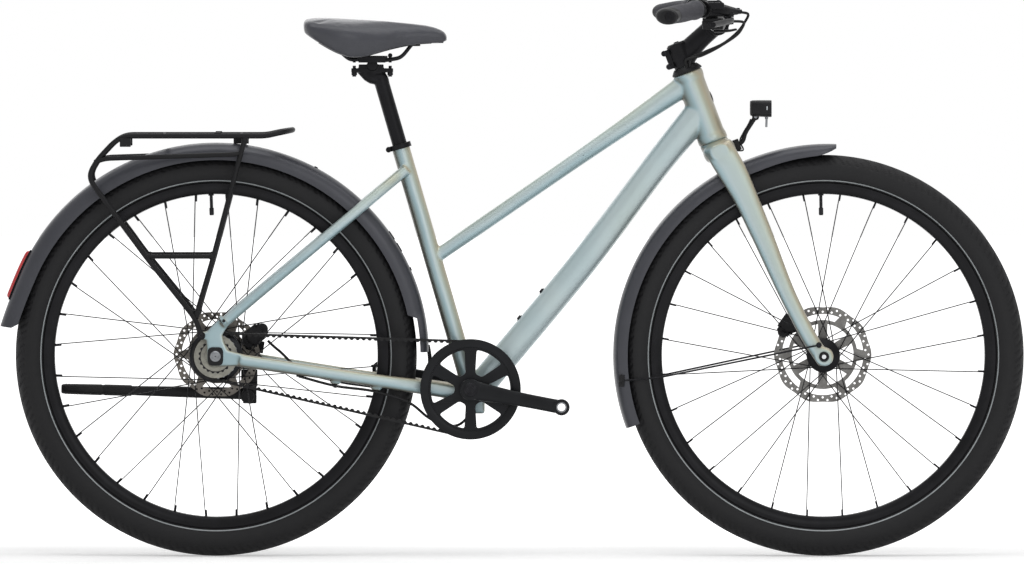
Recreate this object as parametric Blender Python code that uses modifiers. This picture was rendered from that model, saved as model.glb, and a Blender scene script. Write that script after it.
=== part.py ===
"""A trekking bike, built from separate pieces at their real size.

Units are metres. +X is forward, +Z is up, and the drive side faces -Y. The origin lies on
the ground in the bike's centre plane, midway between its rearmost and foremost points.
Side-view places are written (x, z); a third value is the distance from the centre plane.
"""
import math

import bmesh
import bpy
from mathutils import Vector

GAP = 0.0003            # clearance between two pieces that touch

# How many flat sides make a round piece
FINE = 20
ROUND = 16
SMALL = 12
TINY = 8
SHARP_ANGLE = math.radians(35)        # edges that turn further stay sharp

# Wheels
BEAD_SEAT_RADIUS = 0.311
RIM_FLANGE_HEIGHT = 0.006
RIM_DEPTH = 0.014
RIM_WIDTH = 0.029
RIM_WALL = 0.002
TYRE_WIDTH = 0.055
TYRE_DEPTH = 0.058                    # from the bead seat to the tread
TYRE_WALL = 0.004
TYRE_RADIUS = BEAD_SEAT_RADIUS + TYRE_DEPTH
RIM_FLANGE_RADIUS = BEAD_SEAT_RADIUS + RIM_FLANGE_HEIGHT
RIM_INNER_RADIUS = BEAD_SEAT_RADIUS - RIM_DEPTH
TYRE_STEPS = 28
RIM_STEPS = 24
WHEELBASE = 1.1167
FRONT_AXLE_X = 0.5726
AXLE_RADIUS = 0.006
AXLE_HEAD_RADIUS = 0.0095
SPOKE_RADIUS = 0.0015
REAR_SPOKES_A_SIDE = 16
REAR_CROSSINGS = 3
FRONT_SPOKES_A_SIDE = 14
FRONT_CROSSINGS = 2
REAR_SPOKE_ANGLE = math.radians(97.4)
FRONT_SPOKE_ANGLE = math.radians(97.0)
REAR_FLANGE_Y = 0.031
REAR_FLANGE_RADIUS = 0.0485
FRONT_FLANGE_Y = 0.026
FRONT_FLANGE_RADIUS = 0.0305
ROTOR_SEAT = 0.017
ROTOR_THICKNESS = 0.0018
ROTOR_BAND = 0.014
REAR_ROTOR_RADIUS = 0.080
REAR_ROTOR_Y = 0.0522
FRONT_ROTOR_RADIUS = 0.090
FRONT_ROTOR_Y = 0.0395

# Frame
CHAINSTAY_LENGTH = 0.4718
BOTTOM_BRACKET_DROP = 0.0604
SEAT_ANGLE = math.radians(16.2)       # both angles lean back from the vertical
HEAD_ANGLE = math.radians(20.7)
FORK_LENGTH = 0.4393
FORK_RAKE = 0.0499
HEAD_TUBE_LENGTH = 0.136
HEAD_TUBE_RADIUS = 0.025
HEAD_TUBE_END_RADIUS = 0.027
HEAD_TUBE_COLLAR = 0.012
BEARING_RADIUS = 0.0205
BEARING_HEIGHT = 0.008
SEAT_TUBE_LENGTH = 0.468
SEAT_TUBE_RADIUS = 0.0159
SHELL_RADIUS = 0.0225
SHELL_BORE = 0.0173
SHELL_HALF_LENGTH = 0.0365
CABLE_GUIDE = (0.021, 0.026, 0.034)   # the block under the bottom bracket
TOP_TUBE_ON_SEAT_TUBE = 0.248
TOP_TUBE_BELOW_HEAD_TOP = 0.017
TOP_TUBE_REAR_RADIUS = 0.0118
TOP_TUBE_FRONT_RADIUS = 0.017
DOWN_TUBE_ON_HEAD_TUBE = 0.062
DOWN_TUBE_OFFSET = 0.0114
DOWN_TUBE_RADIUS = 0.0254
DOWN_TUBE_FRONT_RADIUS = 0.0242
SEAT_STAY_BELOW_TOP = 0.0475          # where the stays' centre lines meet the seat tube
SEAT_STAY_RADIUS = 0.0095
DROPOUT_Y = 0.0715
DROPOUT_THICKNESS = 0.008
CHAINSTAY_FRONT_Y = 0.0262
CHAINSTAY_FRONT_WIDTH = 0.0085        # half of it
BRIDGE_OFFSET = (-0.0658, 0.003)      # the chainstay bridge, from the bottom bracket
BRIDGE_RADIUS = 0.006

# Seat
POST_RADIUS = 0.0136
POST_INSERTION = 0.125
POST_EXPOSED = 0.128
SADDLE_PIVOT_OFFSET = (-0.01454, 0.02206)   # from the post's top
SADDLE_BARREL_RADIUS = 0.010
RAIL_RADIUS = 0.0035
RAIL_SPACING = 0.022
RAIL_RISE = 0.0105                    # the rails' straight run above the saddle's pivot
SADDLE_CHANNEL = 0.0022
SADDLE_STATIONS = [
    # from the pivot: x, half width, top, underside, skirt's lower edge
    (-0.1248, 0.054, 0.0770, 0.0660, 0.0620), (-0.1130, 0.076, 0.0850, 0.0560, 0.0470),
    (-0.0510, 0.087, 0.0800, 0.0340, -0.0020), (-0.0130, 0.069, 0.0780, 0.0310, 0.0030),
    (0.0270, 0.046, 0.0765, 0.0360, 0.0210), (0.0670, 0.031, 0.0755, 0.0405, 0.0340),
    (0.1050, 0.025, 0.0720, 0.0425, 0.0380), (0.1310, 0.021, 0.0630, 0.0430, 0.0400),
    (0.1385, 0.014, 0.0530, 0.0440, 0.0430),
]

# Steering
STEERER_RADIUS = 0.0143
BAR_CLAMP_OFFSET = (0.06685, 0.05847)   # from the middle of the stem's clamp
BAR_CLAMP_RADIUS = 0.0159
BAR_GRIP_RADIUS = 0.0111
GRIP_START = 0.190
GRIP_END = 0.320
STEM_ABOVE_HEAD_TUBE = 0.012
STEM_HEIGHT = 0.044
STEM_START = HEAD_TUBE_LENGTH + STEM_ABOVE_HEAD_TUBE
STEM_END = STEM_START + STEM_HEIGHT
STEM_RADIUS = 0.020
STEM_CLAMP_HALF_WIDTH = 0.0235
STEM_CLAMP_RADIUS = 0.0224
FACEPLATE_TILT = math.radians(40)
CROWN_HEIGHT = 0.034
CROWN_DROP = 0.004
FORK_LEG_Y = 0.059
FORK_SHOULDER_Y = 0.0465
FORK_LEG_HALF_THICKNESS = 0.009
FORK_END_INNER_Y = 0.050
FORK_END_OUTER_Y = 0.068
LEVER_PIVOT_OFFSET = (0.0226, 0.0162)   # from the middle of the bar
LEVER_INSET = 0.062                     # how far inside the grip the lever's pivot lies
BRAKE_CLAMP_INSET = 0.035
SHIFTER_INSET = 0.071
LEVER_BOSS_DROP = 0.0030      # the brake's boss ends this far below the pivot
HOSE_RADIUS = 0.0025
HOSE_SPACING = 0.015

# Drive
BELT_LINE = 0.047
BELT_WIDTH = 0.012
BELT_PITCH = 0.011
FRONT_TEETH = 50
REAR_TEETH = 24
BELT_BACK = 0.0023          # belt back outside the pitch circle
TIP_BELOW_PITCH = 0.0011
TOOTH_DEPTH = 0.0030
BELT_CLEAR_RUN = 0.026      # how far from a sprocket the belt's teeth start
CRANK_LENGTH = 0.170
CRANK_ANGLE = math.radians(-10.8)
CRANK_ROOT_RADIUS = 0.020
SPINDLE_RADIUS = 0.012
SPINDLE_END = 0.078
PEDAL_EYE_RADIUS = 0.00715
GUARD_RADIUS = 0.0924
SPROCKET_WINDOW_RADIUS = 0.073

# Fenders
FENDER_WALL = 0.0024
FENDER_SIDE_ROOM = 0.0045             # between the tyre's side and the fender's middle surface
FENDER_HALF_WIDTH = TYRE_WIDTH / 2 + FENDER_SIDE_ROOM
FENDER_SKIRT = TYRE_RADIUS - 0.009
REAR_FENDER_CROWN = TYRE_RADIUS + 0.0225
REAR_FENDER_END = 1.0       # degrees from +X about the wheel's axle, as are the next four
REAR_FENDER_STEP = 11.0
REAR_FENDER_TAIL = 172.2
FRONT_FENDER_TIP = 86.5
FRONT_FENDER_END = 200.3
FRONT_FENDER_CROWN = TYRE_RADIUS + 0.0178
TAIL_FLARE = 0.0098

# Rack
RACK_RISE = 0.410                     # the rack's top above the rear axle
RACK_HALF_WIDTH = 0.057
RACK_FOOT_Y = 0.0811
RACK_EYELET = (-0.0259, 0.0390)       # from the rear axle
RACK_RADIUS = 0.005
RACK_CROSS_RADIUS = 0.004
RACK_BRACKET_AHEAD = 0.0461           # the fender's bracket and its cross rod, ahead of the axle
RACK_MIDDLE_ROD = -0.0959

# Headlight and kickstand
HEADLIGHT_OFFSET = (0.07736, 0.0457)     # from the fork's crown race
KICKSTAND_OFFSET = (0.0604, -0.074, 0.085)  # from the rear axle
KICKSTAND_LENGTH = 0.348
KICKSTAND_RADIUS = 0.0085
KICKSTAND_PAD = 0.046       # the pad's underside above the pivot

# Colours: frame satin grey-green, everything else black, greys and one red lens
FRAME_COLOUR = (0.56, 0.63, 0.60)
BLACK = (0.015, 0.015, 0.017)
DARK_GREY = (0.07, 0.07, 0.078)
RUBBER_BLACK = (0.02, 0.02, 0.02)
STEEL = (0.42, 0.42, 0.44)
RED = (0.6, 0.02, 0.025)


def side(x, z, y=0.0):
    """A point from its side-view place and its distance along Y."""
    return Vector((x, y, z))


REAR_AXLE = side(FRONT_AXLE_X - WHEELBASE, TYRE_RADIUS)
FRONT_AXLE = side(FRONT_AXLE_X, TYRE_RADIUS)
BOTTOM_BRACKET = REAR_AXLE + side(
    math.sqrt(CHAINSTAY_LENGTH ** 2 - BOTTOM_BRACKET_DROP ** 2), -BOTTOM_BRACKET_DROP
)
SEAT_UP = side(-math.sin(SEAT_ANGLE), math.cos(SEAT_ANGLE))
HEAD_UP = side(-math.sin(HEAD_ANGLE), math.cos(HEAD_ANGLE))
HEAD_FORWARD = side(math.cos(HEAD_ANGLE), math.sin(HEAD_ANGLE))
CROWN_RACE = FRONT_AXLE + HEAD_UP * FORK_LENGTH - HEAD_FORWARD * FORK_RAKE
ACROSS = Vector((0.0, 1.0, 0.0))
FORWARD = Vector((1.0, 0.0, 0.0))


def on_seat_tube(distance):
    return BOTTOM_BRACKET + SEAT_UP * distance


def on_steering_axis(distance):
    return CROWN_RACE + HEAD_UP * distance


SADDLE_PIVOT = on_seat_tube(SEAT_TUBE_LENGTH + POST_EXPOSED) + side(*SADDLE_PIVOT_OFFSET)
BAR_CLAMP = on_steering_axis((STEM_START + STEM_END) / 2) + side(*BAR_CLAMP_OFFSET)


def clear_scene():
    for thing in list(bpy.data.objects):
        bpy.data.objects.remove(thing, do_unlink=True)


clear_scene()
PARTS = bpy.data.collections.new("trekking_bike")
CUTTERS = bpy.data.collections.new("cutters")
bpy.context.scene.collection.children.link(PARTS)
bpy.context.scene.collection.children.link(CUTTERS)


def finish(thing, colour, roughness=0.5, metallic=0.0):
    """Makes an object one mesh with smooth round faces and its own Principled material."""
    made = as_mesh(thing)
    made.data.shade_smooth()
    made.data.set_sharp_from_angle(angle=SHARP_ANGLE)
    paint = bpy.data.materials.new(made.name + "_finish")
    paint.use_nodes = True
    surface = paint.node_tree.nodes["Principled BSDF"]
    surface.inputs["Base Color"].default_value = (*colour, 1.0)
    surface.inputs["Roughness"].default_value = roughness
    surface.inputs["Metallic"].default_value = metallic
    made.data.materials.clear()
    made.data.materials.append(paint)
    return made


def add_object(name, data):
    thing = bpy.data.objects.new(name, data)
    PARTS.objects.link(thing)
    return thing


def mesh_object(name, shape):
    """An object from a bmesh, which is freed."""
    mesh = bpy.data.meshes.new(name)
    shape.normal_update()
    shape.to_mesh(mesh)
    shape.free()
    return add_object(name, mesh)


def operand(thing):
    """Hides an object that only cuts or joins another."""
    PARTS.objects.unlink(thing)
    CUTTERS.objects.link(thing)
    thing.hide_render = True
    thing.display_type = "WIRE"
    return thing


def boolean(target, tool, operation):
    change = target.modifiers.new(operation.lower(), "BOOLEAN")
    change.operation = operation
    change.solver = "EXACT"
    change.object = operand(tool)
    return target


def cut(target, *tools):
    for tool in tools:
        boolean(target, tool, "DIFFERENCE")
    return target


def join(target, *tools):
    for tool in tools:
        boolean(target, tool, "UNION")
    return target


def along(start, end):
    """The turn that lays local Z from start to end."""
    return (Vector(end) - Vector(start)).to_track_quat("Z", "Y")


def rod(name, start, end, radius, end_radius=None, sides=FINE):
    """A round bar or cone between two points."""
    start, end = Vector(start), Vector(end)
    shape = bmesh.new()
    bmesh.ops.create_cone(
        shape, cap_ends=True, segments=sides, radius1=radius,
        radius2=radius if end_radius is None else end_radius, depth=(end - start).length,
    )
    thing = mesh_object(name, shape)
    thing.location = (start + end) / 2
    thing.rotation_mode = "QUATERNION"
    thing.rotation_quaternion = along(start, end)
    return thing


def block(name, centre, size, turn=0.0, bevel=0.0):
    """A box, turned about Y by an angle that lifts its +X end."""
    shape = bmesh.new()
    bmesh.ops.create_cube(shape, size=1.0)
    bmesh.ops.scale(shape, vec=Vector(size), verts=shape.verts)
    if bevel:
        bmesh.ops.bevel(
            shape, geom=shape.edges[:], offset=bevel, segments=1, profile=0.5, affect="EDGES"
        )
    thing = mesh_object(name, shape)
    thing.location = centre
    thing.rotation_euler = (0.0, -turn, 0.0)
    return thing


def turned(name, profile, centre, axis=ACROSS, steps=ROUND):
    """A turned piece from (radius, height) points, heights measured along the axis."""
    area = sum(
        a[0] * b[1] - b[0] * a[1] for a, b in zip(profile, profile[1:] + profile[:1])
    )
    points = profile if area < 0 else profile[::-1]
    mesh = bpy.data.meshes.new(name)
    edges = [(i, (i + 1) % len(points)) for i in range(len(points))]
    mesh.from_pydata([(radius, 0.0, height) for radius, height in points], edges, [])
    thing = add_object(name, mesh)
    spin = thing.modifiers.new("turn", "SCREW")
    spin.steps = steps
    spin.render_steps = steps
    spin.use_merge_vertices = True
    spin.merge_threshold = 0.00001
    thing.location = centre
    thing.rotation_mode = "QUATERNION"
    thing.rotation_quaternion = along((0, 0, 0), axis)
    return thing


def collar(name, centre, axis, outer, inner, length, steps=ROUND):
    """A plain ring, its length halved about the centre."""
    half = length / 2
    return turned(
        name, [(outer, half), (outer, -half), (inner, -half), (inner, half)], centre, axis, steps
    )


def smooth_route(points, spacing):
    """Points every spacing along a smooth curve through the given ones."""
    points = [Vector(p) for p in points]
    ends = [2 * points[0] - points[1]] + points + [2 * points[-1] - points[-2]]
    route = []
    for before, a, b, after in zip(ends, ends[1:], ends[2:], ends[3:]):
        count = max(1, round((b - a).length / spacing))
        for step in range(count):
            t = step / count
            route.append(0.5 * (
                2 * a + (b - before) * t + (2 * before - 5 * a + 4 * b - after) * t ** 2
                + (3 * a - before - 3 * b + after) * t ** 3
            ))
    return route + [points[-1]]


def pipe(name, points, radius, radii=None, resolution=1):
    """A wire or tube along a line of points."""
    curve = bpy.data.curves.new(name, "CURVE")
    curve.dimensions = "3D"
    curve.bevel_depth = radius
    curve.bevel_resolution = resolution
    curve.use_fill_caps = True
    line = curve.splines.new("POLY")
    line.points.add(len(points) - 1)
    for index, (spot, point) in enumerate(zip(line.points, points)):
        spot.co = (*point, 1.0)
        spot.radius = 1.0 if radii is None else radii[index] / radius
    return add_object(name, curve)


def flat(name, outline, thickness, y, holes=()):
    """A plate in the side view, from (x, z) outlines, centred on y."""
    curve = bpy.data.curves.new(name, "CURVE")
    curve.dimensions = "2D"
    curve.fill_mode = "BOTH"
    curve.extrude = thickness / 2
    for points in [outline, *holes]:
        line = curve.splines.new("POLY")
        line.points.add(len(points) - 1)
        line.use_cyclic_u = True
        for spot, (x, z) in zip(line.points, points):
            spot.co = (x, z, 0.0, 1.0)
    thing = add_object(name, curve)
    thing.location = (0.0, y, 0.0)
    thing.rotation_euler = (math.pi / 2, 0.0, 0.0)
    return thing


def as_mesh(thing):
    """A curve, or a mesh with modifiers, made one plain mesh."""
    bpy.context.view_layer.update()
    seen = thing.evaluated_get(bpy.context.evaluated_depsgraph_get())
    mesh = bpy.data.meshes.new_from_object(seen)
    if thing.type == "CURVE":
        shape = bmesh.new()
        shape.from_mesh(mesh)
        bmesh.ops.remove_doubles(shape, verts=shape.verts, dist=0.000005)
        bmesh.ops.recalc_face_normals(shape, faces=shape.faces)
        shape.to_mesh(mesh)
        shape.free()
    name, place = thing.name, thing.matrix_world.copy()
    bpy.data.objects.remove(thing, do_unlink=True)
    made = add_object(name, mesh)
    made.matrix_world = place
    return made


def loft(name, rings, capped=True, closed=True):
    """A skin over rings with the same number of points each."""
    shape = bmesh.new()
    rows = [[shape.verts.new(point) for point in ring] for ring in rings]
    around = len(rows[0])
    for row, following in zip(rows, rows[1:]):
        for i in range(around if closed else around - 1):
            j = (i + 1) % around
            shape.faces.new((row[i], row[j], following[j], following[i]))
    if capped:
        shape.faces.new(rows[0][::-1])
        shape.faces.new(rows[-1])
    bmesh.ops.recalc_face_normals(shape, faces=shape.faces)
    return mesh_object(name, shape)


def oval(centre, along_side, along_up, half_side, half_up, count=SMALL, squareness=1.0):
    """A ring of points; squareness under 1 fills its corners out."""
    ring = []
    for i in range(count):
        angle = 2 * math.pi * (i + 0.5) / count
        u, v = math.cos(angle), math.sin(angle)
        u = math.copysign(abs(u) ** squareness, u)
        v = math.copysign(abs(v) ** squareness, v)
        ring.append(Vector(centre) + along_side * (half_side * u) + along_up * (half_up * v))
    return ring


def swept_oval(name, stations, squareness=1.0, count=SMALL, grow=0.0, across=ACROSS):
    """A tube through (centre, half width across, half height square to that) stations."""
    rings = []
    for index, (centre, half_y, half_up) in enumerate(stations):
        before = Vector(stations[max(index - 1, 0)][0])
        after = Vector(stations[min(index + 1, len(stations) - 1)][0])
        forward = (after - before).normalized()
        up = forward.cross(across).normalized()
        wide = up.cross(forward).normalized()
        rings.append(oval(centre, wide, up, half_y + grow, half_up + grow, count, squareness))
    return loft(name, rings)


def circle(centre, radius, count, start=0.0):
    return [
        (centre[0] + radius * math.cos(start + 2 * math.pi * i / count),
         centre[1] + radius * math.sin(start + 2 * math.pi * i / count))
        for i in range(count)
    ]


def ray(centre, radius, degrees):
    """The side-view place at a radius and an angle from +X towards +Z."""
    angle = math.radians(degrees)
    return (centre[0] + radius * math.cos(angle), centre[1] + radius * math.sin(angle))


def pivot(name, place):
    """An empty on a joint's axis."""
    empty = bpy.data.objects.new(name, None)
    PARTS.objects.link(empty)
    empty.location = place
    return empty


def hang(empty, *things):
    """Parents things to an empty without moving them."""
    bpy.context.view_layer.update()
    for thing in things:
        thing.parent = empty
        thing.matrix_parent_inverse = empty.matrix_world.inverted()


def xz(point):
    return (point[0], point[2])


# Frame tubes

def seat_tube_cutter():
    return rod(
        "seat_tube_room", on_seat_tube(0.0), on_seat_tube(SEAT_TUBE_LENGTH), SEAT_TUBE_RADIUS + GAP,
        sides=ROUND,
    )


def shell_cutter():
    reach = ACROSS * (SHELL_HALF_LENGTH + 0.010)
    return rod("shell_room", BOTTOM_BRACKET - reach, BOTTOM_BRACKET + reach, SHELL_RADIUS + GAP)


def head_tube_cutter():
    return rod(
        "head_tube_room", on_steering_axis(-0.01), on_steering_axis(HEAD_TUBE_LENGTH + 0.01),
        HEAD_TUBE_END_RADIUS + GAP, sides=ROUND,
    )


def cable_guide(name, grow):
    centre = BOTTOM_BRACKET + side(0.015, -0.033)
    return block(name, centre, [size + 2 * grow for size in CABLE_GUIDE])


def seat_tube():
    reach = ACROSS * SHELL_HALF_LENGTH
    tube = rod(
        "seat_tube", BOTTOM_BRACKET, on_seat_tube(SEAT_TUBE_LENGTH), SEAT_TUBE_RADIUS, sides=ROUND
    )
    shell = rod("shell", BOTTOM_BRACKET - reach, BOTTOM_BRACKET + reach, SHELL_RADIUS)
    bore = rod(
        "post_bore", on_seat_tube(SHELL_RADIUS + 0.006), on_seat_tube(SEAT_TUBE_LENGTH + 0.01),
        POST_RADIUS + GAP, sides=ROUND,
    )
    shell_bore = rod(
        "shell_bore", BOTTOM_BRACKET - 2 * reach, BOTTOM_BRACKET + 2 * reach, SHELL_BORE + GAP,
        sides=ROUND,
    )
    join(tube, shell, cable_guide("cable_guide", 0.0))
    cut(tube, bore, shell_bore)
    return finish(tube, FRAME_COLOUR, 0.4, 0.3)


def head_tube():
    bearing_seat = BEARING_RADIUS + GAP
    length = HEAD_TUBE_LENGTH
    profile = [
        (HEAD_TUBE_END_RADIUS, 0.0), (HEAD_TUBE_END_RADIUS, HEAD_TUBE_COLLAR),
        (HEAD_TUBE_RADIUS, HEAD_TUBE_COLLAR + 0.004),
        (HEAD_TUBE_RADIUS, length - HEAD_TUBE_COLLAR - 0.004),
        (HEAD_TUBE_END_RADIUS, length - HEAD_TUBE_COLLAR), (HEAD_TUBE_END_RADIUS, length),
        (bearing_seat, length), (bearing_seat, length - BEARING_HEIGHT),
        (bearing_seat - 0.002, length - BEARING_HEIGHT - 0.001),
        (bearing_seat - 0.002, BEARING_HEIGHT + 0.001), (bearing_seat, BEARING_HEIGHT),
        (bearing_seat, 0.0),
    ]
    return finish(turned("head_tube", profile, CROWN_RACE, HEAD_UP), FRAME_COLOUR, 0.4, 0.3)


def headset_bearings():
    top_start = HEAD_TUBE_LENGTH - BEARING_HEIGHT
    for name, start in (("lower_headset_bearing", 0.0), ("upper_headset_bearing", top_start)):
        ring = collar(
            name, on_steering_axis(start + BEARING_HEIGHT / 2), HEAD_UP, BEARING_RADIUS,
            STEERER_RADIUS + GAP, BEARING_HEIGHT - 2 * GAP,
        )
        finish(ring, STEEL, 0.3, 0.9)


def top_tube():
    tube = rod(
        "top_tube", on_seat_tube(TOP_TUBE_ON_SEAT_TUBE),
        on_steering_axis(HEAD_TUBE_LENGTH - TOP_TUBE_BELOW_HEAD_TOP),
        TOP_TUBE_REAR_RADIUS, TOP_TUBE_FRONT_RADIUS,
    )
    cut(tube, seat_tube_cutter(), head_tube_cutter())
    return finish(tube, FRAME_COLOUR, 0.4, 0.3)


def down_tube():
    top = on_steering_axis(DOWN_TUBE_ON_HEAD_TUBE)
    heading = (top - BOTTOM_BRACKET).normalized()
    below = heading.cross(ACROSS)
    if below.z > 0:
        below = -below
    start = BOTTOM_BRACKET + below * DOWN_TUBE_OFFSET + heading * 0.008
    tube = rod("down_tube", start, top, DOWN_TUBE_RADIUS, DOWN_TUBE_FRONT_RADIUS)
    cut(tube, shell_cutter(), seat_tube_cutter(), head_tube_cutter(), cable_guide("guide_room", GAP))
    return finish(tube, FRAME_COLOUR, 0.4, 0.3)


def chainstay_stations(sign):
    """Centre, half width and half height from the dropout to the bottom bracket."""
    rear = REAR_AXLE + side(0.0438, -0.0065)
    front = BOTTOM_BRACKET + side(-0.006, -0.0095)
    plan = [
        (0.0, DROPOUT_Y, 0.0090, 0.0115), (0.32, 0.0625, 0.0090, 0.0108),
        (0.53, 0.0530, 0.0088, 0.0108), (0.68, 0.0415, 0.0083, 0.0118),
        (0.775, 0.0300, 0.0080, 0.0128), (1.0, CHAINSTAY_FRONT_Y, CHAINSTAY_FRONT_WIDTH, 0.0140),
    ]
    return [
        (rear.lerp(front, share) + ACROSS * (sign * y), half_width, half_height)
        for share, y, half_width, half_height in plan
    ]


def grown(outline, distance):
    """An outline moved outwards by a distance; it runs clockwise seen from -Y."""
    moved = []
    for before, here, after in zip(outline[-1:] + outline[:-1], outline, outline[1:] + outline[:1]):
        ahead = (Vector(after) - Vector(here)).normalized()
        behind = (Vector(here) - Vector(before)).normalized()
        normal = Vector((-(ahead.y + behind.y), ahead.x + behind.x)).normalized()
        spread = max(0.4, normal.dot(Vector((-ahead.y, ahead.x))))
        moved.append(tuple(Vector(here) + normal * (distance / spread)))
    return moved


def dropout_outline():
    """The plate round the axle, as offsets from it, from the seat stay clockwise."""
    places = [
        (0.0062, 0.0675), (0.0214, 0.0557), (0.0120, 0.0406), (0.0144, 0.0289), (0.0226, 0.0112),
        (0.0500, 0.0045), (0.0500, -0.0165), (0.0144, -0.0172), (-0.0100, -0.0172),
        (-0.0155, -0.0100), (-0.0155, 0.0147),
    ]
    x, z = RACK_EYELET
    places += [(x + 0.009, z - 0.009), (x - 0.004, z - 0.006), (x - 0.0065, z), (x - 0.004, z + 0.006),
               (x + 0.010, z + 0.007)]
    return [(REAR_AXLE.x + x, REAR_AXLE.z + z) for x, z in places]


def dropout_plate(name, sign, grow=0.0):
    outline = grown(dropout_outline(), grow)
    return as_mesh(flat(name, outline, DROPOUT_THICKNESS + 2 * grow, sign * DROPOUT_Y))


def chainstay(name, sign):
    stay = swept_oval(name, chainstay_stations(sign), 0.7)
    join(stay, dropout_plate(name + "_dropout", sign))
    hole = rod(
        name + "_axle_hole", REAR_AXLE + ACROSS * (sign * 0.06), REAR_AXLE + ACROSS * (sign * 0.085),
        AXLE_RADIUS + GAP, sides=SMALL,
    )
    cut(stay, hole, shell_cutter())
    if sign < 0:
        for share in (0.42, 0.60):
            join(stay, cable_lug(name + "_lug", sign, share))
    else:
        join(stay, chainstay_bridge(), kickstand_plate())
    return finish(stay, FRAME_COLOUR, 0.4, 0.3)


def stay_point(sign, share):
    """The chainstay's centre at a share of its length."""
    stations = chainstay_stations(sign)
    rear, front = stations[0][0], stations[-1][0]
    ground = rear.lerp(front, share)
    for (a, *_), (b, *_) in zip(stations, stations[1:]):
        if a.x <= ground.x <= b.x:
            return a.lerp(b, (ground.x - a.x) / (b.x - a.x))
    return front


def cable_lug(name, sign, share):
    spot = stay_point(sign, share) + side(0.0, -0.0125)
    return block(name, spot, (0.018, 0.009, 0.010), turn=math.radians(-8.8))


def chainstay_bridge():
    """A bar from the left chainstay almost to the right one, carrying the fender's end."""
    middle = BOTTOM_BRACKET + side(*BRIDGE_OFFSET)
    short = CHAINSTAY_FRONT_Y - CHAINSTAY_FRONT_WIDTH - 0.0023
    return rod(
        "chainstay_bridge", middle - ACROSS * short, middle + ACROSS * CHAINSTAY_FRONT_Y, BRIDGE_RADIUS,
        sides=SMALL,
    )


def kickstand_plate():
    """The pad under the left chainstay that carries the kickstand's housing."""
    x, y, z = REAR_AXLE + side(*KICKSTAND_OFFSET)
    high = 0.014
    centre = side(x - 0.001, z + KICKSTAND_PAD + high / 2, y - 0.0140)
    return block("kickstand_plate", centre, (0.031, 0.018, high))


def seat_stay(name, sign):
    foot = REAR_AXLE + side(0.0115, 0.0595)
    joint = on_seat_tube(SEAT_TUBE_LENGTH - SEAT_STAY_BELOW_TOP)
    plan = [
        (0.0, DROPOUT_Y), (0.30, 0.0640), (0.80, 0.0430), (0.89, 0.0330), (0.97, 0.0190), (1.0, 0.0170)
    ]
    stations = [
        (foot.lerp(joint, share) + ACROSS * (sign * y), SEAT_STAY_RADIUS, SEAT_STAY_RADIUS)
        for share, y in plan
    ]
    stay = swept_oval(name, stations, count=10)
    cut(stay, dropout_plate(name + "_plate_room", sign, GAP), seat_tube_cutter())
    return finish(stay, FRAME_COLOUR, 0.4, 0.3)


def seat_clamp():
    middle = on_seat_tube(SEAT_TUBE_LENGTH - 0.0045)
    ring = collar(
        "seat_clamp", middle, SEAT_UP, SEAT_TUBE_RADIUS + 0.0045, SEAT_TUBE_RADIUS + GAP, 0.010
    )
    ear = middle + SEAT_UP.cross(ACROSS) * (SEAT_TUBE_RADIUS + 0.0075)
    join(ring, rod("seat_clamp_lug", ear - ACROSS * 0.009, ear + ACROSS * 0.009, 0.0052, sides=TINY))
    return finish(ring, BLACK, 0.4, 0.5)


def bottom_bracket_cartridge():
    ring = collar(
        "bottom_bracket_cartridge", BOTTOM_BRACKET, ACROSS, SHELL_BORE - GAP, SPINDLE_RADIUS + GAP,
        2 * SHELL_HALF_LENGTH,
    )
    return finish(ring, STEEL, 0.35, 0.9)


# Wheels

def tyre(name, centre):
    half = TYRE_WIDTH / 2
    middle = TYRE_RADIUS - half
    bead = RIM_WIDTH / 2 - 0.0034
    seat = BEAD_SEAT_RADIUS + 4 * GAP
    outer = [(seat, bead), (RIM_FLANGE_RADIUS + 0.0015, bead)]
    for degrees in (100, 50, 0):
        angle = math.radians(degrees)
        outer.append((middle + half * math.cos(angle), half * math.sin(angle)))
    hollow = half - TYRE_WALL
    inner = [
        (seat, bead - 0.0035), (middle, hollow),
        (middle + 0.75 * hollow, 0.6 * hollow),
    ]
    profile = outer + [(r, -y) for r, y in outer[-2::-1]] + [(r, -y) for r, y in inner] + inner[::-1]
    return finish(turned(name, profile, centre, ACROSS, TYRE_STEPS), RUBBER_BLACK, 0.8)


def rim(name, centre):
    half = RIM_WIDTH / 2
    outer = [(RIM_FLANGE_RADIUS, half), (RIM_INNER_RADIUS, 0.008)]
    well = [(RIM_FLANGE_RADIUS, half - RIM_WALL), (BEAD_SEAT_RADIUS - 0.001, half - RIM_WALL - 0.0005)]
    profile = outer + [(r, -y) for r, y in outer[::-1]] + [(r, -y) for r, y in well] + well[::-1]
    return finish(turned(name, profile, centre, ACROSS, RIM_STEPS), BLACK, 0.4, 0.6)


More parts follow.
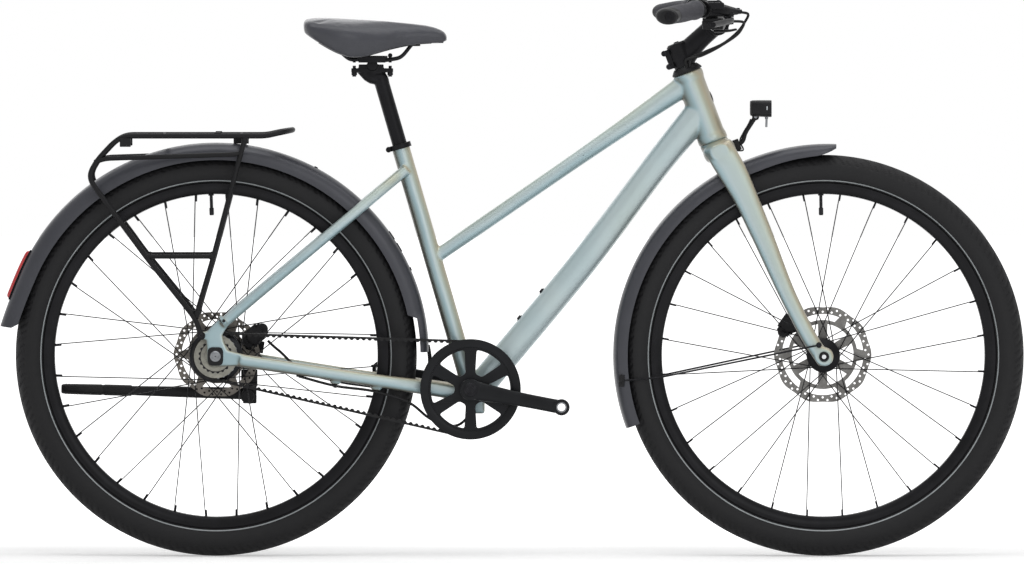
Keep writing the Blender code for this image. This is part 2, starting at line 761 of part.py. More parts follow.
def spokes(name, centre, count, crossings, flange_radius, flange_y, rim_y, first_angle):
    """One flange's spokes, fused where they cross."""
    sticks = []
    rim_radius = RIM_INNER_RADIUS * math.cos(math.pi / RIM_STEPS) - 2 * GAP
    spacing = 2 * math.pi / count
    for i in range(count):
        hub_angle = first_angle + i * spacing
        lean = crossings * spacing * (1 if i % 2 == 0 else -1)
        inner = side(*ray(xz(centre), flange_radius, math.degrees(hub_angle)), centre.y + flange_y)
        outer = side(*ray(xz(centre), rim_radius, math.degrees(hub_angle + lean)), centre.y + rim_y)
        sticks.append(rod(f"{name}_{i}", inner, outer, SPOKE_RADIUS, sides=3))
    first = sticks[0]
    first.name = name
    others = bpy.data.collections.new(name + "_others")
    CUTTERS.children.link(others)
    for stick in sticks[1:]:
        operand(stick)
        CUTTERS.objects.unlink(stick)
        others.objects.link(stick)
    fuse = first.modifiers.new("fuse", "BOOLEAN")
    fuse.operation = "UNION"
    fuse.solver = "EXACT"
    fuse.operand_type = "COLLECTION"
    fuse.collection = others
    return finish(first, BLACK, 0.4, 0.7)


def rotor(name, centre, radius, y, twist):
    """A brake disc: band, six swept arms and a carrier, as one plate."""
    arms = 6
    pitch = 2 * math.pi / arms
    arm = math.radians(11)
    windows = []
    for i in range(arms):
        start = pitch * i
        window = []
        for share in (0.0, 0.5, 1.0):
            angle = start + arm / 2 + (pitch - arm) * share + twist
            window.append((math.cos(angle) * (radius - ROTOR_BAND), math.sin(angle) * (radius - ROTOR_BAND)))
        for share in (1.0, 0.0):
            angle = start + arm + (pitch - 2 * arm) * share
            window.append((math.cos(angle) * 0.0245, math.sin(angle) * 0.0245))
        windows.append([(centre.x + x, centre.z + z) for x, z in window])
    hole = circle(xz(centre), ROTOR_SEAT + 2 * GAP, ROUND)
    disc = flat(name, circle(xz(centre), radius, 24), ROTOR_THICKNESS, y, [hole, *windows])
    return finish(disc, STEEL, 0.35, 0.9)


def rear_hub():
    bore = AXLE_RADIUS + GAP
    beside_rotor = REAR_ROTOR_Y - ROTOR_THICKNESS / 2 - GAP
    end = DROPOUT_Y - DROPOUT_THICKNESS / 2 - 0.001
    profile = [
        (bore, end), (ROTOR_SEAT, end - 0.002), (ROTOR_SEAT, beside_rotor), (0.026, beside_rotor),
        (REAR_FLANGE_RADIUS, REAR_FLANGE_Y + 0.002), (REAR_FLANGE_RADIUS, REAR_FLANGE_Y - 0.002),
        (0.041, 0.0255), (0.041, -0.0255), (REAR_FLANGE_RADIUS, -REAR_FLANGE_Y + 0.002),
        (REAR_FLANGE_RADIUS, -REAR_FLANGE_Y - 0.002), (0.030, -0.0375), (bore, -0.0375),
    ]
    return finish(turned("rear_hub", profile, REAR_AXLE, ACROSS, SMALL), BLACK, 0.4, 0.6)


def front_hub():
    bore = AXLE_RADIUS + GAP
    beside_rotor = FRONT_ROTOR_Y - ROTOR_THICKNESS / 2 - GAP
    end = FORK_END_INNER_Y - 0.0005
    profile = [
        (bore, end), (ROTOR_SEAT, end - 0.002), (ROTOR_SEAT, beside_rotor), (0.0260, beside_rotor),
        (FRONT_FLANGE_RADIUS, FRONT_FLANGE_Y + 0.002), (FRONT_FLANGE_RADIUS, FRONT_FLANGE_Y - 0.002),
        (0.0255, 0.021), (0.0255, -0.021), (FRONT_FLANGE_RADIUS, -FRONT_FLANGE_Y + 0.002),
        (FRONT_FLANGE_RADIUS, -FRONT_FLANGE_Y - 0.002), (0.013, -0.040), (0.013, -end),
        (bore, -end),
    ]
    return finish(turned("front_hub", profile, FRONT_AXLE, ACROSS, SMALL), BLACK, 0.4, 0.6)


def wheel(prefix, centre, hub, lacing, flange_radius, flange_y, rotor_radius, rotor_y):
    start = flange_radius + SPOKE_RADIUS + GAP
    count, crossings, angle = lacing
    other = angle + math.pi / count
    pieces = [
        tyre(prefix + "_tyre", centre), rim(prefix + "_rim", centre), hub,
        rotor(prefix + "_rotor", centre, rotor_radius, rotor_y, math.radians(24)),
        spokes(prefix + "_right_spokes", centre, count, crossings, start, -flange_y, -0.003, angle),
        spokes(prefix + "_left_spokes", centre, count, crossings, start, flange_y, 0.003, other),
    ]
    hang(pivot(prefix + "_wheel_axis", centre), *pieces)


def axle(name, centre, outer):
    """A through axle as long as the outside of the dropouts or fork ends, and 2 mm more."""
    reach = ACROSS * (outer + 0.002)
    return rod(name, centre - reach, centre + reach, AXLE_RADIUS, sides=ROUND)


def rear_axle():
    outer = DROPOUT_Y + DROPOUT_THICKNESS / 2
    shaft = axle("rear_axle", REAR_AXLE, outer)
    for sign in (-1, 1):
        centre = REAR_AXLE + side(0.0, 0.001, sign * (outer + GAP + 0.002))
        join(shaft, block("axle_plate", centre, (0.029, 0.004, 0.034)))
    return finish(shaft, BLACK, 0.4, 0.6)


def front_axle():
    shaft = axle("front_axle", FRONT_AXLE, FORK_END_OUTER_Y)
    for sign in (-1, 1):
        inner, outer = FORK_END_OUTER_Y + GAP, FORK_END_OUTER_Y + 0.006
        join(shaft, rod(
            "front_axle_head", FRONT_AXLE + ACROSS * (sign * inner), FRONT_AXLE + ACROSS * (sign * outer),
            AXLE_HEAD_RADIUS, AXLE_HEAD_RADIUS - 0.002, sides=SMALL,
        ))
    return finish(shaft, BLACK, 0.4, 0.6)


# Fork and steering

def fork_stations(sign):
    """Centre, half thickness and half depth of a leg, from the crown to the axle."""
    along_leg = [
        (0.018, 0.0050, 0.0420, 0.0100, 0.0265), (0.062, 0.0125, FORK_SHOULDER_Y - 0.001, 0.0100, 0.0262),
        (0.115, 0.0185, FORK_SHOULDER_Y, 0.0100, 0.0220), (0.185, 0.0225, 0.0480, 0.0100, 0.0200),
        (0.325, 0.0290, 0.0540, 0.0095, 0.0145),
        (0.412, 0.0400, FORK_LEG_Y - 0.001, FORK_LEG_HALF_THICKNESS, 0.0138),
        (FORK_LENGTH + 0.010, 0.0485, FORK_LEG_Y, FORK_LEG_HALF_THICKNESS, 0.0135),
    ]
    return [
        (on_steering_axis(-down) + HEAD_FORWARD * forward + ACROSS * (sign * y), thick, deep)
        for down, forward, y, thick, deep in along_leg
    ]


def fork_leg(name, sign, grow=0.0):
    return swept_oval(name, fork_stations(sign), 0.75, TINY, grow)


def fork():
    steerer = rod(
        "fork", on_steering_axis(-0.012), on_steering_axis(STEM_END - 0.005), STEERER_RADIUS, sides=ROUND
    )
    crown = block(
        "fork_crown", on_steering_axis(-CROWN_DROP - CROWN_HEIGHT / 2) + HEAD_FORWARD * 0.004,
        (0.054, 2 * FORK_SHOULDER_Y + 0.019, CROWN_HEIGHT), turn=HEAD_ANGLE, bevel=0.006,
    )
    race = rod("crown_race", on_steering_axis(-0.006), on_steering_axis(-GAP), 0.0265, sides=ROUND)
    join(steerer, race, crown)
    for sign in (-1, 1):
        end = rod(
            "fork_end", FRONT_AXLE + ACROSS * (sign * FORK_END_INNER_Y),
            FRONT_AXLE + ACROSS * (sign * FORK_END_OUTER_Y), 0.0170, sides=SMALL,
        )
        join(steerer, fork_leg("fork_leg", sign), end)
    beyond = ACROSS * (FORK_END_OUTER_Y + 0.01)
    within = ACROSS * (FORK_END_INNER_Y - 0.0002)
    hole = rod("axle_hole", FRONT_AXLE - beyond, FRONT_AXLE + beyond, AXLE_RADIUS + GAP, sides=ROUND)
    hub_room = rod("front_hub_room", FRONT_AXLE - within, FRONT_AXLE + within, 0.040, sides=ROUND)
    cut(steerer, hole, hub_room)
    return finish(steerer, FRAME_COLOUR, 0.4, 0.3)


def clamp_barrel(name, radius, half_width):
    """A round bar across the bike on the handlebar's clamped middle."""
    bar = BAR_CLAMP
    return rod(name, bar - ACROSS * half_width, bar + ACROSS * half_width, radius, sides=ROUND)


def stem():
    clamp = rod("stem", on_steering_axis(STEM_START), on_steering_axis(STEM_END), STEM_RADIUS, sides=ROUND)
    bar = BAR_CLAMP
    neck_start = on_steering_axis((STEM_START + STEM_END) / 2)
    neck = swept_oval("stem_neck", [(neck_start, 0.0165, 0.0183), (bar, 0.0150, 0.0183)], 0.8)
    seat = clamp_barrel("stem_bar_seat", STEM_CLAMP_RADIUS, STEM_CLAMP_HALF_WIDTH)
    ear = neck_start - HEAD_FORWARD * 0.022
    join(clamp, neck, seat, block("stem_bolt_ear", ear, (0.012, 0.018, 0.036), turn=HEAD_ANGLE))
    steerer_room = rod(
        "steerer_room", on_steering_axis(STEM_START - 0.01), on_steering_axis(STEM_END - 0.005 + GAP),
        STEERER_RADIUS + GAP, sides=ROUND,
    )
    bar_hole = clamp_barrel("stem_bar_room", BAR_CLAMP_RADIUS + 2 * GAP, 0.04)
    cut(clamp, steerer_room, bar_hole, faceplate_room("stem_front_room", 1, -GAP))
    return finish(clamp, BLACK, 0.45, 0.4)


def faceplate_room(name, towards, shift):
    """The space in front of (1) or behind (-1) the plane where the faceplate meets the stem."""
    ahead = side(math.cos(FACEPLATE_TILT), math.sin(FACEPLATE_TILT))
    centre = BAR_CLAMP + ahead * (towards * (0.03 + shift))
    return block(name, centre, (0.06, 0.08, 0.08), turn=FACEPLATE_TILT)


def stem_faceplate():
    plate = clamp_barrel("stem_faceplate", STEM_CLAMP_RADIUS, STEM_CLAMP_HALF_WIDTH)
    bar_hole = clamp_barrel("faceplate_bar_room", BAR_CLAMP_RADIUS + 2 * GAP, 0.04)
    cut(plate, faceplate_room("faceplate_back_room", -1, -GAP), bar_hole)
    return finish(plate, BLACK, 0.45, 0.4)


def bar_route():
    """The right half of the handlebar's centre line, from the middle outwards."""
    route = [
        side(0.0, 0.0), side(0.0, 0.0, 0.040), side(-0.003, 0.006, 0.062), side(-0.010, 0.021, 0.096),
        side(-0.019, 0.0275, GRIP_START - 0.060), side(-0.0403, 0.028, GRIP_START),
        side(-0.0861, 0.0159, GRIP_END - 0.002),
    ]
    return [BAR_CLAMP + point for point in route]


def bar_point(distance):
    """The centre of the bar at a distance from the centre plane."""
    route = bar_route()
    for a, b in zip(route, route[1:]):
        if a.y <= distance <= b.y:
            return a.lerp(b, (distance - a.y) / (b.y - a.y))
    return route[-1]


def bar_room(name, sign):
    """The space a clamp or grip leaves round the bar."""
    route = [mirrored(p, sign) for p in bar_route()[3:]]
    heading = (route[-1] - route[-2]).normalized()
    points = route[:-1] + [route[-1] + heading * GAP]
    return as_mesh(pipe(name, points, BAR_GRIP_RADIUS + 2 * GAP, resolution=4))


def mirrored(point, sign):
    return Vector((point.x, sign * point.y, point.z))


def handlebar():
    half = bar_route()
    points = [mirrored(p, -1) for p in half[:0:-1]] + half
    sizes = []
    for point in points:
        if abs(point.y) < 0.05:
            sizes.append(BAR_CLAMP_RADIUS)
        elif abs(point.y) < 0.08:
            sizes.append(BAR_CLAMP_RADIUS - 0.002)
        else:
            sizes.append(BAR_GRIP_RADIUS)
    return finish(pipe("handlebar", points, BAR_CLAMP_RADIUS, sizes, 3), BLACK, 0.4, 0.4)


def grip(name, sign):
    """A grip with a palm lobe behind its outer end, bored for the bar."""
    plan = [
        (GRIP_START, 0.0165, 0.0, 0.0165), (0.225, 0.0155, 0.0, 0.0160),
        (0.265, 0.0190, 0.006, 0.0165), (0.292, 0.0230, 0.011, 0.0155),
        (0.312, 0.0225, 0.012, 0.0150), (GRIP_END + 0.004, 0.0160, 0.006, 0.0130),
    ]
    heading = (bar_point(GRIP_END - 0.01) - bar_point(GRIP_START + 0.01)).normalized()
    ahead = mirrored((FORWARD - heading * heading.x).normalized(), sign)
    up = side(0.0, 1.0)
    rings = []
    for distance, half_deep, back, half_high in plan:
        centre = mirrored(bar_route()[-2] + heading * ((distance - GRIP_START) / heading.y), sign)
        rings.append(oval(centre - ahead * back, ahead, up, half_deep, half_high, 10))
    body = loft(name, rings)
    cut(body, bar_room(name + "_room", sign))
    return finish(body, RUBBER_BLACK, 0.8)


def lever_pivot():
    """The left lever's pivot as x, z and its distance from the centre plane."""
    spot = BAR_CLAMP + side(*LEVER_PIVOT_OFFSET)
    return spot.x, spot.z, GRIP_START - LEVER_INSET


def brake_body(name, sign):
    """A brake's clamp round the bar and its cylinder ahead of it."""
    along_bar = GRIP_START - BRAKE_CLAMP_INSET
    start, end = [mirrored(bar_point(along_bar + step), sign) for step in (-0.007, 0.007)]
    clamp = rod(name, start, end, BAR_GRIP_RADIUS + 0.0050, sides=ROUND)
    x, z, y = lever_pivot()
    arm = swept_oval(name + "_arm", [
        (mirrored(bar_point(along_bar + 0.001) + side(0.004, -0.002), sign), 0.0065, 0.0095),
        (mirrored(side(x - 0.012, z + 0.008, y + 0.006), sign), 0.0080, 0.0100),
        (mirrored(side(x + 0.002, z + 0.007, y - 0.008), sign), 0.0070, 0.0065),
        (mirrored(side(x + 0.013, z + 0.006, y - 0.016), sign), 0.0048, 0.0048),
    ], 0.8, TINY)
    tank_centre = mirrored(side(x - 0.030, z + 0.018, y + 0.024), sign)
    boss = rod(
        name + "_boss", mirrored(side(x, z + 0.0050, y), sign),
        mirrored(side(x, z - LEVER_BOSS_DROP, y), sign), 0.0060, sides=TINY,
    )
    join(clamp, arm, block(name + "_tank", tank_centre, (0.036, 0.022, 0.013)), boss)
    cut(clamp, bar_room(name + "_room", sign))
    return finish(clamp, BLACK, 0.4, 0.4)


def brake_lever(name, sign):
    """A two-finger blade that swings on a pin under the brake's cylinder."""
    x, z, y = lever_pivot()
    blade = swept_oval(name, [
        (mirrored(side(x + 0.001, z - 0.0085, y - 0.006), sign), 0.0050, 0.0042),
        (mirrored(side(x + 0.001, z - 0.0090, y + 0.020), sign), 0.0050, 0.0048),
        (mirrored(side(x - 0.010, z - 0.0110, y + 0.060), sign), 0.0045, 0.0055),
        (mirrored(side(x - 0.026, z - 0.0140, y + 0.100), sign), 0.0045, 0.0055),
        (mirrored(side(x - 0.033, z - 0.0155, y + 0.120), sign), 0.0045, 0.0045),
    ], 0.8, TINY, across=FORWARD)
    boss_top = z - LEVER_BOSS_DROP - GAP
    join(blade, rod(
        name + "_boss", mirrored(side(x, boss_top, y), sign), mirrored(side(x, z - 0.0125, y), sign),
        0.0060, sides=TINY,
    ))
    hang(pivot(name + "_pivot", mirrored(side(x, z, y), sign)), finish(blade, BLACK, 0.4, 0.5))


def shifter():
    """A trigger shifter under the right-hand brake."""
    along_bar = GRIP_START - SHIFTER_INSET
    start, centre, end = [mirrored(bar_point(along_bar + step), -1) for step in (-0.006, 0.0, 0.006)]
    ring = rod("shifter_body", start, end, BAR_GRIP_RADIUS + 0.0045, sides=ROUND)
    high = 0.021
    middle = centre + side(0.006, -0.0245)
    join(ring, block("shifter_box", middle, (0.040, 0.026, high)))
    cut(ring, bar_room("shifter_room", -1))
    finish(ring, BLACK, 0.5, 0.1)
    thick = 0.0028
    x, y, z = centre.x + 0.018, centre.y, middle.z - high / 2 - thick - GAP
    lever = swept_oval("shift_lever", [
        (side(x - 0.010, z, y), 0.0085, thick), (side(x + 0.006, z, y), 0.0085, thick),
        (side(x + 0.020, z + 0.001, y + 0.006), 0.0075, 0.0024),
        (side(x + 0.030, z + 0.003, y + 0.010), 0.0070, 0.0022),
    ], 0.8, 10)
    hang(pivot("shift_lever_pivot", side(x, z, y)), finish(lever, BLACK, 0.5, 0.1))


def headset_cover():
    start, end = HEAD_TUBE_LENGTH + GAP, STEM_START - GAP
    profile = [
        (STEERER_RADIUS + GAP, start), (0.0285, start), (0.0280, start + 0.004), (0.0215, end),
        (STEERER_RADIUS + GAP, end),
    ]
    return finish(turned("headset_cover", profile, CROWN_RACE, HEAD_UP), BLACK, 0.5)


def handlebar_hoses():
    """Brake hose and shift cable from the right-hand controls to the headset cover."""
    x, z, y = lever_pivot()
    bar, cover = BAR_CLAMP, on_steering_axis(STEM_START)
    brake = [
        side(x + 0.0155, z + 0.006, 0.0165 - y), bar + side(0.0546, 0.0187, -0.105),
        bar + side(0.0482, 0.0022, -0.092), bar + side(0.0132, -0.0343, -0.060),
        bar + side(-0.0274, -0.0538, -0.036),
        cover + HEAD_FORWARD * 0.012 + ACROSS * -0.026 + HEAD_UP * 0.009,
        cover + HEAD_FORWARD * 0.008 + ACROSS * -0.0225,
    ]
    shift = [
        bar + side(0.0106, 0.0022, -0.1150), bar + side(0.0306, 0.0052, -0.112),
        bar + side(0.0466, 0.0032, -0.106), bar + side(0.0426, -0.0098, -0.092),
        bar + side(0.0096, -0.0378, -0.0570), bar + side(-0.0294, -0.0588, -0.034),
        cover + HEAD_FORWARD * 0.004 + ACROSS * -0.0290 + HEAD_UP * 0.009,
        cover + HEAD_FORWARD * 0.003 + ACROSS * -0.0235,
    ]
    first = as_mesh(pipe("handlebar_hoses", smooth_route(brake, HOSE_SPACING), HOSE_RADIUS, resolution=2))
    join(first, as_mesh(pipe("shift_hose", smooth_route(shift, HOSE_SPACING), HOSE_RADIUS, resolution=2)))
    return finish(first, RUBBER_BLACK, 0.6)


# Fenders

def fender_ring(centre, degrees, crown, skirt):
    """One cross-section of a fender: skirt, shoulder and crown, right to left."""
    shape = [(1.0, 0.0), (0.76, 0.80), (0.0, 1.0)]
    half = [(share * FENDER_HALF_WIDTH, skirt + (crown - skirt) * rise) for share, rise in shape]
    section = [(-y, r) for y, r in half] + [(y, r) for y, r in half[-2::-1]]
    return [side(*ray(xz(centre), radius, degrees), y) for y, radius in section]


def fender(name, rings):
    shell = loft(name, rings, capped=False, closed=False)
    wall = shell.modifiers.new("wall", "SOLIDIFY")
    wall.thickness = FENDER_WALL
    wall.offset = 0.0
    return shell


def rear_fender_flare(degrees):
    """How far the tail lifts off the tyre's circle."""
    return TAIL_FLARE * max(0.0, 1 - (REAR_FENDER_TAIL - degrees) / 16.0) ** 2


def rear_fender():
    crown = REAR_FENDER_CROWN - FENDER_WALL / 2
    shallow = crown - 0.0145
    rings = [fender_ring(REAR_AXLE, angle, crown, shallow) for angle in (REAR_FENDER_END, REAR_FENDER_STEP)]
    start = REAR_FENDER_STEP + 1.0
    count = 17
    for i in range(count + 1):
        angle = start + (REAR_FENDER_TAIL - start) * i / count
        flare = rear_fender_flare(angle)
        rings.append(fender_ring(REAR_AXLE, angle, crown + flare, FENDER_SKIRT + flare))
    shell = fender("rear_fender", rings)
    low, high = REAR_FENDER_CROWN - 0.0080, RACK_RISE - RACK_RADIUS - RACK_CROSS_RADIUS - GAP
    top_bracket = block(
        "rear_fender_bracket", REAR_AXLE + side(RACK_BRACKET_AHEAD, (low + high) / 2),
        (0.030, 0.012, high - low),
    )
    end = side(*ray(xz(REAR_AXLE), crown, REAR_FENDER_END))
    bridge = BOTTOM_BRACKET + side(*BRIDGE_OFFSET)
    strap = pipe("rear_fender_strap", [
        end + side(-0.001, 0.012), end + side(0.003, -0.010), bridge + side(-0.0095, 0.006)
    ], 0.004)
    tab_thick = 0.004
    tab = block(
        "rear_fender_tab", bridge - side(BRIDGE_RADIUS + GAP + tab_thick / 2, 0.0), (tab_thick, 0.014, 0.016)
    )
    join(shell, top_bracket, as_mesh(strap), tab)
    return finish(shell, DARK_GREY, 0.35)


def front_fender():
    crown = FRONT_FENDER_CROWN - FENDER_WALL / 2
    rings = []
    count = 12
    for i in range(count + 1):
        angle = FRONT_FENDER_TIP + (FRONT_FENDER_END - FRONT_FENDER_TIP) * i / count
        point = max(0.0, 1.0 - 5 * i / count)
        rings.append(fender_ring(FRONT_AXLE, angle, crown + 0.003 * point, FENDER_SKIRT + 0.010 * point))
    shell = fender("front_fender", rings)
    crown_foot = on_steering_axis(-CROWN_DROP - CROWN_HEIGHT - GAP - 0.010)
    join(shell, block(
        "front_fender_bracket", crown_foot + HEAD_FORWARD * 0.010, (0.014, 0.016, 0.020), turn=HEAD_ANGLE
    ))
    eyelet = FRONT_AXLE + side(-0.0094, 0.0215)
    grip_point = side(*ray(xz(FRONT_AXLE), 0.3740, 187.0))
    for sign in (-1, 1):
        beside_fork = ACROSS * (sign * (FORK_LEG_Y + 0.0135))
        stay = as_mesh(pipe("front_fender_stay", [
            eyelet + beside_fork, eyelet + side(-0.020, -0.004) + beside_fork,
            FRONT_AXLE + side(-0.300, -0.039, sign * 0.040), grip_point + ACROSS * (sign * 0.0320),
        ], 0.002))
        boss = rod(
            "front_fender_boss", eyelet + ACROSS * (sign * (FORK_LEG_Y + 0.0100)),
            eyelet + ACROSS * (sign * (FORK_LEG_Y + 0.0150)), 0.0045, sides=TINY,
        )
        clip = block("front_fender_clip", grip_point + ACROSS * (sign * 0.0325), (0.011, 0.005, 0.025))
        join(shell, stay, boss, clip)
    return finish(shell, DARK_GREY, 0.35)


def tail_light():
    """A lens strip on the outside of the rear fender."""
    angles = (150.6, 151.6, 154.5, 158.0, 161.5, 163.7, 164.7)
    rings = []
    for angle in angles:
        at_end = angle in (angles[0], angles[-1])
        high, wide = (0.0035, 0.009) if at_end else (0.0065, 0.0115)
        base = REAR_FENDER_CROWN + 0.0008 + rear_fender_flare(angle)
        half = [(wide, base), (wide, base + high * 0.6), (wide * 0.6, base + high)]
        section = [(-y, radius) for y, radius in half] + half[::-1]
        rings.append([side(*ray(xz(REAR_AXLE), radius, angle), y) for y, radius in section])
    return finish(loft("tail_light", rings), RED, 0.2)


# Rack

def rack():
    """Welded from rods: a top loop, a lower rail and two legs on each side, and cross rods."""
    level = RACK_RISE - RACK_RADIUS
    foot_x, foot_z = RACK_EYELET
    inner = DROPOUT_Y + DROPOUT_THICKNESS / 2 + GAP

    def rods(name, points, radius):
        return as_mesh(pipe(name, [REAR_AXLE + side(*point) for point in points], radius))

    rails = []
    for sign in (-1, 1):
        wide = sign * RACK_HALF_WIDTH
        rails.append([
            (0.1406, level + 0.010, sign * 0.018), (0.1301, level + 0.008, wide * 0.75),
            (0.1141, level + 0.005, wide), (0.0921, level, wide), (-0.1654, level, wide),
            (-0.1849, level - 0.010, wide), (-0.2159, level - 0.043, wide),
            (-0.2304, level - 0.068, wide), (-0.2279, level - 0.085, wide),
            (-0.1268, 0.1828, wide * 1.18), (-0.0559, 0.0950, sign * 0.0765),
            (-0.0359, 0.0690, sign * RACK_FOOT_Y), (foot_x, foot_z, sign * RACK_FOOT_Y),
        ])
    frame = rods("rack", rails[0][::-1] + rails[1], RACK_RADIUS)
    for sign in (-1, 1):
        wide = sign * RACK_HALF_WIDTH
        apart = wide + sign * 0.004
        front_leg = rods("rack_front_leg", [
            (0.0551, level, wide), (-0.0053, 0.1777, wide * 1.18), (-0.0319, 0.0870, sign * 0.0765),
            (-0.0349, 0.0710, sign * (RACK_FOOT_Y - 0.0005)),
        ], RACK_RADIUS - 0.0003)
        low_rail = rods("rack_low_rail", [
            (-0.2219, level - 0.048, wide), (-0.2015, level - 0.0415, apart),
            (0.0361, level - 0.0338, apart), (0.0451, level - 0.032, wide),
        ], RACK_RADIUS - 0.0006)
        brace = rods("rack_brace", [
            (-0.1269, 0.1840, wide * 1.18), (-0.0049, 0.1840, wide * 1.18)
        ], RACK_RADIUS - 0.0007)
        foot = rod(
            "rack_foot", REAR_AXLE + side(foot_x, foot_z, sign * inner),
            REAR_AXLE + side(foot_x, foot_z, sign * (RACK_FOOT_Y + 0.004)), 0.0075, sides=SMALL,
        )
        join(frame, front_leg, low_rail, brace, foot)
    for ahead in (RACK_BRACKET_AHEAD, RACK_MIDDLE_ROD):
        middle, across = REAR_AXLE + side(ahead, level), ACROSS * RACK_HALF_WIDTH
        join(frame, rod("rack_cross", middle - across, middle + across, RACK_CROSS_RADIUS, sides=TINY))
    return finish(frame, BLACK, 0.45, 0.3)


# Drive

def sprocket_outline(centre, teeth):
    tip = teeth * BELT_PITCH / (2 * math.pi) - TIP_BELOW_PITCH
    outline = []
    for i in range(2 * teeth):
        radius = tip - TOOTH_DEPTH if i % 2 else tip
        outline.append(ray(centre, radius, 180.0 * i / teeth))
    return outline


def belt_land(teeth):
    """The radius of the belt's inner face where it runs round a sprocket's tips."""
    return teeth * BELT_PITCH / (2 * math.pi) - TIP_BELOW_PITCH + GAP


def arc(centre, radius, start, end, steps):
    """Points on a turn whose flat sides stay outside the radius."""
    reach = radius / math.cos((end - start) / steps / 2)
    return [
        centre + Vector((math.cos(start + (end - start) * i / steps),
                         math.sin(start + (end - start) * i / steps))) * reach
        for i in range(steps + 1)
    ]


def drive_belt():
    """A closed belt: its free runs are as thick as the teeth that they stand in for."""
    rear, front = Vector(xz(REAR_AXLE)), Vector(xz(BOTTOM_BRACKET))
    gap = front - rear
    heading = math.atan2(gap.y, gap.x)
    pitch_radii = [teeth * BELT_PITCH / (2 * math.pi) for teeth in (REAR_TEETH, FRONT_TEETH)]
    lean = math.asin((pitch_radii[1] - pitch_radii[0]) / gap.length)
    upper = heading + math.pi / 2 + lean
    lower = heading - math.pi / 2 - lean

    def wrap(rear_radius, front_radius):
        ahead = arc(front, front_radius, lower, upper, 18)
        behind = arc(rear, rear_radius, upper, lower + 2 * math.pi, 10)
        return ahead, behind

    outer_front, outer_rear = wrap(*(radius + BELT_BACK for radius in pitch_radii))
    inner_front, inner_rear = wrap(belt_land(REAR_TEETH), belt_land(FRONT_TEETH))
    runs = []
    for start, end in ((inner_front[-1], inner_rear[0]), (inner_rear[-1], inner_front[0])):
        step = (end - start).normalized()
        inward = Vector((-step.y, step.x)) * TOOTH_DEPTH
        away = step * BELT_CLEAR_RUN
        slope = step * 0.003
        runs.append([start + away, start + away + slope + inward, end - away - slope + inward, end - away])
    outer = [tuple(p) for p in outer_front + outer_rear]
    inner = [tuple(p) for p in inner_front + runs[0] + inner_rear + runs[1]]
    return finish(flat("drive_belt", outer, BELT_WIDTH, -BELT_LINE, [inner]), RUBBER_BLACK, 0.7)


def front_sprocket():
    """The toothed ring on six arms, and the belt guard outside it."""
    centre = xz(BOTTOM_BRACKET)
    windows = []
    for i in range(6):
        middle = 120.0 + 60.0 * i
        window = [ray(centre, SPROCKET_WINDOW_RADIUS, middle + spread) for spread in (-20.5, 0, 20.5)]
        window += [ray(centre, 0.030, middle + spread) for spread in (12, -12)]
        windows.append(window)
    hole = circle(centre, SPINDLE_RADIUS + 0.0008, ROUND)
    ring = as_mesh(flat(
        "front_sprocket", sprocket_outline(centre, FRONT_TEETH), BELT_WIDTH, -BELT_LINE, [hole, *windows]
    ))
    ring_face = -(BELT_LINE + BELT_WIDTH / 2)
    near, far = ring_face - 0.0004, ring_face - 0.0028
    guard = turned("guard", [
        (GUARD_RADIUS, near), (GUARD_RADIUS, far), (0.0760, far), (0.0760, ring_face + 0.002),
        (0.0805, ring_face + 0.002), (0.0805, near),
    ], BOTTOM_BRACKET, ACROSS, ROUND)
    join(ring, guard)
    return finish(ring, BLACK, 0.4, 0.5)


def rear_sprocket():
    centre = xz(REAR_AXLE)
    bore = AXLE_RADIUS + 2 * GAP
    ring = as_mesh(flat(
        "rear_sprocket", sprocket_outline(centre, REAR_TEETH), BELT_WIDTH, -BELT_LINE,
        [circle(centre, 0.018, SMALL)],
    ))
    face = -(BELT_LINE + BELT_WIDTH / 2)
    hub = turned("driver", [
        (bore, -0.0378), (0.0270, -0.0378), (0.0270, face + 0.0015), (0.0370, face + 0.0006),
        (0.0370, face - 0.0020), (0.0200, face - 0.0020), (0.0200, face - 0.0095), (bore, face - 0.0095),
    ], REAR_AXLE, ACROSS, SMALL)
    join(ring, hub)
    return finish(ring, STEEL, 0.4, 0.8)


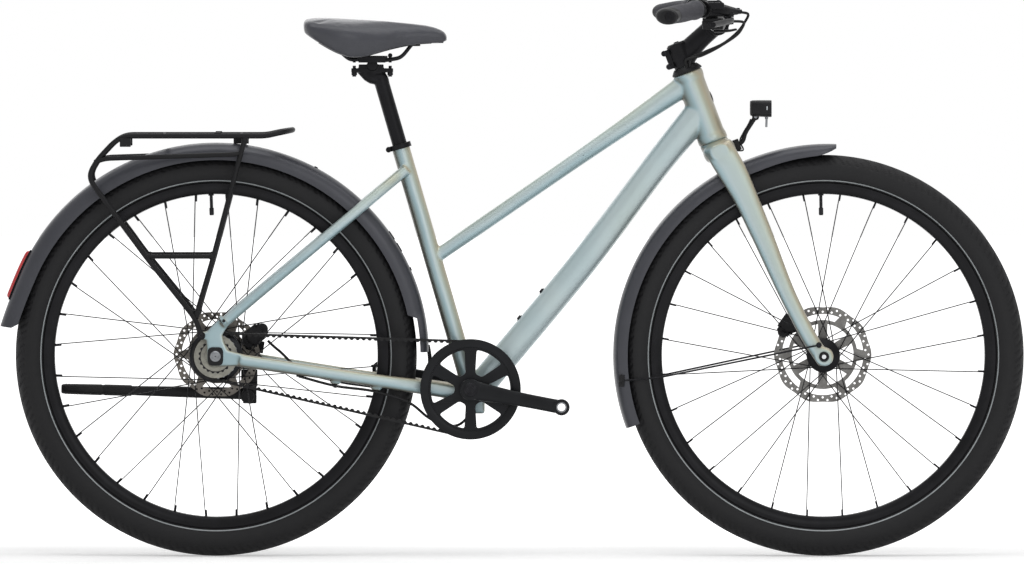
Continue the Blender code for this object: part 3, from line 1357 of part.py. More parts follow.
def crank_arm(name, sign, angle, with_spindle):
    """An arm from the spindle to its pedal eye."""
    reach = side(math.cos(angle), math.sin(angle))
    outward = ACROSS * sign
    stations = [
        (0.000, 0.0720, 0.0080, 0.0195), (0.030, 0.0735, 0.0075, 0.0165), (0.085, 0.0770, 0.0065, 0.0135),
        (0.140, 0.0805, 0.0065, 0.0135), (CRANK_LENGTH, 0.0812, 0.0065, 0.0150),
    ]
    arm = swept_oval(name, [
        (BOTTOM_BRACKET + reach * distance + outward * y, thick, deep)
        for distance, y, thick, deep in stations
    ], 0.75, TINY)
    root_start = BELT_LINE + BELT_WIDTH / 2 + GAP
    root = rod(
        name + "_root", BOTTOM_BRACKET + outward * root_start, BOTTOM_BRACKET + outward * 0.0820,
        CRANK_ROOT_RADIUS, sides=SMALL,
    )
    eye_at = BOTTOM_BRACKET + reach * CRANK_LENGTH
    eye = rod(name + "_eye", eye_at + outward * 0.0740, eye_at + outward * 0.0880, 0.0150, sides=SMALL)
    join(arm, root, eye)
    hole = rod(
        name + "_eye_hole", eye_at + outward * 0.06, eye_at + outward * 0.10, PEDAL_EYE_RADIUS, sides=TINY
    )
    cut(arm, hole)
    if with_spindle:
        join(arm, rod(
            name + "_spindle", BOTTOM_BRACKET + outward * 0.070, BOTTOM_BRACKET - outward * SPINDLE_END,
            SPINDLE_RADIUS, sides=ROUND,
        ))
    else:
        cut(arm, rod(
            name + "_bore", BOTTOM_BRACKET, BOTTOM_BRACKET + outward * (SPINDLE_END + GAP),
            SPINDLE_RADIUS + GAP, sides=ROUND,
        ))
    return finish(arm, BLACK, 0.35, 0.5)


def cranks():
    pieces = [
        crank_arm("right_crank_arm", -1, CRANK_ANGLE, True),
        crank_arm("left_crank_arm", 1, CRANK_ANGLE + math.pi, False),
        front_sprocket(),
    ]
    hang(pivot("crank_axis", BOTTOM_BRACKET), *pieces)
    hang(pivot("rear_sprocket_axis", REAR_AXLE), rear_sprocket())


# Brakes, cables and lights

def rotor_room(name, centre, y, radius):
    """The slot that a caliper leaves for its disc."""
    half = ACROSS * (ROTOR_THICKNESS / 2 + 0.0011)
    middle = centre + ACROSS * y
    return rod(name, middle - half, middle + half, radius + 0.003)


def rear_caliper():
    """A caliper over the rear disc, standing on the left chainstay."""
    centre = REAR_AXLE + side(0.0700, 0.0350, REAR_ROTOR_Y)
    body = block("rear_caliper", centre, (0.048, 0.030, 0.034), turn=math.radians(40))
    foot = block(
        "rear_caliper_foot", REAR_AXLE + side(0.0640, 0.0130, 0.0660), (0.044, 0.016, 0.030),
        turn=math.radians(-8.8),
    )
    hub_room = rod(
        "caliper_hub_room", REAR_AXLE + ACROSS * 0.03, REAR_AXLE + ACROSS * 0.067, 0.030, sides=ROUND
    )
    stay_room = swept_oval("left_stay_room", chainstay_stations(1), 0.7, SMALL, 3 * GAP)
    join(body, foot)
    cut(
        body, rotor_room("rear_rotor_room", REAR_AXLE, REAR_ROTOR_Y, REAR_ROTOR_RADIUS), hub_room,
        stay_room, dropout_plate("left_plate_room", 1, GAP),
    )
    return finish(body, BLACK, 0.4, 0.5)


def front_caliper():
    """A caliper over the front disc, held on the rear of the left fork leg."""
    centre = FRONT_AXLE + side(-0.0630, 0.0560, FRONT_ROTOR_Y)
    body = block("front_caliper", centre, (0.050, 0.019, 0.032), turn=math.radians(55))
    mount = block(
        "front_caliper_mount", centre + side(0.0180, 0.0040, 0.0170), (0.034, 0.022, 0.040),
        turn=math.radians(20),
    )
    join(body, mount)
    cut(
        body, rotor_room("front_rotor_room", FRONT_AXLE, FRONT_ROTOR_Y, FRONT_ROTOR_RADIUS),
        fork_leg("left_leg_room", 1, GAP),
    )
    return finish(body, BLACK, 0.4, 0.5)


def rear_brake_hose():
    """From the rear caliper down under the left chainstay and forward to its guide."""
    points = [
        REAR_AXLE + side(0.0990, 0.0200, 0.0520), REAR_AXLE + side(0.1180, 0.0040, 0.0440),
        REAR_AXLE + side(0.1500, -0.0260, 0.0480), stay_point(1, 0.42) + side(0.0, -0.0166),
        stay_point(1, 0.60) + side(0.0, -0.0166), stay_point(1, 0.72) + side(0.0, -0.0190),
    ]
    hose = pipe("rear_brake_hose", smooth_route(points, HOSE_SPACING), HOSE_RADIUS, resolution=2)
    return finish(hose, RUBBER_BLACK, 0.6)


def gear_cable():
    """Under the right chainstay and down to the guide below the bottom bracket."""
    points = [
        stay_point(-1, 0.26) + side(0.0, -0.0170), stay_point(-1, 0.42) + side(0.0, -0.0214),
        stay_point(-1, 0.60) + side(0.0, -0.0214),
    ]
    points += [BOTTOM_BRACKET + side(*place) for place in (
        (-0.1058, -0.0296, -0.0360), (-0.0778, -0.0526, -0.0330), (-0.0468, -0.0676, -0.0280),
        (-0.0218, -0.0666, -0.0200), (-0.0058, -0.0526, -0.0120), (-0.0040, -0.0430, -0.0050),
        (0.0041, -0.0430, -0.0050),
    )]
    cable = pipe("gear_cable", smooth_route(points, HOSE_SPACING), HOSE_RADIUS, resolution=2)
    return finish(cable, RUBBER_BLACK, 0.6)


def headlight():
    """A lamp on a curved arm from the fork crown."""
    foot = on_steering_axis(-CROWN_DROP - CROWN_HEIGHT / 2) + HEAD_FORWARD * 0.0310
    x, _, z = CROWN_RACE + side(*HEADLIGHT_OFFSET)
    base = block(
        "headlight_bracket", foot + HEAD_FORWARD * (0.0065 + GAP), (0.013, 0.016, 0.022), turn=HEAD_ANGLE
    )
    arm = as_mesh(pipe("headlight_arm", [
        foot + HEAD_FORWARD * 0.008, side(x - 0.0250, z - 0.0460), side(x - 0.0190, z - 0.0300),
        side(x - 0.0080, z - 0.0120), side(x, z),
    ], 0.0042))
    knuckle = rod("headlight_knuckle", side(x, z, -0.005), side(x, z, 0.005), 0.0065, sides=SMALL)
    join(base, arm, knuckle)
    finish(base, BLACK, 0.5)
    up = side(0.0, 1.0)
    lamp = loft("headlight", [
        oval(side(x - 0.0100, z + 0.0170), ACROSS, up, 0.0140, 0.0080, squareness=0.8),
        oval(side(x + 0.0020, z + 0.0165), ACROSS, up, 0.0240, 0.0130, squareness=0.7),
        oval(side(x + 0.0200, z + 0.0150), ACROSS, up, 0.0290, 0.0155, squareness=0.7),
        oval(side(x + 0.0290, z + 0.0150), ACROSS, up, 0.0290, 0.0155, squareness=0.7),
    ])
    for sign in (-1, 1):
        join(lamp, block("headlight_ear", side(x, z + 0.0030, sign * 0.0073), (0.010, 0.0040, 0.0140)))
    cut(lamp, rod("knuckle_room", side(x, z, -0.0053), side(x, z, 0.0053), 0.0078, sides=SMALL))
    hang(pivot("headlight_pivot", side(x, z)), finish(lamp, BLACK, 0.3))


# Kickstand

def kickstand():
    """A side stand on the left: a housing under the stay and a leg stowed rearwards."""
    pin = REAR_AXLE + side(*KICKSTAND_OFFSET)
    x, y, z = pin
    swing = Vector((-0.0119, -0.890, -0.4557)).normalized()
    eye_reach = KICKSTAND_RADIUS + 0.0002
    cheek = block("kickstand_bracket", side(x, z + 0.0020, y - 0.0180), (0.026, 0.024, 0.040))
    cut(cheek, rod("leg_sweep_room", pin - swing * 0.0200, pin + swing * (eye_reach + GAP), 0.060))
    low, top = z + 0.0130, z + KICKSTAND_PAD - 2 * GAP
    upper_centre = side(x - 0.001, (top + low) / 2, y - 0.0130)
    join(cheek, block("kickstand_upper", upper_centre, (0.031, 0.024, top - low)))
    stowed = side(-0.99966, 0.026)
    foot = pin + stowed * KICKSTAND_LENGTH
    leg = rod("kickstand_leg", pin, foot, KICKSTAND_RADIUS, KICKSTAND_RADIUS * 0.8, sides=SMALL)
    eye = rod("kickstand_eye", pin - swing * eye_reach, pin + swing * eye_reach, 0.0115, sides=ROUND)
    sleeve_start = pin + stowed * (KICKSTAND_LENGTH - 0.130)
    sleeve = rod("kickstand_sleeve", sleeve_start, foot + stowed * 0.0005, 0.0105, 0.0090, sides=SMALL)
    join(leg, eye, sleeve)
    finish(cheek, BLACK, 0.5, 0.4)
    hang(pivot("kickstand_pivot", pin), finish(leg, BLACK, 0.5, 0.4))


# Seat

def seatpost():
    """The post, and a head with a rounded cradle that the saddle's clamp rocks on."""
    top = on_seat_tube(SEAT_TUBE_LENGTH + POST_EXPOSED)
    post = rod("seatpost", on_seat_tube(SEAT_TUBE_LENGTH - POST_INSERTION), top, POST_RADIUS, sides=ROUND)
    cradle = SADDLE_PIVOT
    half = ACROSS * 0.0165
    beam = block("seatpost_beam", cradle + side(0.0, -0.0135), (0.078, 0.022, 0.009))
    barrel = rod("seatpost_barrel", cradle - half, cradle + half, SADDLE_BARREL_RADIUS, sides=ROUND)
    neck_top = cradle + side(0.0, -0.0020)
    neck = rod("seatpost_neck", top - SEAT_UP * 0.004, neck_top, POST_RADIUS - 0.0005, 0.0085, sides=SMALL)
    join(post, neck, beam, barrel)
    return finish(post, BLACK, 0.35, 0.4)


def saddle_rails():
    """Two rails from the saddle's tail to its nose, and the clamp that grips them."""
    rails = []
    for sign in (-1, 1):
        wide = sign * RAIL_SPACING
        route = [
            side(-0.0630, 0.0327, sign * 0.034), side(-0.0520, 0.0195, sign * 0.031),
            side(-0.0390, RAIL_RISE, sign * 0.025), side(-0.0290, RAIL_RISE, wide),
            side(0.0340, RAIL_RISE, wide), side(0.0490, RAIL_RISE + 0.003, wide * 0.95),
            side(0.0720, 0.0366, sign * 0.012),
        ]
        rails.append(as_mesh(
            pipe(f"saddle_rail_{sign}", [SADDLE_PIVOT + point for point in route], RAIL_RADIUS)
        ))
    first, second = rails
    first.name = "saddle_rails"
    cradle = SADDLE_PIVOT
    clamp = block("saddle_clamp", cradle + side(0.0, RAIL_RISE + 0.0005), (0.058, 0.058, 0.0130))
    wide_room = ACROSS * 0.04
    join(first, second, clamp)
    cut(first, rod(
        "barrel_room", cradle - wide_room, cradle + wide_room, SADDLE_BARREL_RADIUS + GAP, sides=ROUND
    ))
    return finish(first, STEEL, 0.4, 0.8)


def saddle():
    """A cushion with a crown, hanging skirts and a shallow channel, on a subdivided cage."""
    rings = []
    for x, half, top, under, skirt in SADDLE_STATIONS:
        high = top - under
        channel = SADDLE_CHANNEL if -0.103 < x < 0.097 else 0.0
        section = [
            (0.0, under), (0.52 * half, under), (0.84 * half, skirt),
            (half, under + 0.45 * high), (0.86 * half, under + 0.86 * high), (0.42 * half, top),
            (0.0, top - channel),
        ]
        ring = [side(x, z, -y) for y, z in section] + [side(x, z, y) for y, z in section[-2:0:-1]]
        rings.append([SADDLE_PIVOT + point for point in ring])
    body = loft("saddle", rings)
    soften = body.modifiers.new("soften", "SUBSURF")
    soften.levels = 1
    soften.render_levels = 1
    return finish(body, DARK_GREY, 0.6)


def main():
    seat_tube()
    head_tube()
    headset_bearings()
    top_tube()
    down_tube()
    chainstay("right_chainstay", -1)
    chainstay("left_chainstay", 1)
    seat_stay("right_seat_stay", -1)
    seat_stay("left_seat_stay", 1)
    seat_clamp()
    bottom_bracket_cartridge()
    wheel(
        "rear", REAR_AXLE, rear_hub(), (REAR_SPOKES_A_SIDE, REAR_CROSSINGS, REAR_SPOKE_ANGLE),
        REAR_FLANGE_RADIUS, REAR_FLANGE_Y, REAR_ROTOR_RADIUS, REAR_ROTOR_Y,
    )
    wheel(
        "front", FRONT_AXLE, front_hub(), (FRONT_SPOKES_A_SIDE, FRONT_CROSSINGS, FRONT_SPOKE_ANGLE),
        FRONT_FLANGE_RADIUS, FRONT_FLANGE_Y, FRONT_ROTOR_RADIUS, FRONT_ROTOR_Y,
    )
    rear_axle()
    front_axle()
    fork()
    stem()
    stem_faceplate()
    handlebar()
    for label, sign in (("right", -1), ("left", 1)):
        grip(label + "_grip", sign)
        brake_body(label + "_brake_body", sign)
        brake_lever(label + "_brake_lever", sign)
    shifter()
    headset_cover()
    handlebar_hoses()
    rear_fender()
    front_fender()
    tail_light()
    rack()
    drive_belt()
    cranks()
    rear_caliper()
    front_caliper()
    rear_brake_hose()
    gear_cable()
    headlight()
    kickstand()
    seatpost()
    saddle_rails()
    saddle()


main()
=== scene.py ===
# %% [markdown]
# A trekking bike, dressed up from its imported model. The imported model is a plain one: it says
# where each piece is and what moves with what. This script loads it, then builds for each piece
# a finer one in the same place, with a finish of its own. Everything is in metres: +X is the
# bike's front, +Z is up, and the side with the belt faces -Y.

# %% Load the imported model
import math

import bmesh
import bpy
from mathutils import Matrix, Vector
from mathutils.noise import noise


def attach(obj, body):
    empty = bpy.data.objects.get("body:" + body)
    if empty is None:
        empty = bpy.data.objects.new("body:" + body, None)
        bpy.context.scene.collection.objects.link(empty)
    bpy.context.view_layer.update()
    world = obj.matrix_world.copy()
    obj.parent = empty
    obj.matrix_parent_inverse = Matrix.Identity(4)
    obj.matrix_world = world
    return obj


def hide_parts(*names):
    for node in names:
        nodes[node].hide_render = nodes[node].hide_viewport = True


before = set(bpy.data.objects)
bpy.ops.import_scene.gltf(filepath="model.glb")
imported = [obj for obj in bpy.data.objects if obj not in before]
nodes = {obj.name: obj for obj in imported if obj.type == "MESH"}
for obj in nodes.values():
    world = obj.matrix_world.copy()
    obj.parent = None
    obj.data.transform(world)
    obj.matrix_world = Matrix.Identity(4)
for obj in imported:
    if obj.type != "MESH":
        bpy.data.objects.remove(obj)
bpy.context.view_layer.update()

# %% [markdown]
# The camera comes first, because every later look goes through it. The photograph was taken
# from far away with a long lens, a little from above, so the wheels stay almost true circles.

# %% Camera
camera_data = bpy.data.cameras.new("camera")
camera_data.lens = 478.0
camera_data.sensor_width = 36.0
camera_data.clip_end = 100.0
camera = bpy.data.objects.new("camera", camera_data)
bpy.context.scene.collection.objects.link(camera)
camera.location = (0.0, -25.0, 1.32)
aim = Vector((0.0, 0.0, 0.504))
camera.rotation_euler = (aim - camera.location).to_track_quat("-Z", "Y").to_euler()
bpy.context.scene.camera = camera
print("camera at", tuple(camera.location), "aimed at", tuple(aim))

# %% [markdown]
# A few anchors place everything: both axles, the bottom bracket where the cranks turn, and the
# two lines that a bike is drawn on, the seat tube's and the steering axis's. Side-view places
# are written x, z and then y, the distance from the centre plane.

# %% Anchors
ACROSS = Vector((0.0, 1.0, 0.0))
FORWARD = Vector((1.0, 0.0, 0.0))
UP = Vector((0.0, 0.0, 1.0))


def side(x, z, y=0.0):
    return Vector((x, y, z))


REAR_AXLE = side(-0.5441, 0.369)
FRONT_AXLE = side(0.5726, 0.369)
BOTTOM_BRACKET = side(-0.076182, 0.3086)
SADDLE_PIVOT = side(-0.257, 0.903)
CROWN_RACE = side(0.37064, 0.762302)
BAR_CLAMP = side(0.3774, 0.9798)
SEAT_UP = side(-0.278991, 0.960294)
HEAD_UP = side(-0.353475, 0.935444)
HEAD_FORWARD = side(0.935444, 0.353475)
HEAD_LEAN = math.radians(20.7)


def on_seat_tube(distance):
    return BOTTOM_BRACKET + SEAT_UP * distance


def on_steering_axis(distance):
    return CROWN_RACE + HEAD_UP * distance


def mirrored(point, sign):
    return Vector((point.x, sign * point.y, point.z))


def polar(centre, radius, degrees, y=0.0):
    """A place at a radius and an angle from +X towards +Z."""
    angle = math.radians(degrees)
    return Vector((centre.x + radius * math.cos(angle), y, centre.z + radius * math.sin(angle)))


print("wheelbase", round((FRONT_AXLE - REAR_AXLE).length, 4))

# %% [markdown]
# Most of a bike is made in four ways: tubes that are swept along a line, rings and hubs that
# are turned on a lathe, plates that are cut out, and small blocks with rounded edges. Each way
# gets one helper that adds its faces to a shape, and a shape becomes one piece. A shape made of
# several overlapping solids reads as one casting once its edges are rounded.

# %% Skins over rings of points
def skin(shape, rings, closed=True, capped=True, looped=False):
    """Faces over rings with the same number of points each."""
    rows = [[shape.verts.new(point) for point in ring] for ring in rings]
    count = len(rows[0])
    pairs = list(zip(rows, rows[1:])) + ([(rows[-1], rows[0])] if looped else [])
    made = []
    for row, following in pairs:
        for i in range(count if closed else count - 1):
            j = (i + 1) % count
            made.append(shape.faces.new((row[i], row[j], following[j], following[i])))
    if capped and not looped:
        made.append(shape.faces.new(rows[0][::-1]))
        made.append(shape.faces.new(rows[-1]))
    bmesh.ops.recalc_face_normals(shape, faces=made)
    return made


def oval(centre, wide, up, half_wide, half_up, count=32, squareness=1.0):
    """A ring of points; squareness under 1 fills its corners out."""
    ring = []
    for i in range(count):
        angle = 2 * math.pi * (i + 0.5) / count
        u, v = math.cos(angle), math.sin(angle)
        u = math.copysign(abs(u) ** squareness, u)
        v = math.copysign(abs(v) ** squareness, v)
        ring.append(Vector(centre) + wide * (half_wide * u) + up * (half_up * v))
    return ring


# %% [markdown]
# A tube needs rings closer together than its plan gives them. A smooth curve through the plan's
# points fills them in, and the same curve serves hoses, rods and grips.

# %% Smooth lines, tubes and wires
def between(values, lengths, t):
    """A number on a smooth curve from the second of four values to the third."""
    a, b, c, d = values
    before, here, after = lengths
    leaving = here * ((b - a) / before * here + (c - b) / here * before) / (before + here)
    arriving = here * ((c - b) / here * after + (d - c) / after * here) / (here + after)
    bend = 3 * (c - b) - 2 * leaving - arriving
    return b + leaving * t + bend * t ** 2 + (leaving + arriving - 2 * (c - b)) * t ** 3


def smooth_values(rows, spacing):
    """Rows of a point and other numbers, with more rows between them on a smooth curve."""
    rows = [[*row[0], *row[1:]] for row in rows]
    first = [2 * a - b for a, b in zip(rows[0], rows[1])]
    last = [2 * a - b for a, b in zip(rows[-1], rows[-2])]
    ends = [first, *rows, last]
    made = []
    for four in zip(ends, ends[1:], ends[2:], ends[3:]):
        lengths = [max(math.dist(a[:3], b[:3]), 0.0001) for a, b in zip(four, four[1:])]
        steps = max(1, round(lengths[1] / spacing))
        for step in range(steps):
            made.append([between(values, lengths, step / steps) for values in zip(*four)])
    return made + [rows[-1]]


def route(points, spacing=0.006):
    """Points on a smooth line through the given ones."""
    return [Vector(row[:3]) for row in smooth_values([[p] for p in points], spacing)]


def sweep(shape, stations, squareness=1.0, count=32, across=ACROSS, spacing=0.006):
    """A tube through (centre, half width, half height) stations; its width lies across."""
    rows = smooth_values(stations, spacing) if spacing else [
        [*centre, wide, high] for centre, wide, high in stations
    ]
    rings = []
    for i, row in enumerate(rows):
        heading = Vector(rows[min(i + 1, len(rows) - 1)][:3]) - Vector(rows[max(i - 1, 0)][:3])
        up = heading.normalized().cross(across).normalized()
        wide = up.cross(heading).normalized()
        rings.append(oval(row[:3], wide, up, row[3], row[4], count, squareness))
    return skin(shape, rings)


def wire(shape, points, radius, count=16, radii=None):
    """A round rod or hose along a line; its rings turn as little as possible."""
    points = [Vector(p) for p in points]
    radii = radii or [radius] * len(points)
    heading = (points[1] - points[0]).normalized()
    wide = heading.orthogonal().normalized()
    rings = []
    for i, point in enumerate(points):
        ahead = (points[min(i + 1, len(points) - 1)] - points[max(i - 1, 0)]).normalized()
        wide = (wide - ahead * wide.dot(ahead)).normalized()
        rings.append(oval(point, wide, ahead.cross(wide), radii[i], radii[i], count))
    return skin(shape, rings)


# %% [markdown]
# Round things are turned: a closed line of points goes once round an axis. A plain boss is a
# drum, a short tube is a collar, and a bolt's head has six flats in its socket.

# %% Turned shapes
def square_to(axis):
    """The axis at unit length, and two directions square to it and to each other."""
    axis = Vector(axis).normalized()
    u = axis.orthogonal().normalized()
    return axis, u, axis.cross(u)


def lathe(shape, profile, centre, axis=ACROSS, steps=96):
    """A turned solid from a closed line of (radius, height along the axis) points."""
    axis, u, v = square_to(axis)
    rings = []
    for i in range(steps):
        angle = 2 * math.pi * i / steps
        out = u * math.cos(angle) + v * math.sin(angle)
        rings.append([Vector(centre) + out * r + axis * h for r, h in profile])
    return skin(shape, rings, looped=True)


def drum(shape, centre, axis, radius, half, steps=48, top_radius=None):
    """A plain round boss, its length halved about the centre."""
    axis, u, v = square_to(axis)
    top_radius = radius if top_radius is None else top_radius
    return skin(shape, [
        oval(Vector(centre) - axis * half, u, v, radius, radius, steps),
        oval(Vector(centre) + axis * half, u, v, top_radius, top_radius, steps),
    ])


def collar(shape, centre, axis, bore, radius, half, steps=32):
    """A short tube, its length halved about the centre."""
    lathe(shape, [(radius, -half), (radius, half), (bore, half), (bore, -half)], centre, axis, steps)


def bolt(shape, place, axis, radius, high):
    """A round head with a six-sided socket, facing along the axis."""
    axis, u, v = square_to(axis)

    def level(size, height, flats=False):
        ring = []
        for i in range(24):
            t = 2 * math.pi * i / 24
            reach = size
            if flats:
                reach *= math.cos(math.pi / 6) / math.cos(t % (math.pi / 3) - math.pi / 6)
            ring.append(Vector(place) + axis * height + (u * math.cos(t) + v * math.sin(t)) * reach)
        return ring

    skin(shape, [
        level(radius, -high * 0.3), level(radius, high * 0.75), level(radius * 0.86, high),
        level(radius * 0.56, high, True), level(radius * 0.54, high * 0.35, True),
    ])


# %% [markdown]
# The rest is cut or cast: a block is a box turned in the side view, and a plate is filled and
# thickened from its outline and holes by Blender's own flat curves.

# %% Blocks and plates
def block(shape, centre, size, turn=0.0):
    """A box, turned in the side view by an angle that lifts its +X end."""
    made = bmesh.ops.create_cube(shape, size=1.0)["verts"]
    bmesh.ops.scale(shape, vec=Vector(size), verts=made)
    bmesh.ops.rotate(shape, cent=(0, 0, 0), matrix=Matrix.Rotation(-turn, 3, ACROSS), verts=made)
    bmesh.ops.translate(shape, vec=Vector(centre), verts=made)


def plate(shape, outline, thickness, y, holes=()):
    """A plate cut out in the side view, from (x, z) outlines."""
    curve = bpy.data.curves.new("plate", "CURVE")
    curve.dimensions = "2D"
    curve.fill_mode = "BOTH"
    curve.extrude = thickness / 2
    for points in [outline, *holes]:
        line = curve.splines.new("POLY")
        line.points.add(len(points) - 1)
        line.use_cyclic_u = True
        for spot, (x, z) in zip(line.points, points):
            spot.co = (x, z, 0.0, 1.0)
    holder = bpy.data.objects.new("plate", curve)
    mesh = holder.to_mesh()
    for vertex in mesh.vertices:
        x, z, depth = vertex.co
        vertex.co = (x, y - depth, z)
    before = len(shape.verts)
    shape.from_mesh(mesh)
    shape.verts.ensure_lookup_table()
    bmesh.ops.remove_doubles(shape, verts=shape.verts[before:], dist=0.000005)
    holder.to_mesh_clear()
    bpy.data.objects.remove(holder)
    bpy.data.curves.remove(curve)


def ring_of(centre, radius, count, start=0.0):
    return [
        (centre.x + radius * math.cos(start + 2 * math.pi * i / count),
         centre.z + radius * math.sin(start + 2 * math.pi * i / count))
        for i in range(count)
    ]


# %% [markdown]
# A shape becomes an object once all its solids are in. Every piece is shaded smooth except
# over its sharp edges, takes a finish and a slot, and rides on the body that carries it.

# %% From a shape to a piece
def loose_object(name, shape):
    """An object made from a shape, which rides on nothing yet."""
    mesh = bpy.data.meshes.new(name)
    shape.to_mesh(mesh)
    shape.free()
    made = bpy.data.objects.new(name, mesh)
    bpy.context.scene.collection.objects.link(made)
    return made


def applied(made):
    """Makes an object's modifiers part of its mesh."""
    bpy.context.view_layer.update()
    seen = made.evaluated_get(bpy.context.evaluated_depsgraph_get())
    mesh = bpy.data.meshes.new_from_object(seen)
    made.modifiers.clear()
    made.data = mesh


def finished(made, body, finish, stands_for=(), sharp=40.0):
    """An object with its finish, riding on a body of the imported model."""
    mesh = made.data
    if mesh.materials:
        mesh.materials.clear()
    mesh.materials.append(finish)
    mesh.shade_smooth()
    mesh.set_sharp_from_angle(angle=math.radians(sharp))
    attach(made, body)
    if stands_for:
        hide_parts(*stands_for)
    print(made.name, "faces:", len(mesh.polygons))
    return made


def piece(name, shape, body, finish, stands_for=(), bevel=0.0, sharp=32.0):
    """A finished object from a shape, with its edges rounded where a bevel is given."""
    made = finished(loose_object(name, shape), body, finish, stands_for, sharp)
    if bevel:
        rounding = made.modifiers.new("rounded_edges", "BEVEL")
        rounding.width, rounding.segments = bevel, 2
        rounding.limit_method, rounding.angle_limit = "ANGLE", math.radians(sharp)
        rounding.harden_normals = True
    return made


print("packed pieces to dress:", len(nodes))

# %% [markdown]
# Finishes. No real surface is one flat colour: paint has flakes and a soft pearl, anodising is
# slightly cloudy, rubber is matt and dusty in its grooves, moulded plastic has a fine grain.
# The effects that several finishes share are node groups, built once: clouds of colour and
# polish with a fine bump, a pebbled grain, and the rings that a lathe leaves.

# %% Colours
def tone(text):
    """A colour as the shader wants it, from its usual six digits."""
    parts = [int(text[i:i + 2], 16) / 255 for i in (0, 2, 4)]
    return (*[p / 12.92 if p <= 0.04045 else ((p + 0.055) / 1.055) ** 2.4 for p in parts], 1.0)


def group_named(name, inputs, outputs):
    """An empty shader node group with its sockets, and its two end nodes."""
    tree = bpy.data.node_groups.new(name, "ShaderNodeTree")
    for label, kind in inputs:
        tree.interface.new_socket(name=label, in_out="INPUT", socket_type="NodeSocket" + kind)
    for label, kind in outputs:
        tree.interface.new_socket(name=label, in_out="OUTPUT", socket_type="NodeSocket" + kind)
    return tree, tree.nodes.new("NodeGroupInput"), tree.nodes.new("NodeGroupOutput")


def node(tree, kind, settings=(), links=()):
    """A node with its settings, values for its sockets and links into them."""
    made = tree.nodes.new("ShaderNode" + kind)
    for key, value in dict(settings).items():
        setattr(made, key, value)
    for key, value in dict(links).items():
        if isinstance(value, bpy.types.NodeSocket):
            tree.links.new(value, made.inputs[key])
        else:
            made.inputs[key].default_value = value
    return made


def sums(tree, operation, a, b, c=0.0):
    return node(tree, "Math", {"operation": operation}, {0: a, 1: b, 2: c}).outputs[0]


print("the paint's middle grey-blue:", tone("94acb2"))

# %% Group: clouded surface
clouded, taken, given = group_named(
    "clouded_surface",
    [("Colour", "Color"), ("Second Colour", "Color"), ("Amount", "Float"), ("Cloud Scale", "Float"),
     ("Grain Scale", "Float"), ("Roughness", "Float"), ("Spread", "Float")],
    [("Colour", "Color"), ("Roughness", "Float"), ("Height", "Float")],
)
place = node(clouded, "TexCoord").outputs["Object"]
clouds = node(clouded, "TexNoise", links={
    "Vector": place, "Scale": taken.outputs["Cloud Scale"], "Detail": 5.0, "Roughness": 0.6,
}).outputs["Fac"]
grains = node(clouded, "TexNoise", links={
    "Vector": place, "Scale": taken.outputs["Grain Scale"], "Detail": 2.0, "Roughness": 0.5,
}).outputs["Fac"]
picked = node(clouded, "MapRange", {"interpolation_type": "SMOOTHSTEP"}, {
    "Value": clouds, "From Min": 0.36, "From Max": 0.66,
}).outputs["Result"]
share = sums(clouded, "MULTIPLY", picked, taken.outputs["Amount"])
mixed = node(clouded, "MixRGB", links={
    "Fac": share, "Color1": taken.outputs["Colour"], "Color2": taken.outputs["Second Colour"],
}).outputs["Color"]
both = sums(clouded, "MULTIPLY_ADD", grains, 0.5, sums(clouded, "MULTIPLY_ADD", clouds, 0.5, -0.5))
polish = sums(clouded, "MULTIPLY_ADD", both, taken.outputs["Spread"], taken.outputs["Roughness"])
clouded.links.new(mixed, given.inputs["Colour"])
clouded.links.new(polish, given.inputs["Roughness"])
clouded.links.new(grains, given.inputs["Height"])
print("group", clouded.name)

# %% Group: pebbled grain
pebbled, taken, given = group_named(
    "pebbled_grain", [("Scale", "Float"), ("Softness", "Float")],
    [("Height", "Float"), ("Valley", "Float")],
)
place = node(pebbled, "TexCoord").outputs["Object"]
wander = node(pebbled, "TexNoise", links={"Vector": place, "Scale": 90.0, "Detail": 2.0}).outputs["Color"]
wavering = node(pebbled, "VectorMath", {"operation": "MULTIPLY_ADD"}, {
    0: wander, 1: (0.004, 0.004, 0.004), 2: place,
}).outputs["Vector"]
cells = node(pebbled, "TexVoronoi", {"feature": "DISTANCE_TO_EDGE"}, {
    "Vector": wavering, "Scale": taken.outputs["Scale"],
}).outputs["Distance"]
crown = node(pebbled, "MapRange", {"interpolation_type": "SMOOTHSTEP"}, {
    "Value": cells, "From Min": 0.0, "From Max": taken.outputs["Softness"],
}).outputs["Result"]
valley = sums(pebbled, "SUBTRACT", 1.0, crown)
pebbled.links.new(crown, given.inputs["Height"])
pebbled.links.new(valley, given.inputs["Valley"])
print("group", pebbled.name)

# %% Group: lathe rings
turned_rings, taken, given = group_named(
    "lathe_rings", [("Centre", "Vector"), ("Scale", "Float")], [("Height", "Float")],
)
place = node(turned_rings, "TexCoord").outputs["Object"]
offset = node(turned_rings, "VectorMath", {"operation": "SUBTRACT"}, {
    0: place, 1: taken.outputs["Centre"],
}).outputs["Vector"]
flattened = node(turned_rings, "VectorMath", {"operation": "MULTIPLY"}, {
    0: offset, 1: (1.0, 0.0, 1.0),
}).outputs["Vector"]
distance = node(turned_rings, "VectorMath", {"operation": "LENGTH"}, {0: flattened}).outputs["Value"]
marks = node(turned_rings, "TexNoise", {"noise_dimensions": "1D"}, {
    "W": distance, "Scale": taken.outputs["Scale"], "Detail": 3.0,
}).outputs["Fac"]
turned_rings.links.new(marks, given.inputs["Height"])
print("group", turned_rings.name)

# %% [markdown]
# One function makes every finish from these groups, so that each line below reads as a recipe:
# colour, second colour, polish, and how deep the bump is. Numbers that are the same all over
# the surface are set on the shader itself.

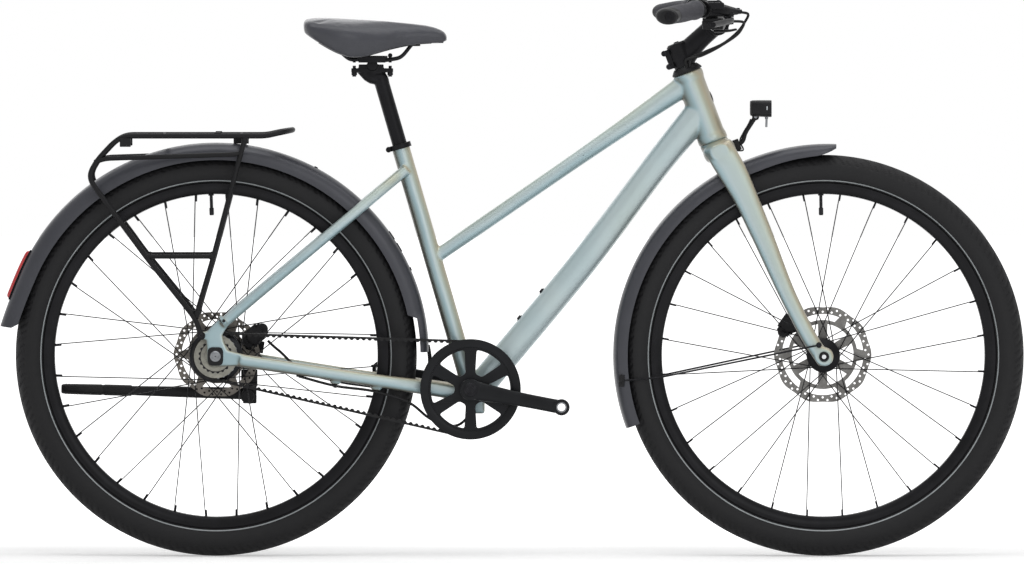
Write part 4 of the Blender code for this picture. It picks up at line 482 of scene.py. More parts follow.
# %% Recipe for a finish
def make_finish(
    name, colour, second, roughness, spread=0.12, metallic=0.0, amount=0.5, clouds=25.0, grain=900.0,
    bump=0.15, depth=0.0002, coat=0.0, coat_roughness=0.2, specular=0.2, pebbles=0.0, rings=None,
    sheen=0.0,
):
    made = bpy.data.materials.new(name)
    made.use_nodes = True
    tree = made.node_tree
    surface = tree.nodes["Principled BSDF"]
    base = node(tree, "Group", {"node_tree": clouded}, {
        "Colour": tone(colour), "Second Colour": tone(second), "Amount": amount, "Cloud Scale": clouds,
        "Grain Scale": grain, "Roughness": roughness, "Spread": spread,
    })
    height = base.outputs["Height"]
    extra = []
    if pebbles:
        extra.append(node(tree, "Group", {"node_tree": pebbled}, {"Scale": pebbles, "Softness": 0.35}))
    if rings is not None:
        extra.append(node(tree, "Group", {"node_tree": turned_rings}, {"Centre": rings, "Scale": 1200.0}))
    for relief in extra:
        height = sums(tree, "MULTIPLY_ADD", height, 0.3, relief.outputs["Height"])
    bumps = node(tree, "Bump", links={"Height": height, "Strength": bump, "Distance": depth})
    tree.links.new(base.outputs["Colour"], surface.inputs["Base Color"])
    tree.links.new(base.outputs["Roughness"], surface.inputs["Roughness"])
    tree.links.new(bumps.outputs["Normal"], surface.inputs["Normal"])
    for socket, value in (
        ("Metallic", metallic), ("Coat Weight", coat), ("Coat Roughness", coat_roughness),
        ("Specular IOR Level", specular), ("Sheen Weight", sheen),
    ):
        surface.inputs[socket].default_value = value
    return made


alloy_black = make_finish("alloy_black", "131315", "1b1b1e", 0.42, 0.2, 0.5, bump=0.1)
powder_black = make_finish("powder_black", "101012", "18181a", 0.5, 0.2, 0.1, grain=1400.0, bump=0.25)
crank_black = make_finish("crank_black", "131416", "1b1c1f", 0.36, 0.15, 0.4, bump=0.08)
rim_black = make_finish("rim_black", "121214", "1c1c1f", 0.33, 0.15, 0.5, bump=0.08)
moulded_black = make_finish("moulded_black", "111113", "19191b", 0.5, 0.15, pebbles=1500.0, bump=0.2)
hose_black = make_finish("hose_black", "111112", "1d1d1f", 0.45, 0.1, grain=600.0, bump=0.1)
spoke_black = make_finish("spoke_black", "101012", "2b2b2d", 0.3, 0.15, 0.7, clouds=60.0, bump=0.05)
bolt_steel = make_finish("bolt_steel", "7f8184", "5e6063", 0.3, 0.15, 0.95, clouds=120.0, bump=0.1)
bolt_black = make_finish("bolt_black", "1c1c1e", "303033", 0.35, 0.15, 0.8, clouds=120.0, bump=0.1)
bright_alloy = make_finish("bright_alloy", "c4c6c8", "a3a6a9", 0.25, 0.12, 0.95, clouds=80.0, bump=0.08)
disc_steel = {
    end: make_finish(end + "_disc_steel", *tones, 0.3, 0.2, 0.9, clouds=60.0, bump=0.2, rings=axle)
    for end, tones, axle in (
        ("rear", ("67635e", "4b4844"), REAR_AXLE), ("front", ("6e6d6b", "53514f"), FRONT_AXLE),
    )
}
hub_black = make_finish("hub_black", "17181a", "2a2b2e", 0.3, 0.15, 0.7, bump=0.15, rings=REAR_AXLE)
fender_grey = make_finish(
    "fender_grey", "404147", "37383e", 0.36, 0.12, 0.15, specular=0.35, amount=0.6, clouds=9.0,
    grain=1600.0, bump=0.12
)
belt_rubber = make_finish("belt_rubber", "19191a", "2c2c2d", 0.65, 0.2, clouds=90.0, grain=700.0)
grip_rubber = make_finish(
    "grip_rubber", "3b3b40", "46464b", 0.6, 0.15, clouds=70.0, pebbles=900.0, bump=0.3
)
print("finishes:", len(bpy.data.materials))

# %% [markdown]
# The frame's paint is a satin pearl that slides from cool grey-blue on its sides to a warm
# beige where it turns up and forward. The deep grey-green underneath and towards the rear is
# painted shade: the colour darkens as the surface turns away from the upper front, where the
# light comes from. The colour follows the way the surface itself faces, never the camera, so it
# stays put from every side. A wide soft cloud keeps the bands from looking ruled, and very fine
# flakes give the satin.

# %% Pearl paint with painted shade
pearl_and_painted_shade = bpy.data.materials.new("frame_pearl_and_painted_shade")
pearl_and_painted_shade.use_nodes = True
tree = pearl_and_painted_shade.node_tree
surface = tree.nodes["Principled BSDF"]
coordinates = node(tree, "TexCoord")
facing = node(tree, "VectorMath", {"operation": "DOT_PRODUCT"}, {
    0: coordinates.outputs["Normal"], 1: (0.62, 0.0, 0.78),
}).outputs["Value"]
drift = node(tree, "TexNoise", links={
    "Vector": coordinates.outputs["Object"], "Scale": 6.0, "Detail": 2.0, "Roughness": 0.4,
}).outputs["Fac"]
ahead = node(tree, "SeparateXYZ", links={"Vector": coordinates.outputs["Object"]}).outputs["X"]
# The ramp's place mixes how the surface faces, which paints shade where it turns away from the upper front,
# with a warmer lean further forward on the bike.
shade_and_warmth = sums(tree, "MULTIPLY_ADD", ahead, 0.34, sums(tree, "SUBTRACT", facing, 0.27))
shifted = sums(tree, "MULTIPLY_ADD", drift, 0.5, shade_and_warmth)
spot = sums(tree, "MULTIPLY_ADD", shifted, 0.5, 0.5)
ramp = node(tree, "ValToRGB", links={"Fac": spot})
# The dark low end of these bands is painted shade for surfaces facing down and back; the pale blue middle
# and the beige top are the pearl's own hues.
bands = [
    (0.0, "4a4942"), (0.17, "67685f"), (0.31, "7b8f91"), (0.43, "94acb2"), (0.52, "adbcbe"),
    (0.62, "a5b2ac"), (0.73, "a9ad9c"), (0.85, "aea68e"), (0.96, "a9a494"),
]
stops = ramp.color_ramp.elements
stops[0].position, stops[0].color = bands[0][0], tone(bands[0][1])
stops[1].position, stops[1].color = bands[-1][0], tone(bands[-1][1])
for position, colour in bands[1:-1]:
    stop = stops.new(position)
    stop.color = tone(colour)
flakes = node(tree, "TexVoronoi", links={"Vector": coordinates.outputs["Object"], "Scale": 2600.0})
flake_mask = node(tree, "MapRange", links={
    "Value": flakes.outputs["Distance"], "From Min": 0.0, "From Max": 0.5, "To Min": 0.3, "To Max": 0.42,
}).outputs["Result"]
paint_bump = node(tree, "Bump", links={
    "Height": flakes.outputs["Distance"], "Strength": 0.05, "Distance": 0.0002,
})
tree.links.new(ramp.outputs["Color"], surface.inputs["Base Color"])
tree.links.new(flake_mask, surface.inputs["Roughness"])
tree.links.new(paint_bump.outputs["Normal"], surface.inputs["Normal"])
for socket, value in (("Metallic", 0.35), ("Coat Weight", 0.35), ("Coat Roughness", 0.28)):
    surface.inputs[socket].default_value = value
print("paint bands:", len(bands))

# %% [markdown]
# The frame. Its tubes are welded and the welds are smoothed over before painting, so tubes run
# into each other in soft fillets. Booleans would leave a hard line at each joint. Here the
# tubes overlap, a voxel remesh melts them into one skin, a few rounds of smoothing make the
# fillets, and the bores for the post, the bearings and the axles are cut afterwards, crisp.

# %% Bends
def bent(points, reach=0.012, steps=6):
    """Straight runs with a rounded bend at each inner point."""
    points = [Vector(p) for p in points]
    line = [points[0]]
    for before, here, after in zip(points, points[1:], points[2:]):
        back, ahead = before - here, after - here
        start = here + back.normalized() * min(reach, back.length * 0.45)
        end = here + ahead.normalized() * min(reach, ahead.length * 0.45)
        for step in range(steps + 1):
            t = step / steps
            line.append(start * (1 - t) ** 2 + here * (2 * t * (1 - t)) + end * t ** 2)
    return line + [points[-1]]


print("a right angle bends in", len(bent([(0, 0, 0), (1, 0, 0), (1, 1, 0)])) - 2, "steps")

# %% [markdown]
# The frame's plans. A stay's plan gives shares of its length with the distance from the centre
# plane there, and a tube's gives places with half its width and half its height. The dropout
# is an outline round the rear axle, measured on the photograph.

# %% The frame's tubes
CHAINSTAY_PLAN = [
    (0.0, 0.0715, 0.009, 0.0115), (0.32, 0.0625, 0.009, 0.0108), (0.53, 0.053, 0.0088, 0.0108),
    (0.68, 0.0415, 0.0083, 0.0118), (0.775, 0.03, 0.008, 0.0128), (1.0, 0.0262, 0.0085, 0.014),
]
STAY_REAR = REAR_AXLE + side(0.0438, -0.0065)
STAY_FRONT = BOTTOM_BRACKET + side(-0.006, -0.0095)
SEAT_STAY_PLAN = [(0.0, 0.0715), (0.3, 0.064), (0.8, 0.043), (0.89, 0.033), (0.97, 0.019), (1.0, 0.017)]
STAY_FOOT = REAR_AXLE + side(0.0115, 0.0595)
STAY_HEAD = on_seat_tube(0.4205)
DROPOUT = [
    (0.0062, 0.0675), (0.0214, 0.0557), (0.012, 0.0406), (0.0144, 0.0289), (0.0226, 0.0112),
    (0.05, 0.0045), (0.05, -0.0165), (0.0144, -0.0172), (-0.01, -0.0172), (-0.0155, -0.01),
    (-0.0155, 0.0147), (-0.0169, 0.03), (-0.0299, 0.033), (-0.0324, 0.039), (-0.0299, 0.045),
    (-0.0159, 0.046),
]
REAR_BRIDGE = BOTTOM_BRACKET + side(-0.0658, 0.003)
down_top = on_steering_axis(0.062)
down_heading = (down_top - BOTTOM_BRACKET).normalized()
down_below = down_heading.cross(ACROSS) * (-1 if down_heading.cross(ACROSS).z > 0 else 1)
down_start = BOTTOM_BRACKET + down_below * 0.0114 + down_heading * 0.008

top_end = on_steering_axis(0.119)
top_start = on_seat_tube(0.248)
lean = (top_end - top_start).normalized()
TOP_TUBE = [
    (top_start, 0.0118, 0.0118), (top_start + lean * 0.06, 0.0122, 0.0122),
    (top_end - lean * 0.12, 0.015, 0.0156), (top_end - lean * 0.045, 0.017, 0.0185),
    (top_end, 0.0185, 0.0205),
]
DOWN_TUBE = [
    (down_start, 0.025, 0.025), (down_start + down_heading * 0.3, 0.0248, 0.025),
    (down_top - down_heading * 0.08, 0.0243, 0.025), (down_top, 0.0243, 0.0275),
]


def stay_point(sign, share):
    """The chainstay's centre at a share of its length."""
    for (a, ya, *_), (b, yb, *_) in zip(CHAINSTAY_PLAN, CHAINSTAY_PLAN[1:]):
        if a <= share <= b:
            y = ya + (yb - ya) * (share - a) / (b - a)
            return STAY_REAR.lerp(STAY_FRONT, share) + ACROSS * (sign * y)


def fill_frame(shape):
    drum(shape, on_seat_tube(0.232), SEAT_UP, 0.0159, 0.236)
    drum(shape, BOTTOM_BRACKET, ACROSS, 0.0225, 0.0365)
    block(shape, BOTTOM_BRACKET + side(0.015, -0.031), (0.021, 0.024, 0.03))
    lathe(shape, [
        (0.027, 0.0), (0.027, 0.011), (0.0252, 0.017), (0.0252, 0.119), (0.027, 0.125), (0.027, 0.136),
        (0.004, 0.136), (0.004, 0.0),
    ], CROWN_RACE, HEAD_UP)
    drum(shape, on_steering_axis(0.068), HEAD_UP, 0.006, 0.067)
    sweep(shape, TOP_TUBE, spacing=0.01)
    sweep(shape, DOWN_TUBE, squareness=0.92, spacing=0.01)
    for sign in (-1, 1):
        sweep(shape, [
            (STAY_REAR.lerp(STAY_FRONT, share) + ACROSS * (sign * y), wide, high)
            for share, y, wide, high in CHAINSTAY_PLAN
        ], squareness=0.7, spacing=0.008)
        sweep(shape, [
            (STAY_FOOT.lerp(STAY_HEAD, share) + ACROSS * (sign * y), 0.0093, 0.0093)
            for share, y in SEAT_STAY_PLAN
        ], spacing=0.008)
        outline = [(REAR_AXLE.x + x, REAR_AXLE.z + z) for x, z in DROPOUT]
        plate(shape, outline, 0.008, sign * 0.0715)
    drum(shape, REAR_BRIDGE + ACROSS * 0.0054, ACROSS, 0.006, 0.0208)
    block(shape, side(-0.4847, 0.348, 0.071), (0.031, 0.018, 0.014))
    for share in (0.42, 0.6):
        block(shape, stay_point(-1, share) + side(0.0, -0.0125), (0.018, 0.008, 0.01), math.radians(-8.8))


print("stays, tubes and dropouts are planned")

# %% [markdown]
# Melting: the solids of a casting or a weld go in as they are, overlapping, and come out as one
# skin. Its bores are cut last, by solids that are dropped afterwards.

# %% Melt and bore
def bored(made, cutters):
    """Cuts plain solids out of a piece and drops them."""
    for cutter in cutters:
        saw = made.modifiers.new("bore", "BOOLEAN")
        saw.operation, saw.solver, saw.object = "DIFFERENCE", "MANIFOLD", cutter
    applied(made)
    made.data.transform(made.matrix_world)
    made.matrix_world = Matrix.Identity(4)
    for cutter in cutters:
        bpy.data.objects.remove(cutter)
    return made


def plug(centre, axis, radius, half):
    """A round solid that only cuts another."""
    shape = bmesh.new()
    drum(shape, centre, axis, radius, half, 64)
    return loose_object("plug", shape)


def grid(fine):
    return fine


# The grid of the melt is turned, because tubes that lie badly across it come out pitted.
GRID_TURN = Matrix.Rotation(math.radians(-15), 4, "Y")


def melted(name, fill, voxel, rounds, cutters=(), regain=0.0):
    """Overlapping solids made one smooth skin, which regains what the smoothing took away."""
    shape = bmesh.new()
    fill(shape)
    made = loose_object(name, shape)
    made.data.transform(GRID_TURN)
    made.matrix_world = GRID_TURN.inverted()
    melt = made.modifiers.new("melt", "REMESH")
    melt.mode = "VOXEL"
    melt.voxel_size = voxel
    soften = made.modifiers.new("soften", "SMOOTH")
    soften.iterations = rounds
    if regain:
        fuller = made.modifiers.new("fuller", "DISPLACE")
        fuller.strength, fuller.mid_level = regain, 0.0
    return bored(made, list(cutters))


print("melts are cut on a grid turned by", round(math.degrees(GRID_TURN.to_euler().y)), "degrees")

# %% The welded frame
WELD_GRID = grid(0.0016)
WELD_ROUNDS = 26
WELD_REGAIN = 0.0007
frame_bores = [
    plug(on_seat_tube(0.26), SEAT_UP, 0.0139, 0.23),
    plug(BOTTOM_BRACKET, ACROSS, 0.0176, 0.06),
    plug(on_steering_axis(0.068), HEAD_UP, 0.0188, 0.08),
    plug(on_steering_axis(0.0), HEAD_UP, 0.0208, 0.0083),
    plug(on_steering_axis(0.136), HEAD_UP, 0.0208, 0.0083),
    plug(REAR_AXLE, ACROSS, 0.0063, 0.1),
]
finished(
    melted("welded_frame", fill_frame, WELD_GRID, WELD_ROUNDS, frame_bores, WELD_REGAIN),
    "frame", pearl_and_painted_shade,
    ["seat_tube", "head_tube", "top_tube", "down_tube", "right_chainstay", "left_chainstay",
     "right_seat_stay", "left_seat_stay"],
)

# %% [markdown]
# The melt leaves the two long tubes slightly pitted between their fillets. There each gets a
# clean swept skin, a few tenths of a millimetre proud, whose ends sink into the melted one.

# %% Clean tubes
def tube_skin(shape, stations, squareness, first, last):
    """A swept skin over the middle of a tube, without its first and last rows."""
    rows = smooth_values(stations, 0.01)[first:-last]
    skinned = []
    for i, (x, y, z, wide, high) in enumerate(rows):
        sunk = max(0.0, 1.0 - min(i, len(rows) - 1 - i) / 3)
        proud = 0.0004 - 0.0016 * sunk ** 2
        skinned.append((Vector((x, y, z)), wide + proud, high + proud))
    sweep(shape, skinned, squareness, 64, spacing=0)


shape = bmesh.new()
tube_skin(shape, TOP_TUBE, 1.0, 4, 7)
tube_skin(shape, DOWN_TUBE, 0.92, 9, 9)
piece("tube_skins", shape, "frame", pearl_and_painted_shade, sharp=60.0)

# %% [markdown]
# Small things that are fixed to the frame: the two bottle bolts on the down tube, the rubber
# grommets where cables go inside, the collar of the joint that lets a belt through the right
# seat stay, and the clamp at the seat tube's top with its cross bolt behind.

# %% Frame hardware
shape = bmesh.new()
for x, z in ((0.0513, 0.4905), (0.0105, 0.4407)):
    along = (side(x, z) - down_start).dot(down_heading)
    foot = down_start + down_heading * along - down_below * 0.0248
    drum(shape, foot, -down_below, 0.0062, 0.001, 32)
    bolt(shape, foot - down_below * 0.0012, -down_below, 0.0045, 0.0022)
piece("bottle_bolts", shape, "frame", bolt_black)

shape = bmesh.new()
port = on_steering_axis(0.079) + HEAD_FORWARD * 0.0248
sweep(shape, [
    (port - HEAD_UP * 0.0105, 0.0025, 0.0014), (port - HEAD_UP * 0.006, 0.0048, 0.0022),
    (port + HEAD_UP * 0.006, 0.0048, 0.0022), (port + HEAD_UP * 0.0105, 0.0025, 0.0014),
], spacing=0.002, count=24)
guide = BOTTOM_BRACKET + side(0.0042, -0.043, -0.005)
drum(shape, guide, FORWARD, 0.0048, 0.0014, 32, 0.0042)
spot = stay_point(-1, 0.26) + side(0.0, -0.011)
drum(shape, spot, UP, 0.0045, 0.003, 32)
piece("cable_grommets", shape, "frame", moulded_black, bevel=0.0004)

shape = bmesh.new()
stay_line = (STAY_HEAD - STAY_FOOT).normalized()
joint = STAY_FOOT + side(0.0042, 0.007, -0.0714)
lathe(shape, [
    (0.0106, -0.0035), (0.0112, -0.0028), (0.0112, 0.0028), (0.0106, 0.0035), (0.0085, 0.0035),
    (0.0085, -0.0035),
], joint, stay_line, 64)
piece("stay_joint_collar", shape, "frame", pearl_and_painted_shade)
shape = bmesh.new()
collar(shape, joint - stay_line * 0.0055, stay_line, 0.008, 0.0099, 0.0005, 64)
bolt(shape, joint + side(0.0, 0.0, -0.0108), -ACROSS, 0.003, 0.0016)
piece("stay_joint_line", shape, "frame", bolt_black)

shape = bmesh.new()
band = on_seat_tube(0.4635)
collar(shape, band, SEAT_UP, 0.0162, 0.0204, 0.0046, 96)
lug = band + SEAT_UP.cross(ACROSS) * 0.0222
for sign in (-1, 1):
    drum(shape, lug + ACROSS * (sign * 0.005), ACROSS, 0.0052, 0.004, 32)
    bolt(shape, lug + ACROSS * (sign * 0.0086), ACROSS * sign, 0.0036, 0.0014)
piece("seat_clamp_band", shape, "frame", alloy_black, ["seat_clamp"], bevel=0.0006)
nodes["bottom_bracket_cartridge"].data.materials[0] = alloy_black
for bearing in ("lower_headset_bearing", "upper_headset_bearing"):
    nodes[bearing].data.materials[0] = bolt_steel

# %% [markdown]
# The fork is cast and swept like the frame: two blades that leave a broad crown, taper and bend
# forward to round ends. The same melt gives its soft crown.

# %% Fork
FORK_PLAN = [
    (0.01, 0.0045, 0.038, 0.011, 0.0265), (0.03, 0.007, 0.044, 0.0105, 0.0265),
    (0.062, 0.0125, 0.0455, 0.01, 0.0258), (0.115, 0.0185, 0.0465, 0.01, 0.022),
    (0.185, 0.0225, 0.048, 0.01, 0.0195), (0.325, 0.029, 0.054, 0.0095, 0.0145),
    (0.412, 0.04, 0.058, 0.009, 0.0138), (0.4493, 0.0485, 0.059, 0.009, 0.0135),
]


def fill_fork(shape):
    drum(shape, on_steering_axis(0.085), HEAD_UP, 0.0143, 0.1)
    drum(shape, on_steering_axis(-0.007), HEAD_UP, 0.025, 0.0068, top_radius=0.0265)
    crown = on_steering_axis(-0.02) + HEAD_FORWARD * 0.004
    sweep(shape, [
        (crown - ACROSS * 0.0545, 0.017, 0.013), (crown - ACROSS * 0.04, 0.0265, 0.0165),
        (crown, 0.027, 0.0165), (crown + ACROSS * 0.04, 0.0265, 0.0165),
        (crown + ACROSS * 0.0545, 0.017, 0.013),
    ], squareness=0.7, across=HEAD_FORWARD)
    for sign in (-1, 1):
        sweep(shape, [
            (on_steering_axis(-down) + HEAD_FORWARD * ahead + ACROSS * (sign * y), thick, deep)
            for down, ahead, y, thick, deep in FORK_PLAN
        ], squareness=0.8)
        drum(shape, FRONT_AXLE + ACROSS * (sign * 0.059), ACROSS, 0.017, 0.009)


finished(
    melted("cast_fork", fill_fork, WELD_GRID, WELD_ROUNDS, [
        plug(FRONT_AXLE, ACROSS, 0.0063, 0.1), plug(FRONT_AXLE, ACROSS, 0.04, 0.0497),
    ], WELD_REGAIN), "steering", pearl_and_painted_shade, ["fork"],
)

shape = bmesh.new()
for sign in (-1, 1):
    eyelet = FRONT_AXLE + side(-0.0094, 0.0215, sign * 0.0685)
    drum(shape, eyelet, ACROSS, 0.0052, 0.0012, 32)
    bolt(shape, eyelet + ACROSS * (sign * 0.0055), ACROSS * sign, 0.004, 0.002)
hole = on_steering_axis(-0.158) + HEAD_FORWARD * 0.0215 + ACROSS * -0.0573
drum(shape, hole, ACROSS, 0.0028, 0.0006, 32)
piece("fork_bolts", shape, "steering", bolt_black)

shape = bmesh.new()
for sign in (-1, 1):
    lathe(shape, [
        (0.0095, 0.0683), (0.0095, 0.0712), (0.0082, 0.0738), (0.0062, 0.074), (0.0055, 0.0722),
        (0.001, 0.0722), (0.001, 0.0683),
    ], FRONT_AXLE, ACROSS * sign, 64)
drum(shape, FRONT_AXLE, ACROSS, 0.006, 0.069)
piece("front_through_axle", shape, "steering", bolt_black, ["front_axle"])
shape = bmesh.new()
for sign in (-1, 1):
    drum(shape, FRONT_AXLE + ACROSS * (sign * 0.0728), ACROSS, 0.004, 0.0008, 32)
piece("front_axle_caps", shape, "steering", bright_alloy)

shape = bmesh.new()
drum(shape, REAR_AXLE, ACROSS, 0.006, 0.0775)
for sign in (-1, 1):
    sweep(shape, [
        (REAR_AXLE + side(0.0, 0.001, sign * 0.0759), 0.0143, 0.0168),
        (REAR_AXLE + side(0.0, 0.001, sign * 0.0785), 0.0143, 0.0168),
        (REAR_AXLE + side(0.0, 0.001, sign * 0.0797), 0.0128, 0.0152),
    ], squareness=0.5, across=FORWARD, spacing=0, count=48)
piece("rear_axle_units", shape, "frame", moulded_black, ["rear_axle"])
shape = bmesh.new()
for sign in (-1, 1):
    lathe(shape, [
        (0.0098, 0.0794), (0.0098, 0.0808), (0.0088, 0.0815), (0.0062, 0.0815), (0.0058, 0.08),
        (0.001, 0.08), (0.001, 0.0794),
    ], REAR_AXLE + side(0.0, 0.001), ACROSS * sign, 6 if sign > 0 else 48)
piece("rear_axle_nuts", shape, "frame", bolt_steel)

# %% [markdown]
# Tyres. A touring tyre is round, with a smooth centre, slanted cuts over its shoulders that
# lead water away, and a thin reflecting line round each side. The tyre is turned as a fine
# grid, and each point of the tread sinks where a cut runs over it, so the cuts are real ones.

# %% Tyre
TYRE_CUTS = 84
TREAD_FROM = 0.338
tyre_rubber = make_finish(
    "tyre_rubber", "131315", "1b1b1c", 0.62, 0.18, clouds=40.0, grain=1500.0, bump=0.3, specular=0.25
)
reflect_grey = make_finish("reflect_line", "a9aeb0", "8f9496", 0.4, 0.1, grain=1500.0, bump=0.1)


def cut_depth(turn, level):
    """How deep the tread is cut, at a share of the way round and a share across, from 0 to 1."""
    if level < 0.1:
        return 0.0
    if abs(level - 0.14) < 0.035:
        return 0.0009
    way = (turn * TYRE_CUTS + 1.1 * level) % 1.0
    if level < 0.42:
        return 0.0011 if abs(way - 0.5) < 0.07 and level > 0.2 else 0.0
    if level < 0.82:
        return 0.0013 if abs(way - 0.5) < 0.11 or (abs(way - 0.02) < 0.06 and level > 0.55) else 0.0
    return 0.0


def tyre(prefix, centre):
    middle, half = 0.3415, 0.0275
    angles = [138 - 6 * i for i in range(8)] + [90 - 2.5 * i for i in range(36)] + [0.0]
    outer = [(0.3124, 0.0108), (0.3165, 0.011), (0.3185, 0.014)]
    outer += [
        (middle + half * math.cos(math.radians(a)), half * math.sin(math.radians(a))) for a in angles
    ]
    inner = [(0.3124, 0.0076), (0.33, 0.019), (0.345, 0.0235), (0.36, 0.017), (0.365, 0.0)]
    profile = outer + [(r, -y) for r, y in outer[-2::-1]]
    profile += [(r, -y) for r, y in inner] + inner[-2::-1]
    steps = 840
    shape = bmesh.new()
    rings = []
    for i in range(steps):
        turn = i / steps
        ring = []
        for r, y in profile:
            lean = math.atan2(abs(y), r - middle)
            level = lean / math.radians(85)
            if r > TREAD_FROM:
                sunk = cut_depth(turn + (0.5 / TYRE_CUTS if y > 0 else 0.0), level)
                r -= sunk * math.cos(lean)
                y -= math.copysign(sunk * math.sin(lean), y) if y else 0.0
            ring.append(polar(centre, r, 360 * turn, y))
        rings.append(ring)
    skin(shape, rings, looped=True)
    for face in shape.faces:
        spot = face.calc_center_median() - centre
        radius = math.hypot(spot.x, spot.z)
        if abs(spot.y) > 0.018 and 0.3208 < radius < 0.3236:
            face.material_index = 1
    made = piece(
        prefix + "_tyre_tread", shape, prefix + "_wheel", tyre_rubber, [prefix + "_tyre"], sharp=50.0
    )
    made.data.materials.append(reflect_grey)


# %% [markdown]
# Rims, spokes and hubs. The rim is a deep black box section. Every spoke leaves a hole in its
# hub flange, crosses its neighbours and ends in a nipple at the rim, in the lacing counted on
# the photograph. A valve stands opposite the rim's joint.

# %% Rim, spokes and valve
def rim(prefix, centre, valve_angle):
    outer = [
        (0.317, 0.0145), (0.317, 0.0127), (0.3098, 0.0121), (0.3085, 0.006), (0.307, 0.0),
    ]
    web = [
        (0.316, 0.0145), (0.3125, 0.0145), (0.308, 0.014), (0.3, 0.0108), (0.2975, 0.0085), (0.2966, 0.005),
        (0.2965, 0.0),
    ]
    profile = outer + [(r, -y) for r, y in outer[-2::-1]]
    profile += [(r, -y) for r, y in web] + web[-2::-1]
    shape = bmesh.new()
    lathe(shape, profile, centre, steps=240)
    piece(prefix + "_rim_ring", shape, prefix + "_wheel", rim_black, [prefix + "_rim"])
    shape = bmesh.new()
    foot, tip = polar(centre, 0.2975, valve_angle), polar(centre, 0.258, valve_angle)
    inward = (tip - foot).normalized()
    sideways = inward.cross(ACROSS)
    skin(shape, [
        oval(foot + inward * d, ACROSS, sideways, r, r, 24)
        for d, r in ((-0.001, 0.0052), (0.0032, 0.0052), (0.0036, 0.003), (0.0255, 0.003), (0.026, 0.0042),
                     (0.0375, 0.0042), (0.0395, 0.0034))
    ])
    piece(prefix + "_valve", shape, prefix + "_wheel", bolt_black)


def lacing(prefix, centre, count, crossings, flange_radius, flange_y, first_angle):
    spacing = 360.0 / count
    nipples = bmesh.new()
    for label, hand in (("right", -1), ("left", 1)):
        shape = bmesh.new()
        start = first_angle + (spacing / 2 if hand > 0 else 0.0)
        for i in range(count):
            angle = start + i * spacing
            lean = crossings * spacing * (1 if i % 2 == 0 else -1)
            depth = hand * (flange_y + (0.0026 if i % 2 == 0 else -0.0026))
            root = polar(centre, flange_radius - 0.003, angle, centre.y + depth)
            other = polar(centre, flange_radius - 0.003, angle, centre.y + 2 * hand * flange_y - depth)
            tip = polar(centre, 0.2985, angle + lean, hand * 0.003)
            seat = polar(centre, 0.2855, angle + lean, hand * 0.0033)
            heading = (tip - root).normalized()
            wire(shape, [
                other, other.lerp(root, 0.6), root + heading * 0.002, root.lerp(tip, 0.5), tip,
            ], 0.001, 8)
            wire(nipples, [
                seat, seat + heading * 0.001, seat + heading * 0.0115,
            ], 0.0019, 10, [0.0014, 0.0019, 0.0019])
            head = (other - root).normalized()
            drum(shape, other + head * 0.0004, head, 0.0019, 0.0005, 10)
        node_name = f"{prefix}_{label}_spokes"
        piece(node_name + "_laced", shape, prefix + "_wheel", spoke_black, [node_name])
    piece(prefix + "_nipples", nipples, prefix + "_wheel", bolt_black)


# %% [markdown]
# Brake discs are laser-cut from steel plate: a wavy rim with pairs of small round holes, and
# swept arms round a carrier. The cut-out is drawn as a flat curve with all its holes, which
# Blender fills and thickens in one go.

# %% Brake disc
def brake_disc(prefix, centre, radius, y):
    waves, arms = 10, 6
    outline = []
    for i in range(waves * 10):
        angle = 360.0 * i / (waves * 10)
        reach = radius - 0.0014 + 0.0014 * math.cos(math.radians(angle * waves))
        spot = polar(centre, reach, angle)
        outline.append((spot.x, spot.z))
    holes = [ring_of(centre, 0.017, 48)]
    for i in range(30):
        for distance, shift in ((0.0056, 0.0), (0.011, 6.0)):
            holes.append(ring_of(polar(centre, radius - distance, 12.0 * i + shift), 0.002, 14))
    pitch, band = 360.0 / arms, radius - 0.0152
    for i in range(arms):
        for shift, low, high, low_spread, high_spread in (
            (0.0, 0.027, band - 0.018, 13.0, 21.0), (0.5, band - 0.011, band, 20.0, 24.0),
        ):
            middle, window = pitch * (i + shift), []
            for distance, spread in ((low, low_spread), (high, -high_spread)):
                for step in range(9):
                    spot = polar(centre, distance, middle - spread + 2 * spread * step / 8)
                    window.append((spot.x, spot.z))
            holes.append(window)
    shape = bmesh.new()
    plate(shape, outline, 0.0018, y, holes)
    piece(prefix + "_brake_disc", shape, prefix + "_wheel", disc_steel[prefix],
        [prefix + "_rotor"], sharp=25.0)
    shape = bmesh.new()
    face = y - 0.0009
    lathe(shape, [
        (0.0172, y + 0.0036), (0.0212, y + 0.0036), (0.022, y + 0.0026), (0.022, y + 0.001),
        (0.0172, y + 0.001),
    ], centre, steps=72)
    lathe(shape, [(0.0172, face - 0.0012), (0.0245, face - 0.0012), (0.0245, face), (0.0172, face)],
        centre, steps=72)
    piece(prefix + "_disc_lockring", shape, prefix + "_wheel", alloy_black, bevel=0.0003)


# %% [markdown]
# With these parts both wheels go together. The rear hub is wide, because it holds the gears,
# and the front one holds the dynamo that feeds the lamps. Both shells are turned on a lathe.
# Each disc's place is kept here, since its caliper has to straddle it later.

